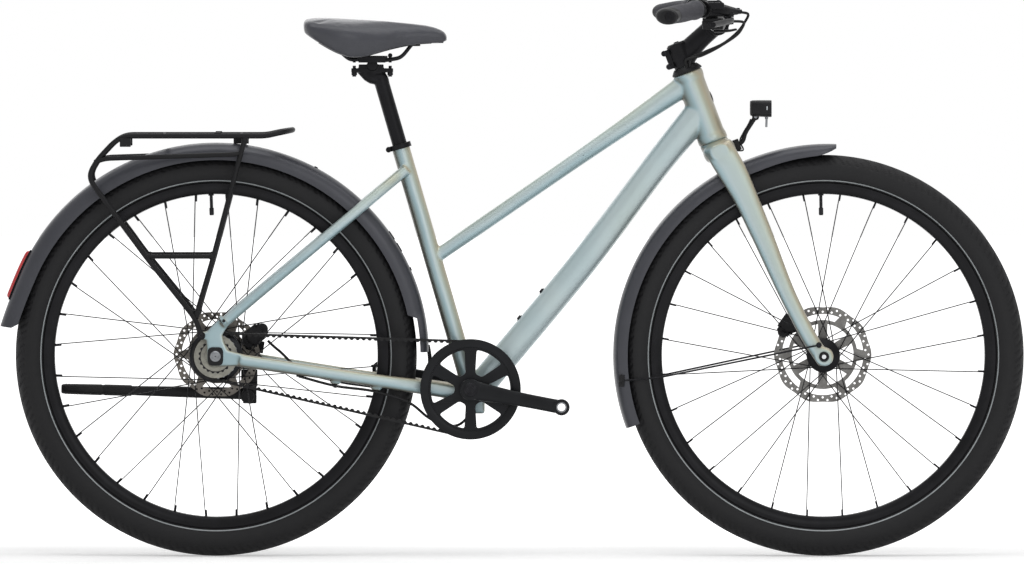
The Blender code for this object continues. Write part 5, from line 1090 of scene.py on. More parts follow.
# %% Both wheels
DISCS = {"rear": (REAR_AXLE, 0.08, 0.0522), "front": (FRONT_AXLE, 0.09, 0.0395)}
tyre("rear", REAR_AXLE)
rim("rear", REAR_AXLE, 97.4 - 5.6)
lacing("rear", REAR_AXLE, 16, 3, 0.0485, 0.031, 97.4)
brake_disc("rear", *DISCS["rear"])
shape = bmesh.new()
lathe(shape, [
    (0.0064, 0.0664), (0.015, 0.0664), (0.0168, 0.0645), (0.0168, 0.05), (0.0255, 0.05), (0.03, 0.046),
    (0.042, 0.037), (0.0485, 0.0335), (0.0485, 0.0287), (0.046, 0.0272), (0.0418, 0.0258), (0.0412, 0.02),
    (0.0412, -0.02), (0.0418, -0.0258), (0.046, -0.0272), (0.0485, -0.0287), (0.0485, -0.0335),
    (0.044, -0.035), (0.03, -0.0372), (0.0064, -0.0374),
], REAR_AXLE, steps=128)
piece("rear_hub_shell", shape, "rear_wheel", hub_black, ["rear_hub"], bevel=0.0006)
tyre("front", FRONT_AXLE)
rim("front", FRONT_AXLE, 90.9)
lacing("front", FRONT_AXLE, 14, 2, 0.0305, 0.026, 97.0)
brake_disc("front", *DISCS["front"])
shape = bmesh.new()
lathe(shape, [
    (0.0064, 0.0494), (0.015, 0.0494), (0.0168, 0.0474), (0.0168, 0.0373), (0.025, 0.0373), (0.0262, 0.035),
    (0.03, 0.029), (0.0305, 0.0285), (0.0305, 0.024), (0.0285, 0.0225), (0.0262, 0.021), (0.0258, 0.015),
    (0.0258, -0.015), (0.0262, -0.021), (0.0285, -0.0225), (0.0305, -0.024), (0.0305, -0.0285),
    (0.027, -0.031), (0.018, -0.0375), (0.0132, -0.04), (0.0132, -0.0494), (0.0064, -0.0494),
], FRONT_AXLE, steps=128)
piece("front_hub_shell", shape, "front_wheel", alloy_black, ["front_hub"], bevel=0.0006)

# %% [markdown]
# Fenders are thin moulded shells that follow the tyre. Each is swept round its axle from one
# rounded cross-section with a rolled edge, so the tail can lift off the tyre and the front tip
# can rise, as they do in the photograph.

# %% Fender shell
FENDER_SHAPE = [
    (1.0, 0.0), (1.0, 0.22), (0.975, 0.42), (0.9, 0.62), (0.78, 0.78), (0.6, 0.895), (0.38, 0.965),
    (0.0, 1.0),
]
FENDER_WALL = 0.0011
FENDER_END = 172.2
FRONT_FENDER = (86.5, 200.3)


def fender_section(centre, degrees, crown, skirt, half=0.032):
    """Outer line and inner line of one cross-section, as a closed ring."""
    ring = []
    for grow in (FENDER_WALL, -FENDER_WALL):
        line = [
            (share * (half + grow), skirt + (crown + grow - skirt) * rise) for share, rise in FENDER_SHAPE
        ]
        both = [(-y, r) for y, r in line] + [(y, r) for y, r in line[-2::-1]]
        ring += both if grow > 0 else both[::-1]
    return [polar(centre, radius, degrees, y) for y, radius in ring]


def rear_flare(degrees):
    """How far the rear fender's tail stands off the tyre."""
    return 0.0098 * max(0.0, 1 - (FENDER_END - degrees) / 16.0) ** 2


crown = 0.3903
shape = bmesh.new()
rings = [fender_section(REAR_AXLE, 1.0 + i * 0.8, crown, crown - 0.0145) for i in range(13)]
rings += [
    fender_section(REAR_AXLE, 10.6 + i * 0.35, crown, crown - 0.0145 - 0.0158 * min(1.0, i / 4.0))
    for i in range(1, 5)
]
count = 130
for i in range(1, count + 1):
    angle = 12.0 + (FENDER_END - 12.0) * i / count
    flare = rear_flare(angle)
    end = max(0.0, 1 - (FENDER_END - angle) / 1.6)
    rings.append(fender_section(REAR_AXLE, angle, crown + flare, 0.36 + flare + 0.01 * end ** 3))
skin(shape, rings)
piece("rear_fender_shell", shape, "frame", fender_grey, ["rear_fender"], bevel=0.0006)

shape = bmesh.new()
rings = []
count = 100
for i in range(count + 1):
    angle = FRONT_FENDER[0] + (FRONT_FENDER[1] - FRONT_FENDER[0]) * i / count
    lift = max(0.0, 1.0 - 5 * i / count)
    end = max(0.0, 1 - (angle - FRONT_FENDER[0]) / 6.0) ** 2
    narrow = 0.032 - 0.01 * end ** 2
    rings.append(fender_section(
        FRONT_AXLE, angle, 0.3856 + 0.003 * lift, 0.36 + 0.01 * lift + 0.012 * end, narrow,
    ))
skin(shape, rings)
piece("front_fender_shell", shape, "steering", fender_grey, ["front_fender"],
    bevel=0.0006)

# %% [markdown]
# What holds the fenders: a bracket on the rack and a strap at the chainstay bridge behind, a
# bracket at the fork crown and two thin wire stays in front, each in a plastic clip.

# %% Fender hardware
shape = bmesh.new()
block(shape, REAR_AXLE + side(0.0461, 0.395), (0.028, 0.011, 0.0105))
block(shape, REAR_AXLE + side(0.0461, 0.4), (0.016, 0.014, 0.0012))
end = polar(REAR_AXLE, crown, 1.0)
wire(shape, bent([
    end + side(-0.001, 0.012), end + side(0.003, -0.01), REAR_BRIDGE + side(-0.0095, 0.006),
]), 0.0038)
block(shape, REAR_BRIDGE - side(0.0083, 0.0), (0.0036, 0.0135, 0.0155))
piece("rear_fender_mounts", shape, "frame", powder_black, bevel=0.0007)
shape = bmesh.new()
for angle in (24.0, 62.0):
    spot = polar(REAR_AXLE, crown + 0.001, angle)
    bolt(shape, spot, spot - REAR_AXLE, 0.0036, 0.0016)
for angle in (30.6, 34.4):
    block(shape, polar(REAR_AXLE, crown + 0.0012, angle), (0.002, 0.012, 0.018), math.radians(angle))
piece("rear_fender_bolts", shape, "frame", bolt_black)

eyelet = FRONT_AXLE + side(-0.0094, 0.0215)
grip_point = polar(FRONT_AXLE, 0.374, 187.0)
shape = bmesh.new()
clips = bmesh.new()
for sign in (-1, 1):
    wire(shape, bent([
        eyelet + ACROSS * (sign * 0.0725), eyelet + side(-0.02, -0.004, sign * 0.0725),
        FRONT_AXLE + side(-0.3, -0.039, sign * 0.04), grip_point + ACROSS * (sign * 0.0322),
        polar(FRONT_AXLE, 0.379, 187.2, sign * 0.0335),
    ]), 0.0017, 12)
    collar(shape, eyelet + ACROSS * (sign * 0.0722), ACROSS, 0.0012, 0.004, 0.003)
    block(clips, grip_point + ACROSS * (sign * 0.0335), (0.01, 0.0046, 0.022), math.radians(-3))
    drum(clips, grip_point + ACROSS * (sign * 0.0355) + side(-0.001, 0.0), ACROSS, 0.0036, 0.0016, 24)
piece("front_fender_stays", shape, "steering", bolt_black)
foot = on_steering_axis(-0.0483) + HEAD_FORWARD * 0.01
block(clips, foot, (0.013, 0.015, 0.019), HEAD_LEAN)
piece("front_fender_clips", clips, "steering", moulded_black, bevel=0.0009)

# %% [markdown]
# The tail light is a red moulded lens on a thin black base. The lens has fine ribs inside,
# which show as steps in its surface.

# %% Tail light
red_lens = make_finish(
    "red_lens", "cf2a2c", "b81f24", 0.18, 0.08, clouds=40.0, grain=700.0, bump=0.1, coat=0.7,
    coat_roughness=0.08,
)
shape = bmesh.new()
rings = []
steps = 56
for i in range(steps + 1):
    angle = 150.8 + 13.7 * i / steps
    ends = min(i, steps - i) / 5
    round_off = math.sqrt(max(0.0, 1 - (1 - min(1.0, ends)) ** 2))
    wide, high = 0.0085 + 0.0028 * round_off, 0.002 + 0.0042 * round_off
    base = 0.3927 + rear_flare(angle)
    rib = 0.00035 * (i % 2) * round_off
    half = [(wide, base), (wide, base + high * 0.55), (wide * 0.86, base + high * 0.88),
        (wide * 0.5, base + high)]
    section = [(-y, r - rib) for y, r in half] + [(y, r - rib) for y, r in half[::-1]]
    rings.append([polar(REAR_AXLE, r, angle, y) for y, r in section])
skin(shape, rings)
piece("tail_light_lens", shape, "frame", red_lens, ["tail_light"])
shape = bmesh.new()
rings = []
for i in range(29):
    angle = 150.4 + 14.5 * i / 28
    base = 0.3914 + rear_flare(angle)
    rings.append([
        polar(REAR_AXLE, base + r, angle, y)
        for y, r in ((-0.012, 0.0), (-0.012, 0.002), (0.012, 0.002), (0.012, 0.0))
    ])
skin(shape, rings)
piece("tail_light_base", shape, "frame", moulded_black, bevel=0.0005)

# %% [markdown]
# The rack is bent and welded from solid rod. Each rod keeps straight runs with tight round
# bends, and a small collar of weld sits at each joint. Its powder coat is black and slightly
# rough.

# %% Rack
shape = bmesh.new()
HALF, LEVEL, FOOT = 0.057, 0.405, 0.0811
loop = []
for sign in (-1, 1):
    wide = sign * HALF
    loop.append([REAR_AXLE + side(*p) for p in (
        (0.1406, LEVEL + 0.01, sign * 0.018), (0.1301, LEVEL + 0.008, wide * 0.75),
        (0.1141, LEVEL + 0.005, wide), (0.0921, LEVEL, wide), (-0.1654, LEVEL, wide),
        (-0.1849, LEVEL - 0.01, wide),
        (-0.2159, LEVEL - 0.043, wide), (-0.2304, LEVEL - 0.068, wide), (-0.2279, LEVEL - 0.085, wide),
        (-0.1268, 0.1828, wide * 1.18), (-0.0559, 0.095, sign * 0.0765), (-0.0359, 0.069, sign * FOOT),
        (-0.0259, 0.039, sign * FOOT),
    )])
wire(shape, bent(loop[0][::-1] + loop[1], 0.014), 0.005)
for sign in (-1, 1):
    wide = sign * HALF
    apart = wide + sign * 0.004
    runs = [
        ([(0.0551, LEVEL, wide), (-0.0053, 0.1777, wide * 1.18), (-0.0319, 0.087, sign * 0.0765),
          (-0.0349, 0.071, sign * 0.0806)], 0.0047),
        ([(-0.2219, LEVEL - 0.048, wide), (-0.2015, LEVEL - 0.0415, apart), (0.0361, LEVEL - 0.0338, apart),
          (0.0451, LEVEL - 0.032, wide)], 0.0044),
        ([(-0.1269, 0.184, wide * 1.18), (-0.0049, 0.184, wide * 1.18)], 0.0043),
    ]
    for points, radius in runs:
        wire(shape, bent([REAR_AXLE + side(*p) for p in points], 0.01), radius)
    for place, heading, radius in (
        ((0.054, LEVEL - 0.006, wide), (0.26, 0.97), 0.0058),
        ((-0.1255, 0.184, wide * 1.18), (1, 0), 0.0052),
        ((-0.007, 0.184, wide * 1.18), (1, 0), 0.0052), ((-0.034, 0.08, sign * 0.079), (0.2, 0.97), 0.006),
    ):
        drum(shape, REAR_AXLE + side(*place), side(*heading), radius, 0.0045, 24)
    drum(shape, REAR_AXLE + side(-0.0259, 0.039, sign * 0.08045), ACROSS, 0.0075, 0.0046, 40)
for ahead in (0.0461, -0.0959):
    drum(shape, REAR_AXLE + side(ahead, LEVEL), ACROSS, 0.004, HALF, 24)
block(shape, REAR_AXLE + side(0.0461, LEVEL - 0.0028), (0.03, 0.02, 0.0022))
piece("rack_rods", shape, "frame", powder_black, ["rack"], bevel=0.0005)

shape = bmesh.new()
for sign in (-1, 1):
    bolt(shape, REAR_AXLE + side(-0.0259, 0.039, sign * 0.085), ACROSS * sign, 0.0048, 0.0026)
for ahead in (0.0391, 0.0531):
    bolt(shape, REAR_AXLE + side(ahead, LEVEL - 0.0018), UP, 0.0034, 0.0018)
piece("rack_bolts", shape, "frame", bolt_black)
shape = bmesh.new()
for x, z, size in ((0.004, 0.0048, (0.012, 0.01, 0.0034)), (-0.1655, -0.012, (0.02, 0.016, 0.016))):
    for sign in (-1, 1):
        block(shape, REAR_AXLE + side(x, LEVEL + z, sign * HALF * 0.96), size)
piece("rack_lugs", shape, "frame", moulded_black, bevel=0.001)

# %% [markdown]
# The toothed belt runs in a straight line from the front sprocket to the rear one and back.
# Its line is worked out from the two pitch circles and their common tangents, then walked in
# equal steps so that every tooth has the same pitch and the two ends meet.

# %% Belt
PITCH, BELT_Y = 0.011, -0.047
FRONT_PITCH_RADIUS = 50 * PITCH / (2 * math.pi)
REAR_PITCH_RADIUS = 24 * PITCH / (2 * math.pi)


def belt_line():
    """The closed pitch line of the belt as evenly spaced (place, outward direction) pairs."""
    gap = BOTTOM_BRACKET - REAR_AXLE
    heading = math.atan2(gap.z, gap.x)
    lean = math.asin((FRONT_PITCH_RADIUS - REAR_PITCH_RADIUS) / gap.length)
    upper, lower = heading + math.pi / 2 + lean, heading - math.pi / 2 - lean
    line = []
    for centre, radius, start, end in (
        (BOTTOM_BRACKET, FRONT_PITCH_RADIUS, lower, upper),
        (REAR_AXLE, REAR_PITCH_RADIUS, upper, lower + 2 * math.pi),
    ):
        count = 160
        for i in range(count + 1):
            angle = start + (end - start) * i / count
            out = side(math.cos(angle), math.sin(angle))
            line.append((centre + out * radius, out))
    line.append(line[0])
    lengths = [0.0]
    for (a, _), (b, _) in zip(line, line[1:]):
        lengths.append(lengths[-1] + (b - a).length)
    total = lengths[-1]
    teeth = round(total / PITCH)
    steps = teeth * 8
    made, at = [], 0
    for step in range(steps):
        wanted = total * step / steps
        while lengths[at + 1] < wanted:
            at += 1
        share = (wanted - lengths[at]) / (lengths[at + 1] - lengths[at])
        (a, out_a), (b, out_b) = line[at], line[at + 1]
        made.append((a.lerp(b, share), out_a.lerp(out_b, share).normalized(), step % 8))
    print("belt teeth:", teeth)
    return made


shape = bmesh.new()
rings = []
for spot, out, phase in belt_line():
    depth = (-0.0013, -0.0013, -0.002, -0.004, -0.0042, -0.0042, -0.004, -0.002)[phase]
    back, foot = 0.0022, -0.0012
    rings.append([
        spot + out * back + ACROSS * (BELT_Y - 0.0059), spot + out * back + ACROSS * (BELT_Y + 0.0059),
        spot + out * foot + ACROSS * (BELT_Y + 0.0059), spot + out * depth + ACROSS * (BELT_Y + 0.0055),
        spot + out * depth + ACROSS * (BELT_Y - 0.0055), spot + out * foot + ACROSS * (BELT_Y - 0.0059),
    ])
skin(shape, rings, looped=True)
piece("toothed_belt", shape, "frame", belt_rubber, ["drive_belt"], sharp=45.0)

# %% [markdown]
# Sprockets are cut from thick plate: teeth outside, windows inside. The front one has six arms
# that taper towards the rim and a thin guard plate outside its teeth. The rear one sits on a
# steel driver with a bright dished face.

# %% Sprockets
def toothed(centre, teeth, tip, root):
    outline = []
    for i in range(teeth):
        for share, radius in (
            (0.0, root), (0.1, root), (0.26, tip), (0.44, tip + 0.0003), (0.62, tip), (0.78, root),
        ):
            spot = polar(centre, radius, 360.0 * (i + share) / teeth)
            outline.append((spot.x, spot.z))
    return outline


def rounded(corners, reach=0.006, steps=5):
    """A closed outline with its corners rounded."""
    made = []
    for before, here, after in zip(corners[-1:] + corners[:-1], corners, corners[1:] + corners[:1]):
        before, here, after = (Vector((c[0], 0.0, c[1])) for c in (before, here, after))
        start = here + (before - here).normalized() * min(reach, (before - here).length * 0.45)
        end = here + (after - here).normalized() * min(reach, (after - here).length * 0.45)
        for step in range(steps + 1):
            t = step / steps
            spot = start * (1 - t) ** 2 + here * (2 * t * (1 - t)) + end * t ** 2
            made.append((spot.x, spot.z))
    return made


shape = bmesh.new()
windows = [ring_of(BOTTOM_BRACKET, 0.013, 48)]
for i in range(6):
    middle = 120.0 + 60.0 * i
    corners = [polar(BOTTOM_BRACKET, 0.073, middle + spread) for spread in (-21, -14, -7, 0, 7, 14, 21)]
    corners += [polar(BOTTOM_BRACKET, 0.03, middle + spread) for spread in (13, -13)]
    windows.append(rounded([(c.x, c.z) for c in corners], 0.005))
plate(shape, toothed(BOTTOM_BRACKET, 50, 0.0861, 0.0833), 0.0115, BELT_Y, windows)
piece("front_sprocket_ring", shape, "crank", crank_black, ["front_sprocket"], bevel=0.0005,
    sharp=28.0)
shape = bmesh.new()
lathe(shape, [
    (0.0924, -0.0536), (0.0924, -0.0551), (0.0915, -0.0558), (0.0792, -0.0558), (0.0768, -0.0548),
    (0.0765, -0.0516), (0.079, -0.0516), (0.08, -0.0536),
], BOTTOM_BRACKET, steps=160)
piece("belt_guard", shape, "crank", crank_black, bevel=0.0003)

shape = bmesh.new()
plate(shape, toothed(REAR_AXLE, 24, 0.0407, 0.0379), 0.0115, BELT_Y, [ring_of(REAR_AXLE, 0.0185, 48)])
lathe(shape, [(0.0066, -0.0378), (0.027, -0.0378), (0.027, -0.05), (0.0066, -0.05)], REAR_AXLE)
piece("rear_sprocket_ring", shape, "rear_sprocket", bolt_steel, ["rear_sprocket"], bevel=0.0005,
    sharp=28.0)
shape = bmesh.new()
lathe(shape, [
    (0.025, -0.053), (0.0392, -0.053), (0.04, -0.0538), (0.04, -0.0546), (0.038, -0.055), (0.029, -0.0548),
    (0.027, -0.0555), (0.02, -0.056), (0.0196, -0.0622), (0.015, -0.0625), (0.0066, -0.0625),
    (0.0066, -0.053),
], REAR_AXLE, steps=128)
driver_steel = make_finish(
    "driver_steel", "7f7e76", "5f5f5a", 0.38, 0.15, 0.85, clouds=90.0, bump=0.25, rings=REAR_AXLE
)
piece("rear_driver_face", shape, "rear_sprocket", driver_steel, bevel=0.0003)
shape = bmesh.new()
plate(shape, toothed(REAR_AXLE, 20, 0.0314, 0.0292), 0.0012, -0.0548, [ring_of(REAR_AXLE, 0.0276, 64)])
piece("rear_driver_groove", shape, "rear_sprocket", bolt_black)

# %% [markdown]
# The crank arms are forged: a broad boss round the spindle, an arm that thins and narrows, and
# a round eye with a thread for the pedal. A cap covers the bolt. No pedals are fitted, as in the
# photograph.

# %% Cranks
CRANK_TURN = math.radians(-10.8)
CRANK_REACH = 0.17
EYE_OUT = 0.081


def crank_arm(name, node_name, sign, turn, spindle):
    reach = side(math.cos(turn), math.sin(turn))
    up = side(-math.sin(turn), math.cos(turn))
    outward = ACROSS * sign

    def fill(shape):
        sweep(shape, [
            (BOTTOM_BRACKET + reach * d + outward * y, thick, deep) for d, y, thick, deep in (
                (-0.004, 0.0722, 0.0078, 0.018), (0.03, 0.0735, 0.0075, 0.016),
                (0.085, 0.077, 0.0066, 0.0132), (0.14, 0.0805, 0.0065, 0.0126),
                (0.172, 0.0812, 0.0065, 0.0128),
            )
        ], squareness=0.6)
        drum(shape, BOTTOM_BRACKET + outward * 0.068, ACROSS, 0.0195, 0.0125)
        drum(shape, BOTTOM_BRACKET + reach * CRANK_REACH + outward * 0.0811, ACROSS, 0.015, 0.0068)

    eye = BOTTOM_BRACKET + reach * CRANK_REACH + outward * EYE_OUT
    cutters = [
        plug(eye, ACROSS, 0.00715, 0.02), plug(BOTTOM_BRACKET + outward * 0.084, ACROSS, 0.013, 0.004),
    ]
    finished(melted(name, fill, grid(0.0009), 3, cutters), "crank", crank_black, [node_name])
    shape = bmesh.new()
    if spindle:
        drum(shape, BOTTOM_BRACKET, ACROSS, 0.0119, 0.0765)
    for ring_y in (0.0746, 0.0879):
        collar(shape, eye + outward * (ring_y - EYE_OUT), ACROSS, 0.0075, 0.0094, 0.0004, 48)
    piece(name + "_steel", shape, "crank", bolt_steel, bevel=0.0002)
    shape = bmesh.new()
    cap = BOTTOM_BRACKET + outward * 0.0796
    lathe(shape, [
        (0.0128, -0.0004), (0.0128, 0.0012), (0.0118, 0.002), (0.0066, 0.002), (0.0062, 0.0006),
        (0.001, 0.0006), (0.001, -0.0004),
    ], cap, outward, 64)
    for i in range(6):
        angle = math.pi * i / 3
        out = reach * math.cos(angle) + up * math.sin(angle)
        drum(shape, cap + out * 0.0092 + outward * 0.0021, ACROSS, 0.0012, 0.0004, 12)
    piece(name + "_cap", shape, "crank", bolt_black)


crank_arm("right_forged_arm", "right_crank_arm", -1, CRANK_TURN, True)
crank_arm("left_forged_arm", "left_crank_arm", 1, CRANK_TURN + math.pi, False)

# %% [markdown]
# Calipers straddle the discs. Each is two halves bolted together, with a domed piston cover
# and a banjo where the hose screws in. Their room for the disc stays open: the only bridge
# between the halves lies outside the disc's edge.

# %% Calipers
def caliper(end, body, centre, turn, size):
    name, (axle, disc_radius, _) = end + "_caliper_body", DISCS[end]
    along = side(math.cos(turn), math.sin(turn))
    length, depth, high = size
    shape = bmesh.new()
    half_gap = 0.0022
    for half_sign in (-1, 1):
        thick = depth / 2 - half_gap
        middle = centre + ACROSS * (half_sign * (half_gap + thick / 2))
        block(shape, middle, (length * 0.86, thick, high * 0.8), turn)
        block(shape, middle, (length * 0.6, thick, high), turn)
        drum(shape, middle + ACROSS * (half_sign * thick * 0.2), ACROSS, high * 0.46, thick * 0.62, 48)
        for way in (-1, 1):
            drum(shape, middle + along * (way * length * 0.36), ACROSS, high * 0.33, thick * 0.52, 40)
    reach = centre - axle
    outward = math.degrees(math.atan2(reach.z, reach.x))
    bridge = polar(axle, disc_radius + 0.0045, outward, centre.y)
    block(shape, bridge, (0.006, depth * 0.8, 0.018), math.radians(outward))
    piece(name, shape, body, moulded_black, [end + "_caliper"], bevel=0.0012)
    shape = bmesh.new()
    for shift in (-0.36, 0.36):
        bolt(shape, centre + along * (length * shift) - ACROSS * (depth * 0.46), -ACROSS, 0.0036, 0.0026)
    drum(shape, centre + along * (length * 0.4) - ACROSS * (depth * 0.3), along, 0.004, 0.005, 32)
    piece(name + "_bolts", shape, body, bolt_black)


rear_spot = REAR_AXLE + side(0.07, 0.035, 0.0522)
caliper("rear", "frame", rear_spot, math.radians(40), (0.048, 0.029, 0.033))
shape = bmesh.new()
block(shape, REAR_AXLE + side(0.0655, 0.015, 0.0665), (0.042, 0.006, 0.022), math.radians(-8.8))
bolt(shape, REAR_AXLE + side(0.05, 0.017, 0.064), -ACROSS, 0.0042, 0.0026)
bolt(shape, REAR_AXLE + side(0.082, 0.012, 0.064), -ACROSS, 0.0042, 0.0026)
piece("rear_caliper_mount", shape, "frame", alloy_black, bevel=0.001)
front_spot = FRONT_AXLE + side(-0.063, 0.056, 0.0395)
caliper("front", "steering", front_spot, math.radians(55), (0.048, 0.0185, 0.031))
shape = bmesh.new()
block(shape, front_spot + side(0.013, 0.004, 0.0125), (0.026, 0.006, 0.036), math.radians(20))
bolt(shape, front_spot + side(0.01, 0.015, 0.009), -ACROSS, 0.004, 0.0026)
bolt(shape, front_spot + side(0.01, -0.012, 0.009), -ACROSS, 0.004, 0.0026)
piece("front_caliper_mount", shape, "steering", alloy_black, bevel=0.001)

# %% [markdown]
# Cables and hoses are smooth and held all the way: along the stays under small clips and into
# the frame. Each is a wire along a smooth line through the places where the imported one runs.

# %% Cables on the frame
shape = bmesh.new()
wire(shape, route([
    REAR_AXLE + side(0.094, 0.025, 0.0535), REAR_AXLE + side(0.099, 0.02, 0.052),
    REAR_AXLE + side(0.118, 0.004, 0.044), REAR_AXLE + side(0.15, -0.026, 0.048),
    stay_point(1, 0.42) + side(0.0, -0.0166), stay_point(1, 0.6) + side(0.0, -0.0166),
    stay_point(1, 0.72) + side(0.0, -0.0185),
]), 0.0025)
piece("rear_hose_run", shape, "frame", hose_black, ["rear_brake_hose"])
shape = bmesh.new()
cable_line = [
    stay_point(-1, 0.26) + side(0.0, -0.013), stay_point(-1, 0.42) + side(0.0, -0.0207),
    stay_point(-1, 0.6) + side(0.0, -0.0207),
] + [BOTTOM_BRACKET + side(*place) for place in (
    (-0.1058, -0.0296, -0.036), (-0.0778, -0.0526, -0.033), (-0.0468, -0.0676, -0.028),
    (-0.0218, -0.0666, -0.02), (-0.0058, -0.0526, -0.012), (-0.001, -0.043, -0.005),
    (0.005, -0.043, -0.005),
)]
wire(shape, route(cable_line), 0.0025)
piece("gear_cable_run", shape, "frame", hose_black, ["gear_cable"])
shape = bmesh.new()
stay_heading = (STAY_FRONT - STAY_REAR).normalized()
for share in (0.42, 0.6):
    for sign, low in ((-1, -0.0207), (1, -0.0166)):
        collar(shape, stay_point(sign, share) + side(0.0, low), stay_heading, 0.0022, 0.0038, 0.003)
piece("cable_clips", shape, "frame", moulded_black, bevel=0.0003)

# %% [markdown]
# The headlight is a small moulded box with rounded corners and a clear lens over a bright
# reflector, on a slim curved arm from the fork crown. It tilts on a cross bolt.

# %% Headlight
foot = on_steering_axis(-0.021) + HEAD_FORWARD * 0.031
lamp_x, lamp_z = 0.448, 0.808002
LAMP_SQUARENESS = 0.45
shape = bmesh.new()
block(shape, foot + HEAD_FORWARD * 0.0066, (0.0125, 0.0155, 0.021), HEAD_LEAN)
arm = route([
    foot + HEAD_FORWARD * 0.008, side(lamp_x - 0.025, lamp_z - 0.046), side(lamp_x - 0.019, lamp_z - 0.03),
    side(lamp_x - 0.008, lamp_z - 0.012), side(lamp_x, lamp_z),
], 0.003)
wire(shape, arm, 0.0042)
drum(shape, side(lamp_x, lamp_z), ACROSS, 0.0065, 0.0049, 40)
piece("headlight_arm", shape, "steering", moulded_black, ["headlight_bracket"],
    bevel=0.0008)
shape = bmesh.new()
lamp_cable = route([
    foot + HEAD_FORWARD * 0.004 - HEAD_UP * 0.01 + ACROSS * -0.004,
    foot + HEAD_FORWARD * 0.014 - HEAD_UP * 0.013 + ACROSS * -0.005,
    side(lamp_x - 0.029, lamp_z - 0.044, -0.005), side(lamp_x - 0.0225, lamp_z - 0.029, -0.0052),
    side(lamp_x - 0.012, lamp_z - 0.011, -0.005), side(lamp_x - 0.009, lamp_z - 0.004, -0.0046),
], 0.003)
wire(shape, lamp_cable, 0.0014, 12)
piece("headlight_cable", shape, "steering", hose_black)

shape = bmesh.new()
skin(shape, [
    oval(side(lamp_x + x, lamp_z + z), ACROSS, UP, wide, high, 64, LAMP_SQUARENESS)
    for x, z, wide, high in (
        (-0.0104, 0.0158, 0.015, 0.0108), (-0.0098, 0.0157, 0.0185, 0.0134),
        (-0.006, 0.0156, 0.0235, 0.0146), (0.005, 0.0154, 0.0268, 0.0151),
        (0.018, 0.015, 0.0288, 0.0154), (0.029, 0.015, 0.0288, 0.0154),
        (0.029, 0.015, 0.027, 0.0138), (0.0262, 0.015, 0.0262, 0.0132), (0.0262, 0.015, 0.008, 0.004),
    )
])
for sign in (-1, 1):
    block(shape, side(lamp_x, lamp_z + 0.0025, sign * 0.0073), (0.01, 0.0038, 0.015))
    drum(shape, side(lamp_x, lamp_z, sign * 0.0092), ACROSS, 0.0042, 0.001, 32)
piece("headlight_case", shape, "headlight", moulded_black, ["headlight"], bevel=0.0006)
shape = bmesh.new()
skin(shape, [
    oval(side(lamp_x + x, lamp_z + 0.015), ACROSS, UP, wide, high, 64, LAMP_SQUARENESS)
    for x, wide, high in (
        (0.026, 0.0255, 0.0128), (0.0272, 0.026, 0.013), (0.0284, 0.024, 0.0112), (0.0289, 0.012, 0.005),
    )
])
for sign in (-1, 1):
    block(shape, side(lamp_x + 0.0205, lamp_z + 0.0165, sign * 0.0287), (0.0017, 0.0012, 0.0068))
lens_clear = make_finish(
    "lens_clear", "c9ced1", "aeb5b9", 0.12, 0.05, metallic=0.3, clouds=200.0, grain=500.0, bump=0.15,
    coat=1.0, coat_roughness=0.03,
)
piece("headlight_lens", shape, "headlight", lens_clear)
shape = bmesh.new()
for sign in (-1, 1):
    bolt(shape, side(lamp_x, lamp_z, sign * 0.0102), ACROSS * sign, 0.003, 0.0014)
drum(shape, side(lamp_x + 0.02, lamp_z - 0.0105), side(0.03, 1.0), 0.0021, 0.0085, 24)
drum(shape, side(lamp_x + 0.0202, lamp_z - 0.001), side(0.03, 1.0), 0.0031, 0.003, 24)
piece("headlight_pin", shape, "headlight", bolt_steel)

# %% [markdown]
# The kickstand swings on a slanted pin in a housing under the left stay. Its leg is a tapered
# alloy bar with a moulded sleeve and foot that sets its length.

# %% Kickstand
PIN = REAR_AXLE + side(0.0604, -0.074, 0.085)
SWING = Vector((-0.0119, -0.89, -0.4557)).normalized()
shape = bmesh.new()
x, y, z = PIN
block(shape, side(x, z + 0.002, y - 0.0225), (0.025, 0.013, 0.038))
block(shape, side(x - 0.001, z + 0.0292, y - 0.013), (0.03, 0.022, 0.031))
drum(shape, PIN + SWING * 0.013, SWING, 0.0128, 0.0038, 48)
drum(shape, side(x - 0.004, z - 0.004, y - 0.0225), ACROSS, 0.0125, 0.018, 48)
piece("kickstand_housing", shape, "frame", powder_black, ["kickstand_bracket"], bevel=0.0016)
shape = bmesh.new()
bolt(shape, side(x - 0.001, z + 0.044, y - 0.001), ACROSS, 0.004, 0.0024)
bolt(shape, side(x, z - 0.004, y - 0.029), -ACROSS, 0.0044, 0.0026)
piece("kickstand_bolts", shape, "frame", bolt_black)
stowed = side(-0.99966, 0.026)
level_up = stowed.cross(ACROSS)
shape = bmesh.new()
sweep(shape, [
    (PIN, 0.009, 0.0112), (PIN + stowed * 0.1, 0.0086, 0.0104), (PIN + stowed * 0.225, 0.0076, 0.0086),
], squareness=0.8)
drum(shape, PIN, SWING, 0.0115, 0.0086, 64)
piece("kickstand_bar", shape, "kickstand", powder_black, ["kickstand_leg"], bevel=0.0006)
shape = bmesh.new()
start = PIN + stowed * 0.218
profile = [
    (0.0, 0.0088), (0.002, 0.0102), (0.05, 0.0102), (0.052, 0.0094), (0.055, 0.0094), (0.057, 0.0102),
    (0.1, 0.0098), (0.122, 0.0094), (0.128, 0.0088), (0.1305, 0.007),
]
skin(shape, [oval(start + stowed * d, ACROSS, level_up, r, r, 40, 0.85) for d, r in profile])
for i in range(5):
    spot = start + stowed * (0.1 + 0.0055 * i)
    collar(shape, spot, stowed, 0.0085, 0.0101, 0.0007, 40)
piece("kickstand_sleeve", shape, "kickstand", moulded_black, bevel=0.0003)

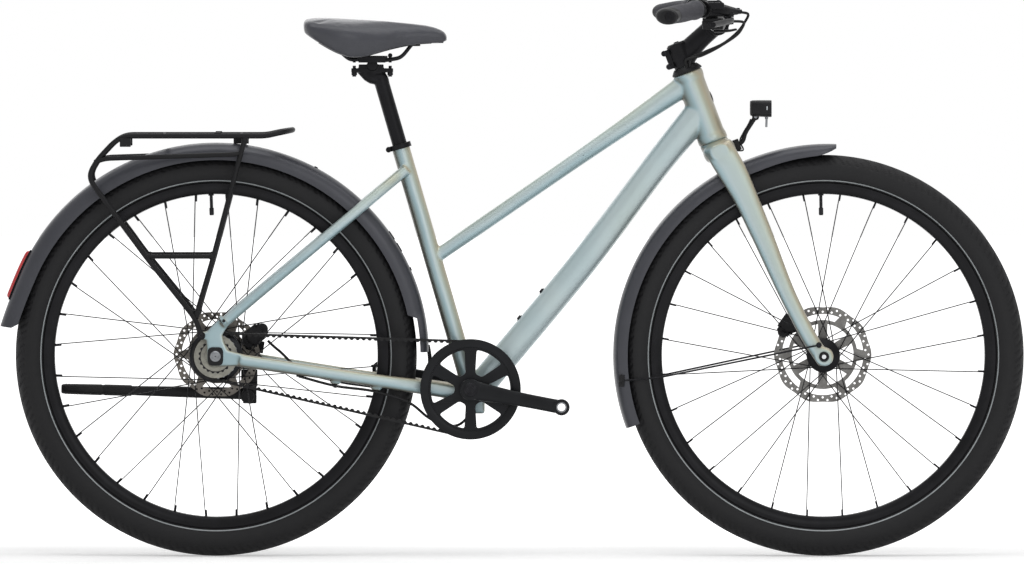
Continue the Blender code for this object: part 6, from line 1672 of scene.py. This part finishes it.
# %% [markdown]
# The stem clamps the steerer behind and the handlebar in front. It is forged in one piece, so
# it is melted together from a barrel, a neck and a bar seat, then bored and faced. The
# faceplate is a separate half ring held by four small bolts.

# %% Stem and faceplate
FACE_DEGREES = 40
FACE_TILT = math.radians(FACE_DEGREES)
FACE_AHEAD = side(math.cos(FACE_TILT), math.sin(FACE_TILT))
neck_start = on_steering_axis(0.17)


def box_plug(centre, size, turn):
    """A block that only cuts another solid."""
    shape = bmesh.new()
    block(shape, centre, size, turn)
    bmesh.ops.recalc_face_normals(shape, faces=shape.faces)
    return loose_object("plug", shape)


def fill_stem(shape):
    drum(shape, neck_start, HEAD_UP, 0.02, 0.022)
    sweep(shape, [
        (neck_start - HEAD_UP * 0.006, 0.017, 0.0235),
        (neck_start.lerp(BAR_CLAMP, 0.4) - HEAD_UP * 0.0015, 0.0158, 0.0192),
        (BAR_CLAMP, 0.0155, 0.018),
    ], squareness=0.75)
    drum(shape, BAR_CLAMP, ACROSS, 0.0222, 0.0233)
    block(shape, neck_start - HEAD_FORWARD * 0.0215, (0.012, 0.017, 0.036), HEAD_LEAN)


finished(
    melted("forged_stem", fill_stem, grid(0.0009), 4, [
        plug(on_steering_axis(0.162), HEAD_UP, 0.0146, 0.0253), plug(BAR_CLAMP, ACROSS, 0.0163, 0.04),
        box_plug(BAR_CLAMP + FACE_AHEAD * 0.0297, (0.06, 0.08, 0.08), FACE_TILT),
    ]), "steering", alloy_black, ["stem"],
)
shape = bmesh.new()
rings = []
for across in (-0.0232, 0.0232):
    outer, inner = [], []
    for i in range(25):
        turn = FACE_DEGREES - 84 + 168 * i / 24
        swell = 0.0006 * math.cos(math.radians((turn - FACE_DEGREES) * 2))
        outer.append(polar(BAR_CLAMP, 0.022 + swell, turn, across))
        inner.append(polar(BAR_CLAMP, 0.0163, turn, across))
    rings.append(outer + inner[::-1])
skin(shape, rings)
piece("faceplate_shell", shape, "steering", alloy_black, ["stem_faceplate"], bevel=0.001)
shape = bmesh.new()
for sign in (-1, 1):
    for turn in (-31, 111):
        bolt(shape, polar(BAR_CLAMP, 0.0212, turn, sign * 0.0155), polar(Vector(), 1.0, turn * 0.6 + 16),
            0.0032, 0.0024)
for distance in (0.1575, 0.1835):
    spot = on_steering_axis(distance) - HEAD_FORWARD * 0.0282
    for sign in (-1, 1):
        drum(shape, spot + ACROSS * (sign * 0.0085), ACROSS, 0.0052, 0.004, 32)
        bolt(shape, spot + ACROSS * (sign * 0.0125), ACROSS * sign, 0.0046, 0.0018)
piece("stem_bolts", shape, "steering", bolt_black, bevel=0.0002)
shape = bmesh.new()
lathe(shape, [
    (0.0148, 0.1363), (0.028, 0.1363), (0.0285, 0.137), (0.0285, 0.1386), (0.0279, 0.14), (0.025, 0.144),
    (0.0228, 0.1466), (0.0216, 0.1477), (0.0148, 0.1477),
], CROWN_RACE, HEAD_UP, 128)
piece("headset_cone", shape, "steering", moulded_black, ["headset_cover"])
shape = bmesh.new()
lathe(shape, [(0.001, 0.192), (0.0178, 0.192), (0.0178, 0.1932), (0.016, 0.1942), (0.001, 0.1944)],
    CROWN_RACE, HEAD_UP, 96)
bolt(shape, on_steering_axis(0.1946), HEAD_UP, 0.0048, 0.0016)
piece("stem_cap", shape, "steering", alloy_black)

# %% [markdown]
# The handlebar rises and sweeps back. It is one tube whose ends are thinner than its middle, so
# it is a wire along a bent line with its own radius at each point.

# %% Handlebar
BAR_ROUTE = [BAR_CLAMP + side(*p) for p in (
    (0.0, 0.0), (0.0, 0.0, 0.04), (-0.003, 0.006, 0.062), (-0.01, 0.021, 0.096), (-0.019, 0.0275, 0.13),
    (-0.0403, 0.028, 0.19), (-0.0861, 0.0159, 0.318),
)]


def bar_point(distance):
    for a, b in zip(BAR_ROUTE, BAR_ROUTE[1:]):
        if a.y <= distance <= b.y:
            return a.lerp(b, (distance - a.y) / (b.y - a.y))
    return BAR_ROUTE[-1]


def bar_radius(distance):
    for (ya, ra), (yb, rb) in zip(BAR_SIZES, BAR_SIZES[1:]):
        if ya <= distance <= yb:
            return ra + (rb - ra) * (distance - ya) / (yb - ya)


BAR_SIZES = [(0.0, 0.0159), (0.04, 0.0159), (0.062, 0.0139), (0.096, 0.0111), (1.0, 0.0111)]
line = bent([mirrored(p, -1) for p in BAR_ROUTE[:0:-1]] + BAR_ROUTE, 0.016)
line = [a.lerp(b, t / 4) for a, b in zip(line, line[1:]) for t in range(4)] + [line[-1]]
shape = bmesh.new()
wire(shape, line, 0.0111, 40, [bar_radius(abs(p.y)) for p in line])
piece("handlebar_tube", shape, "steering", alloy_black, ["handlebar"])

# %% [markdown]
# Grips widen towards the palm and end in a rubber lobe. The ribs round the grip are real steps
# of three tenths of a millimetre, and a locking ring holds the inner end.

# %% Grips
GRIP_PLAN = [
    (0.1905, 0.0152, 0.0, 0.0152), (0.194, 0.0165, 0.0, 0.0165), (0.225, 0.0155, 0.0, 0.016),
    (0.265, 0.019, 0.006, 0.0165), (0.292, 0.023, 0.011, 0.0155), (0.312, 0.0225, 0.012, 0.015),
    (0.3195, 0.0195, 0.009, 0.014), (0.3235, 0.015, 0.006, 0.012),
]
GRIP_START = 0.19
grip_line = (bar_point(0.31) - bar_point(0.2)).normalized()


def on_grip(distance, sign):
    return mirrored(BAR_ROUTE[-2] + grip_line * ((distance - GRIP_START) / grip_line.y), sign)


def grip(label, sign):
    ahead = mirrored((FORWARD - grip_line * grip_line.x).normalized(), sign)
    rows = smooth_values([[Vector((d, deep, back)), high] for d, deep, back, high in GRIP_PLAN], 0.0011)
    grey, dark = [], []
    for index, (d, deep, back, high) in enumerate(rows):
        rib = 0.0003 if index % 3 == 0 and 0.2 < d < 0.312 else 0.0
        ring = oval(on_grip(d, sign) - ahead * back, ahead, UP, deep - rib, high - rib, 56, 0.95)
        if d < 0.3005:
            grey.append(ring)
        if d > 0.299:
            dark.append(ring)
    for part, rings, finish in (("_grip_rubber", grey, grip_rubber), ("_grip_end", dark, end_rubber)):
        shape = bmesh.new()
        skin(shape, rings)
        piece(label + part, shape, "steering", finish, [label + "_grip"], sharp=50.0)
    shape = bmesh.new()
    start = mirrored(bar_point(0.188), sign)
    outward = mirrored(grip_line, sign)
    lathe(shape, [
        (0.0113, -0.0026), (0.016, -0.0026), (0.0166, -0.0018), (0.0166, 0.0018), (0.016, 0.0026),
        (0.0113, 0.0026),
    ], start, outward, 64)
    end = on_grip(0.3235, sign) - ahead * 0.004
    lathe(shape, [
        (0.001, 0.0), (0.0096, 0.0), (0.0096, 0.0005), (0.0078, 0.0012), (0.0074, 0.0004),
        (0.0042, 0.0004), (0.004, 0.001), (0.001, 0.0012),
    ], end, outward, 48)
    piece(label + "_grip_rings", shape, "steering", alloy_black, bevel=0.0003)


end_rubber = make_finish("end_rubber", "121214", "1f1f21", 0.5, 0.15, clouds=70.0, pebbles=900.0, bump=0.3)
for label, sign in (("right", -1), ("left", 1)):
    grip(label, sign)

# %% [markdown]
# Each hydraulic brake has a split clamp round the bar, a cylinder that reaches forward, a small
# fluid tank with a lid, and a two-finger lever that swings on a pin below the cylinder.

# %% Brakes on the bar
LEVER = side(0.399999, 0.995998, 0.128)


def at_lever(x, z, y, sign):
    return mirrored(LEVER + side(x, z, y), sign)


def brake(label, sign):
    clamp_at = mirrored(bar_point(0.155), sign)
    bar_heading = mirrored((bar_point(0.165) - bar_point(0.145)).normalized(), sign)

    def fill(shape):
        drum(shape, clamp_at, bar_heading, 0.0158, 0.0066)
        sweep(shape, [
            (mirrored(bar_point(0.156) + side(0.004, -0.002), sign), 0.0065, 0.0095),
            (at_lever(-0.012, 0.008, 0.006, sign), 0.008, 0.0098),
            (at_lever(0.002, 0.007, -0.008, sign), 0.0068, 0.0068),
            (at_lever(0.012, 0.006, -0.0155, sign), 0.005, 0.005),
        ], squareness=0.8)
        block(shape, at_lever(-0.03, 0.0175, 0.024, sign), (0.035, 0.021, 0.0115))
        drum(shape, at_lever(0.0, 0.001, 0.0, sign), UP, 0.006, 0.0039)

    bore = plug(clamp_at, bar_heading, 0.0114, 0.03)
    finished(
        melted(label + "_brake_casting", fill, grid(0.0007), 3, [bore]), "steering", alloy_black,
        [label + "_brake_body"],
    )
    shape = bmesh.new()
    lid = at_lever(-0.03, 0.0238, 0.024, sign)
    block(shape, lid - side(0.0, 0.0004), (0.031, 0.018, 0.0016))
    for shift in (-0.0115, 0.0115):
        bolt(shape, lid + side(shift, 0.0004), UP, 0.0026, 0.001)
    bolt(shape, clamp_at + side(-0.012, -0.0085), side(-0.6, -0.8), 0.0034, 0.0026)
    bolt(shape, at_lever(0.0, 0.006, 0.0, sign), UP, 0.004, 0.0018)
    ferrule = at_lever(0.012, 0.006, -0.015, sign)
    nose = (at_lever(0.0235, 0.0075, -0.017, sign) - ferrule).normalized()
    skin(shape, [
        oval(ferrule + nose * (0.0008 * i), ACROSS, nose.cross(ACROSS), r, r, 32)
        for i, r in enumerate((
            0.0044, 0.0046, 0.0046, 0.004, 0.0046, 0.0046, 0.004, 0.0045, 0.0045, 0.0038, 0.0042, 0.0036,
            0.003,
        ))
    ])
    piece(label + "_brake_fittings", shape, "steering", bolt_black, bevel=0.0002)

    def fill_blade(shape):
        sweep(shape, [
            (at_lever(x, z, y, sign), deep, high) for x, z, y, deep, high in (
                (0.001, -0.0085, -0.006, 0.005, 0.0042), (0.001, -0.009, 0.02, 0.005, 0.0046),
                (-0.01, -0.011, 0.06, 0.0042, 0.0054), (-0.026, -0.014, 0.1, 0.004, 0.0055),
                (-0.034, -0.0155, 0.118, 0.005, 0.005),
            )
        ], squareness=0.75, across=FORWARD)
        drum(shape, at_lever(0.0, -0.0079, 0.0, sign), UP, 0.006, 0.0044)

    finished(
        melted(label + "_lever_blade", fill_blade, grid(0.0008), 3), label + "_brake_lever", alloy_black,
        [label + "_brake_lever"],
    )


brake("right", -1)
brake("left", 1)

# %% [markdown]
# The shifter hangs under the right-hand end of the bar: a clamp, a moulded pod with a seam round
# it, a window strip, a ribbed barrel where its cable leaves, and a thumb lever below.

# %% Shifter
pod = mirrored(bar_point(0.119), -1)
pod_heading = mirrored((bar_point(0.125) - bar_point(0.113)).normalized(), -1)
shape = bmesh.new()
collar(shape, pod, pod_heading, 0.0113, 0.0154, 0.0056, 72)
middle = pod + side(0.006, -0.0245)
for size in ((0.0395, 0.0255, 0.0098), (0.0375, 0.024, 0.0205)):
    block(shape, middle, size)
block(shape, middle + side(0.0, 0.0105), (0.018, 0.011, 0.01))
drum(shape, middle + side(0.006, 0.0, -0.0125), ACROSS, 0.0065, 0.001, 40)
piece("shifter_pod", shape, "steering", moulded_black, ["shifter_body"], bevel=0.0018)
shape = bmesh.new()
bolt(shape, pod + side(-0.0105, -0.01), side(-0.65, -0.76), 0.0034, 0.003)
bolt(shape, middle + side(-0.009, 0.0, -0.013), -ACROSS, 0.003, 0.0016)
barrel_start, barrel_end = BAR_CLAMP + side(0.009, 0.002, -0.1152), BAR_CLAMP + side(0.03, 0.005, -0.1121)
nose = (barrel_end - barrel_start).normalized()
for i in range(12):
    ring = barrel_start + nose * (0.0016 * i)
    drum(shape, ring, nose, 0.005 if i % 2 else 0.0044, 0.0008, 32)
piece("shifter_fittings", shape, "steering", bolt_black, bevel=0.0002)

lever_x, lever_y, lever_z = 0.379311, -0.119, 0.967095


def fill_thumb(shape):
    sweep(shape, [
        (side(lever_x + x, lever_z + z, lever_y + y), wide, thick) for x, z, y, wide, thick in (
            (-0.01, 0.0, 0.0, 0.008, 0.0027), (0.006, 0.0, 0.0, 0.0084, 0.0027),
            (0.02, 0.001, 0.006, 0.0075, 0.0024), (0.0305, 0.003, 0.01, 0.0068, 0.0022),
        )
    ], squareness=0.8, spacing=0.003)


finished(
    melted("thumb_lever", fill_thumb, 0.0008, 2), "shift_lever", moulded_black,
    ["shift_lever"]
)

# %% [markdown]
# Two hoses leave the controls, loop forward and go down into the headset cover. They are stiff
# enough to keep one even curve between their two ends.

# %% Hoses at the handlebar
cover = on_steering_axis(0.148)
shape = bmesh.new()
wire(shape, route([
    mirrored(LEVER + side(0.0155, 0.006, -0.0165), -1), BAR_CLAMP + side(0.0546, 0.0187, -0.105),
    BAR_CLAMP + side(0.0482, 0.0022, -0.092), BAR_CLAMP + side(0.0132, -0.0343, -0.06),
    BAR_CLAMP + side(-0.0274, -0.0538, -0.036),
    cover + HEAD_FORWARD * 0.012 + ACROSS * -0.026 + HEAD_UP * 0.009,
    cover + HEAD_FORWARD * 0.008 + ACROSS * -0.0225,
    cover + HEAD_FORWARD * 0.006 + ACROSS * -0.0205 - HEAD_UP * 0.006,
], 0.004), 0.0025)
piece("brake_hose_loop", shape, "steering", hose_black, ["handlebar_hoses"])
shape = bmesh.new()
wire(shape, route([
    BAR_CLAMP + side(0.0106, 0.0022, -0.115), BAR_CLAMP + side(0.0306, 0.0052, -0.112),
    BAR_CLAMP + side(0.0466, 0.0032, -0.106), BAR_CLAMP + side(0.0426, -0.0098, -0.092),
    BAR_CLAMP + side(0.0096, -0.0378, -0.057), BAR_CLAMP + side(-0.0294, -0.0588, -0.034),
    cover + HEAD_FORWARD * 0.004 + ACROSS * -0.029 + HEAD_UP * 0.009,
    cover + HEAD_FORWARD * 0.003 + ACROSS * -0.0235,
    cover + HEAD_FORWARD * 0.001 + ACROSS * -0.021 - HEAD_UP * 0.006,
], 0.004), 0.0025)
piece("shift_cable_loop", shape, "steering", hose_black)

# %% [markdown]
# The seat post ends in a forged head with a cradle. The saddle's two rails run over it, and a
# clamp plate with two upright bolts grips them.

# %% Seat post, rails and clamp
post_top = on_seat_tube(0.596)


def fill_post(shape):
    drum(shape, on_seat_tube(0.468), SEAT_UP, 0.0136, 0.124, 64)
    sweep(shape, [
        (post_top - SEAT_UP * 0.018, 0.0134, 0.0134), (post_top - SEAT_UP * 0.003, 0.013, 0.0138),
        (SADDLE_PIVOT + side(0.001, -0.019), 0.0118, 0.018),
        (SADDLE_PIVOT + side(0.0, -0.0135), 0.011, 0.027),
        (SADDLE_PIVOT + side(0.0, -0.0092), 0.0105, 0.034),
    ], spacing=0.003)
    block(shape, SADDLE_PIVOT + side(0.0, -0.0095), (0.077, 0.021, 0.0076))
    drum(shape, SADDLE_PIVOT, ACROSS, 0.0098, 0.0163)
    block(shape, SADDLE_PIVOT + side(-0.002, -0.0045), (0.046, 0.02, 0.0115))


finished(
    melted("forged_seatpost", fill_post, grid(0.0011), 3), "seatpost", alloy_black,
    ["seatpost"],
)
shape = bmesh.new()
for shift in (-0.033, 0.033):
    drum(shape, SADDLE_PIVOT + side(shift, -0.016), UP, 0.0052, 0.0026, 32)
    drum(shape, SADDLE_PIVOT + side(shift, -0.0198), UP, 0.0038, 0.0014, 6)
    drum(shape, SADDLE_PIVOT + side(shift, -0.005), UP, 0.003, 0.004, 24)
piece("seatpost_bolts", shape, "seatpost", bolt_black, bevel=0.0003)

rail_black = make_finish("rail_black", "161618", "2a2a2d", 0.28, 0.12, 0.7, clouds=70.0, bump=0.06)
shape = bmesh.new()
for sign in (-1, 1):
    wire(shape, route([SADDLE_PIVOT + side(*p) for p in (
        (-0.063, 0.0327, sign * 0.034), (-0.052, 0.0195, sign * 0.031), (-0.039, 0.0108, sign * 0.025),
        (-0.029, 0.0105, sign * 0.022), (0.034, 0.0105, sign * 0.022), (0.049, 0.0135, sign * 0.0209),
        (0.072, 0.0366, sign * 0.012),
    )], 0.003), 0.0035, 20)
piece("rails_bent", shape, "saddle", rail_black, ["saddle_rails"])
shape = bmesh.new()
block(shape, SADDLE_PIVOT + side(0.0, 0.0145), (0.056, 0.055, 0.005))
block(shape, SADDLE_PIVOT + side(0.0, 0.0072), (0.05, 0.03, 0.003))
for sign in (-1, 1):
    block(shape, SADDLE_PIVOT + side(0.0, 0.0108, sign * 0.022), (0.05, 0.0105, 0.0115))
for shift in (-0.033, 0.033):
    drum(shape, SADDLE_PIVOT + side(shift, 0.0117), UP, 0.003, 0.007, 24)
    drum(shape, SADDLE_PIVOT + side(shift, 0.0178), ACROSS, 0.0042, 0.0085, 24)
piece("rail_clamp", shape, "saddle", alloy_black, bevel=0.001)

# %% [markdown]
# The saddle is foam under a thin stretched cover, glued over a moulded base. Its form starts as
# a cage a little smaller than the real one, is remeshed into an even skin, and a cloth
# simulation blows that skin up while its underside stays held, so the cover swells between its
# edges as stretched vinyl does. The shallow channel along the middle is pressed in after that,
# because a remesh would smooth it away.

# %% Saddle form
SADDLE_PLAN = [
    (-0.1262, 0.05, 0.08, 0.064, 0.06), (-0.1235, 0.06, 0.0835, 0.0625, 0.057),
    (-0.113, 0.076, 0.085, 0.056, 0.047), (-0.051, 0.087, 0.08, 0.034, -0.002),
    (-0.013, 0.069, 0.078, 0.031, 0.003), (0.027, 0.046, 0.0765, 0.036, 0.021),
    (0.067, 0.031, 0.0755, 0.0405, 0.034), (0.105, 0.025, 0.072, 0.0425, 0.038),
    (0.131, 0.021, 0.063, 0.043, 0.04), (0.1385, 0.014, 0.053, 0.044, 0.043),
]


def saddle_cage():
    rings = []
    for x, half, top, under, skirt in SADDLE_PLAN:
        half, top, skirt = half * 1.035, top + 0.0016, skirt - 0.0022
        high = top - under
        section = [
            (0.0, under), (0.52 * half, under), (0.84 * half, skirt), (half, under + 0.45 * high),
            (0.86 * half, under + 0.86 * high), (0.42 * half, top), (0.0, top),
        ]
        ring = [side(x, z, -y) for y, z in section] + [side(x, z, y) for y, z in section[-2:0:-1]]
        rings.append([SADDLE_PIVOT + point for point in ring])
    shape = bmesh.new()
    skin(shape, rings)
    return loose_object("saddle_cover", shape)


LAST_FRAME = 20


def swell(made, held, limit):
    """Blows the cover up as cloth and caps how far each point moves."""
    rest = [v.co.copy() for v in made.data.vertices]
    group = made.vertex_groups.new(name="held")
    group.add(held, 1.0, "REPLACE")
    cloth = made.modifiers.new("stretched_cover", "CLOTH")
    settings = cloth.settings
    settings.vertex_group_mass = "held"
    settings.use_pressure = True
    settings.uniform_pressure_force = 4.0
    settings.tension_stiffness = 30.0
    settings.compression_stiffness = 30.0
    settings.bending_stiffness = 1.0
    settings.effector_weights.gravity = 0.0
    cloth.point_cache.frame_start, cloth.point_cache.frame_end = 1, LAST_FRAME
    scene = bpy.context.scene
    for step in range(1, LAST_FRAME + 1):
        scene.frame_set(step)
    seen = made.evaluated_get(bpy.context.evaluated_depsgraph_get())
    blown = [v.co.copy() for v in seen.data.vertices]
    made.modifiers.remove(cloth)
    scene.frame_set(1)
    furthest = 0.0
    for vertex, start, end in zip(made.data.vertices, rest, blown):
        move = end - start
        furthest = max(furthest, move.length)
        if move.length > limit:
            move = move.normalized() * limit
        vertex.co = start + move
    print("cover moved up to", round(furthest, 4), "before the cap of", limit)


saddle_cover = saddle_cage()
curved = saddle_cover.modifiers.new("curved", "SUBSURF")
curved.levels = curved.render_levels = 3
even = saddle_cover.modifiers.new("even", "REMESH")
even.mode, even.voxel_size = "VOXEL", 0.004
shrink = saddle_cover.modifiers.new("shrink", "DISPLACE")
shrink.strength, shrink.mid_level = -0.0006, 0.0
applied(saddle_cover)
print("saddle skin points:", len(saddle_cover.data.vertices))

# %% Saddle cover
held = [v.index for v in saddle_cover.data.vertices if v.normal.z < -0.25]
swell(saddle_cover, held, 0.005)
fine = saddle_cover.modifiers.new("fine", "SUBSURF")
fine.levels = fine.render_levels = 1
applied(saddle_cover)
for vertex in saddle_cover.data.vertices:
    place = vertex.co - SADDLE_PIVOT
    if vertex.normal.z > 0.3 and -0.095 < place.x < 0.098:
        ends = min(1.0, (place.x + 0.095) / 0.06, (0.098 - place.x) / 0.05)
        vertex.co.z -= 0.002 * ends * math.exp(-(place.y / 0.0075) ** 2)
    vertex.co += vertex.normal * (0.00012 * noise(vertex.co * 90.0))
vinyl = make_finish(
    "saddle_vinyl", "3f4046", "47484f", 0.34, 0.12, clouds=18.0, grain=1200.0, bump=0.22, depth=0.00025,
    coat=0.2, coat_roughness=0.3, pebbles=850.0, sheen=0.1,
)
finished(saddle_cover, "saddle", vinyl, ["saddle"], sharp=60.0)

# %% Saddle base
shape = bmesh.new()
rings = []
for x, half, top, under, skirt in SADDLE_PLAN[1:-1]:
    low = SADDLE_PIVOT + side(x, under - 0.0022)
    half *= 0.56
    rings.append([
        low + side(0.0, z, y) for y, z in ((-half, 0.0), (half, 0.0), (half, 0.008), (-half, 0.008))
    ])
skin(shape, rings)
edge = {}
for vertex in saddle_cover.data.vertices:
    shelf = round(vertex.co.x / 0.012)
    if vertex.co.y < -0.006 and (shelf not in edge or vertex.co.z < edge[shelf].z):
        edge[shelf] = vertex.co.copy()
hem = [edge[key] + side(0.0, 0.0004) for key in sorted(edge)[1:-1]]
hem = [(a + b + b + c) / 4 for a, b, c in zip(hem, hem[1:], hem[2:])]
for sign in (-1, 1):
    wire(shape, route([mirrored(p, -sign) for p in hem], 0.005), 0.0014, 12)
for sign in (-1, 1):
    drum(shape, SADDLE_PIVOT + side(-0.064, 0.0345, sign * 0.034), side(-0.55, 0.83), 0.0052, 0.005, 24)
drum(shape, SADDLE_PIVOT + side(0.0735, 0.0385), UP, 0.015, 0.0035, 32)
piece("saddle_base", shape, "saddle", moulded_black, bevel=0.0006)

# %% [markdown]
# The studio. The photograph has a white ground, soft light from above and the front, and a
# short soft shadow right under the tyres. The floor's colour is pale by itself, two wide lamps
# light the bike at a plain level, and the white behind it is only what the camera, mirrors and
# glass see of the world.

# %% Floor
def seen_directly(tree):
    """1 for what the camera, a mirror or glass sees, and 0 for what only lights the bike."""
    path = node(tree, "LightPath")
    seen = sums(tree, "MAXIMUM", path.outputs["Is Camera Ray"], path.outputs["Is Glossy Ray"])
    return sums(tree, "MAXIMUM", seen, path.outputs["Is Transmission Ray"])


bpy.ops.mesh.primitive_plane_add(size=40.0, location=(0.0, 0.0, -0.0005))
floor = bpy.context.object
floor.name = "floor"
floor_finish = bpy.data.materials.new("floor_paper")
floor_finish.use_nodes = True
tree = floor_finish.node_tree
surface = tree.nodes["Principled BSDF"]
paper = node(tree, "TexNoise", links={"Scale": 300.0, "Detail": 2.0}).outputs["Fac"]
tint = node(tree, "MapRange", links={"Value": paper, "To Min": 0.93, "To Max": 0.95}).outputs["Result"]
tree.links.new(tint, surface.inputs["Base Color"])
surface.inputs["Roughness"].default_value = 1.0
surface.inputs["Specular IOR Level"].default_value = 0.0
spread = node(tree, "SeparateXYZ", links={"Vector": node(tree, "TexCoord").outputs["Object"]})
sideways = sums(tree, "ABSOLUTE", spread.outputs["Y"], 0.0)
endways = sums(tree, "SUBTRACT", sums(tree, "ABSOLUTE", spread.outputs["X"], 0.0), 0.9)
away = node(tree, "MapRange", {"interpolation_type": "SMOOTHSTEP"}, {
    "Value": sums(tree, "MAXIMUM", sideways, endways), "From Min": 0.22, "From Max": 0.9, "To Min": 0.3,
    "To Max": 1.0,
}).outputs["Result"]
lift = sums(tree, "MULTIPLY", seen_directly(tree), away)
tree.links.new(lift, surface.inputs["Emission Strength"])
surface.inputs["Emission Color"].default_value = (1.0, 1.0, 1.0, 1.0)
floor.data.materials.append(floor_finish)
print("the floor is", floor.dimensions.x, "m across")

# %% World and lamps
world = bpy.data.worlds.new("studio")
bpy.context.scene.world = world
world.use_nodes = True
tree = world.node_tree
background = tree.nodes["Background"]
background.inputs["Color"].default_value = (1.0, 1.0, 1.0, 1.0)
strength = node(tree, "MapRange", links={"Value": seen_directly(tree), "To Min": 0.38, "To Max": 1.0})
tree.links.new(strength.outputs["Result"], background.inputs["Strength"])


def lamp(name, place, target, size, power):
    light = bpy.data.lights.new(name, "AREA")
    light.shape = "RECTANGLE"
    light.size, light.size_y = size
    light.energy = power
    holder = bpy.data.objects.new(name, light)
    bpy.context.scene.collection.objects.link(holder)
    holder.location = place
    holder.rotation_euler = (Vector(target) - Vector(place)).to_track_quat("-Z", "Y").to_euler()


lamp("top_softbox", (0.2, -0.6, 3.6), (0.0, 0.0, 0.4), (4.0, 2.4), 60.0)
lamp("front_softbox", (1.6, -4.6, 2.2), (0.0, 0.0, 0.5), (3.0, 2.4), 42.0)
lamp("back_softbox", (-1.2, 4.2, 2.6), (0.0, 0.0, 0.5), (3.0, 2.4), 22.0)
bpy.context.scene.view_settings.view_transform = "Standard"
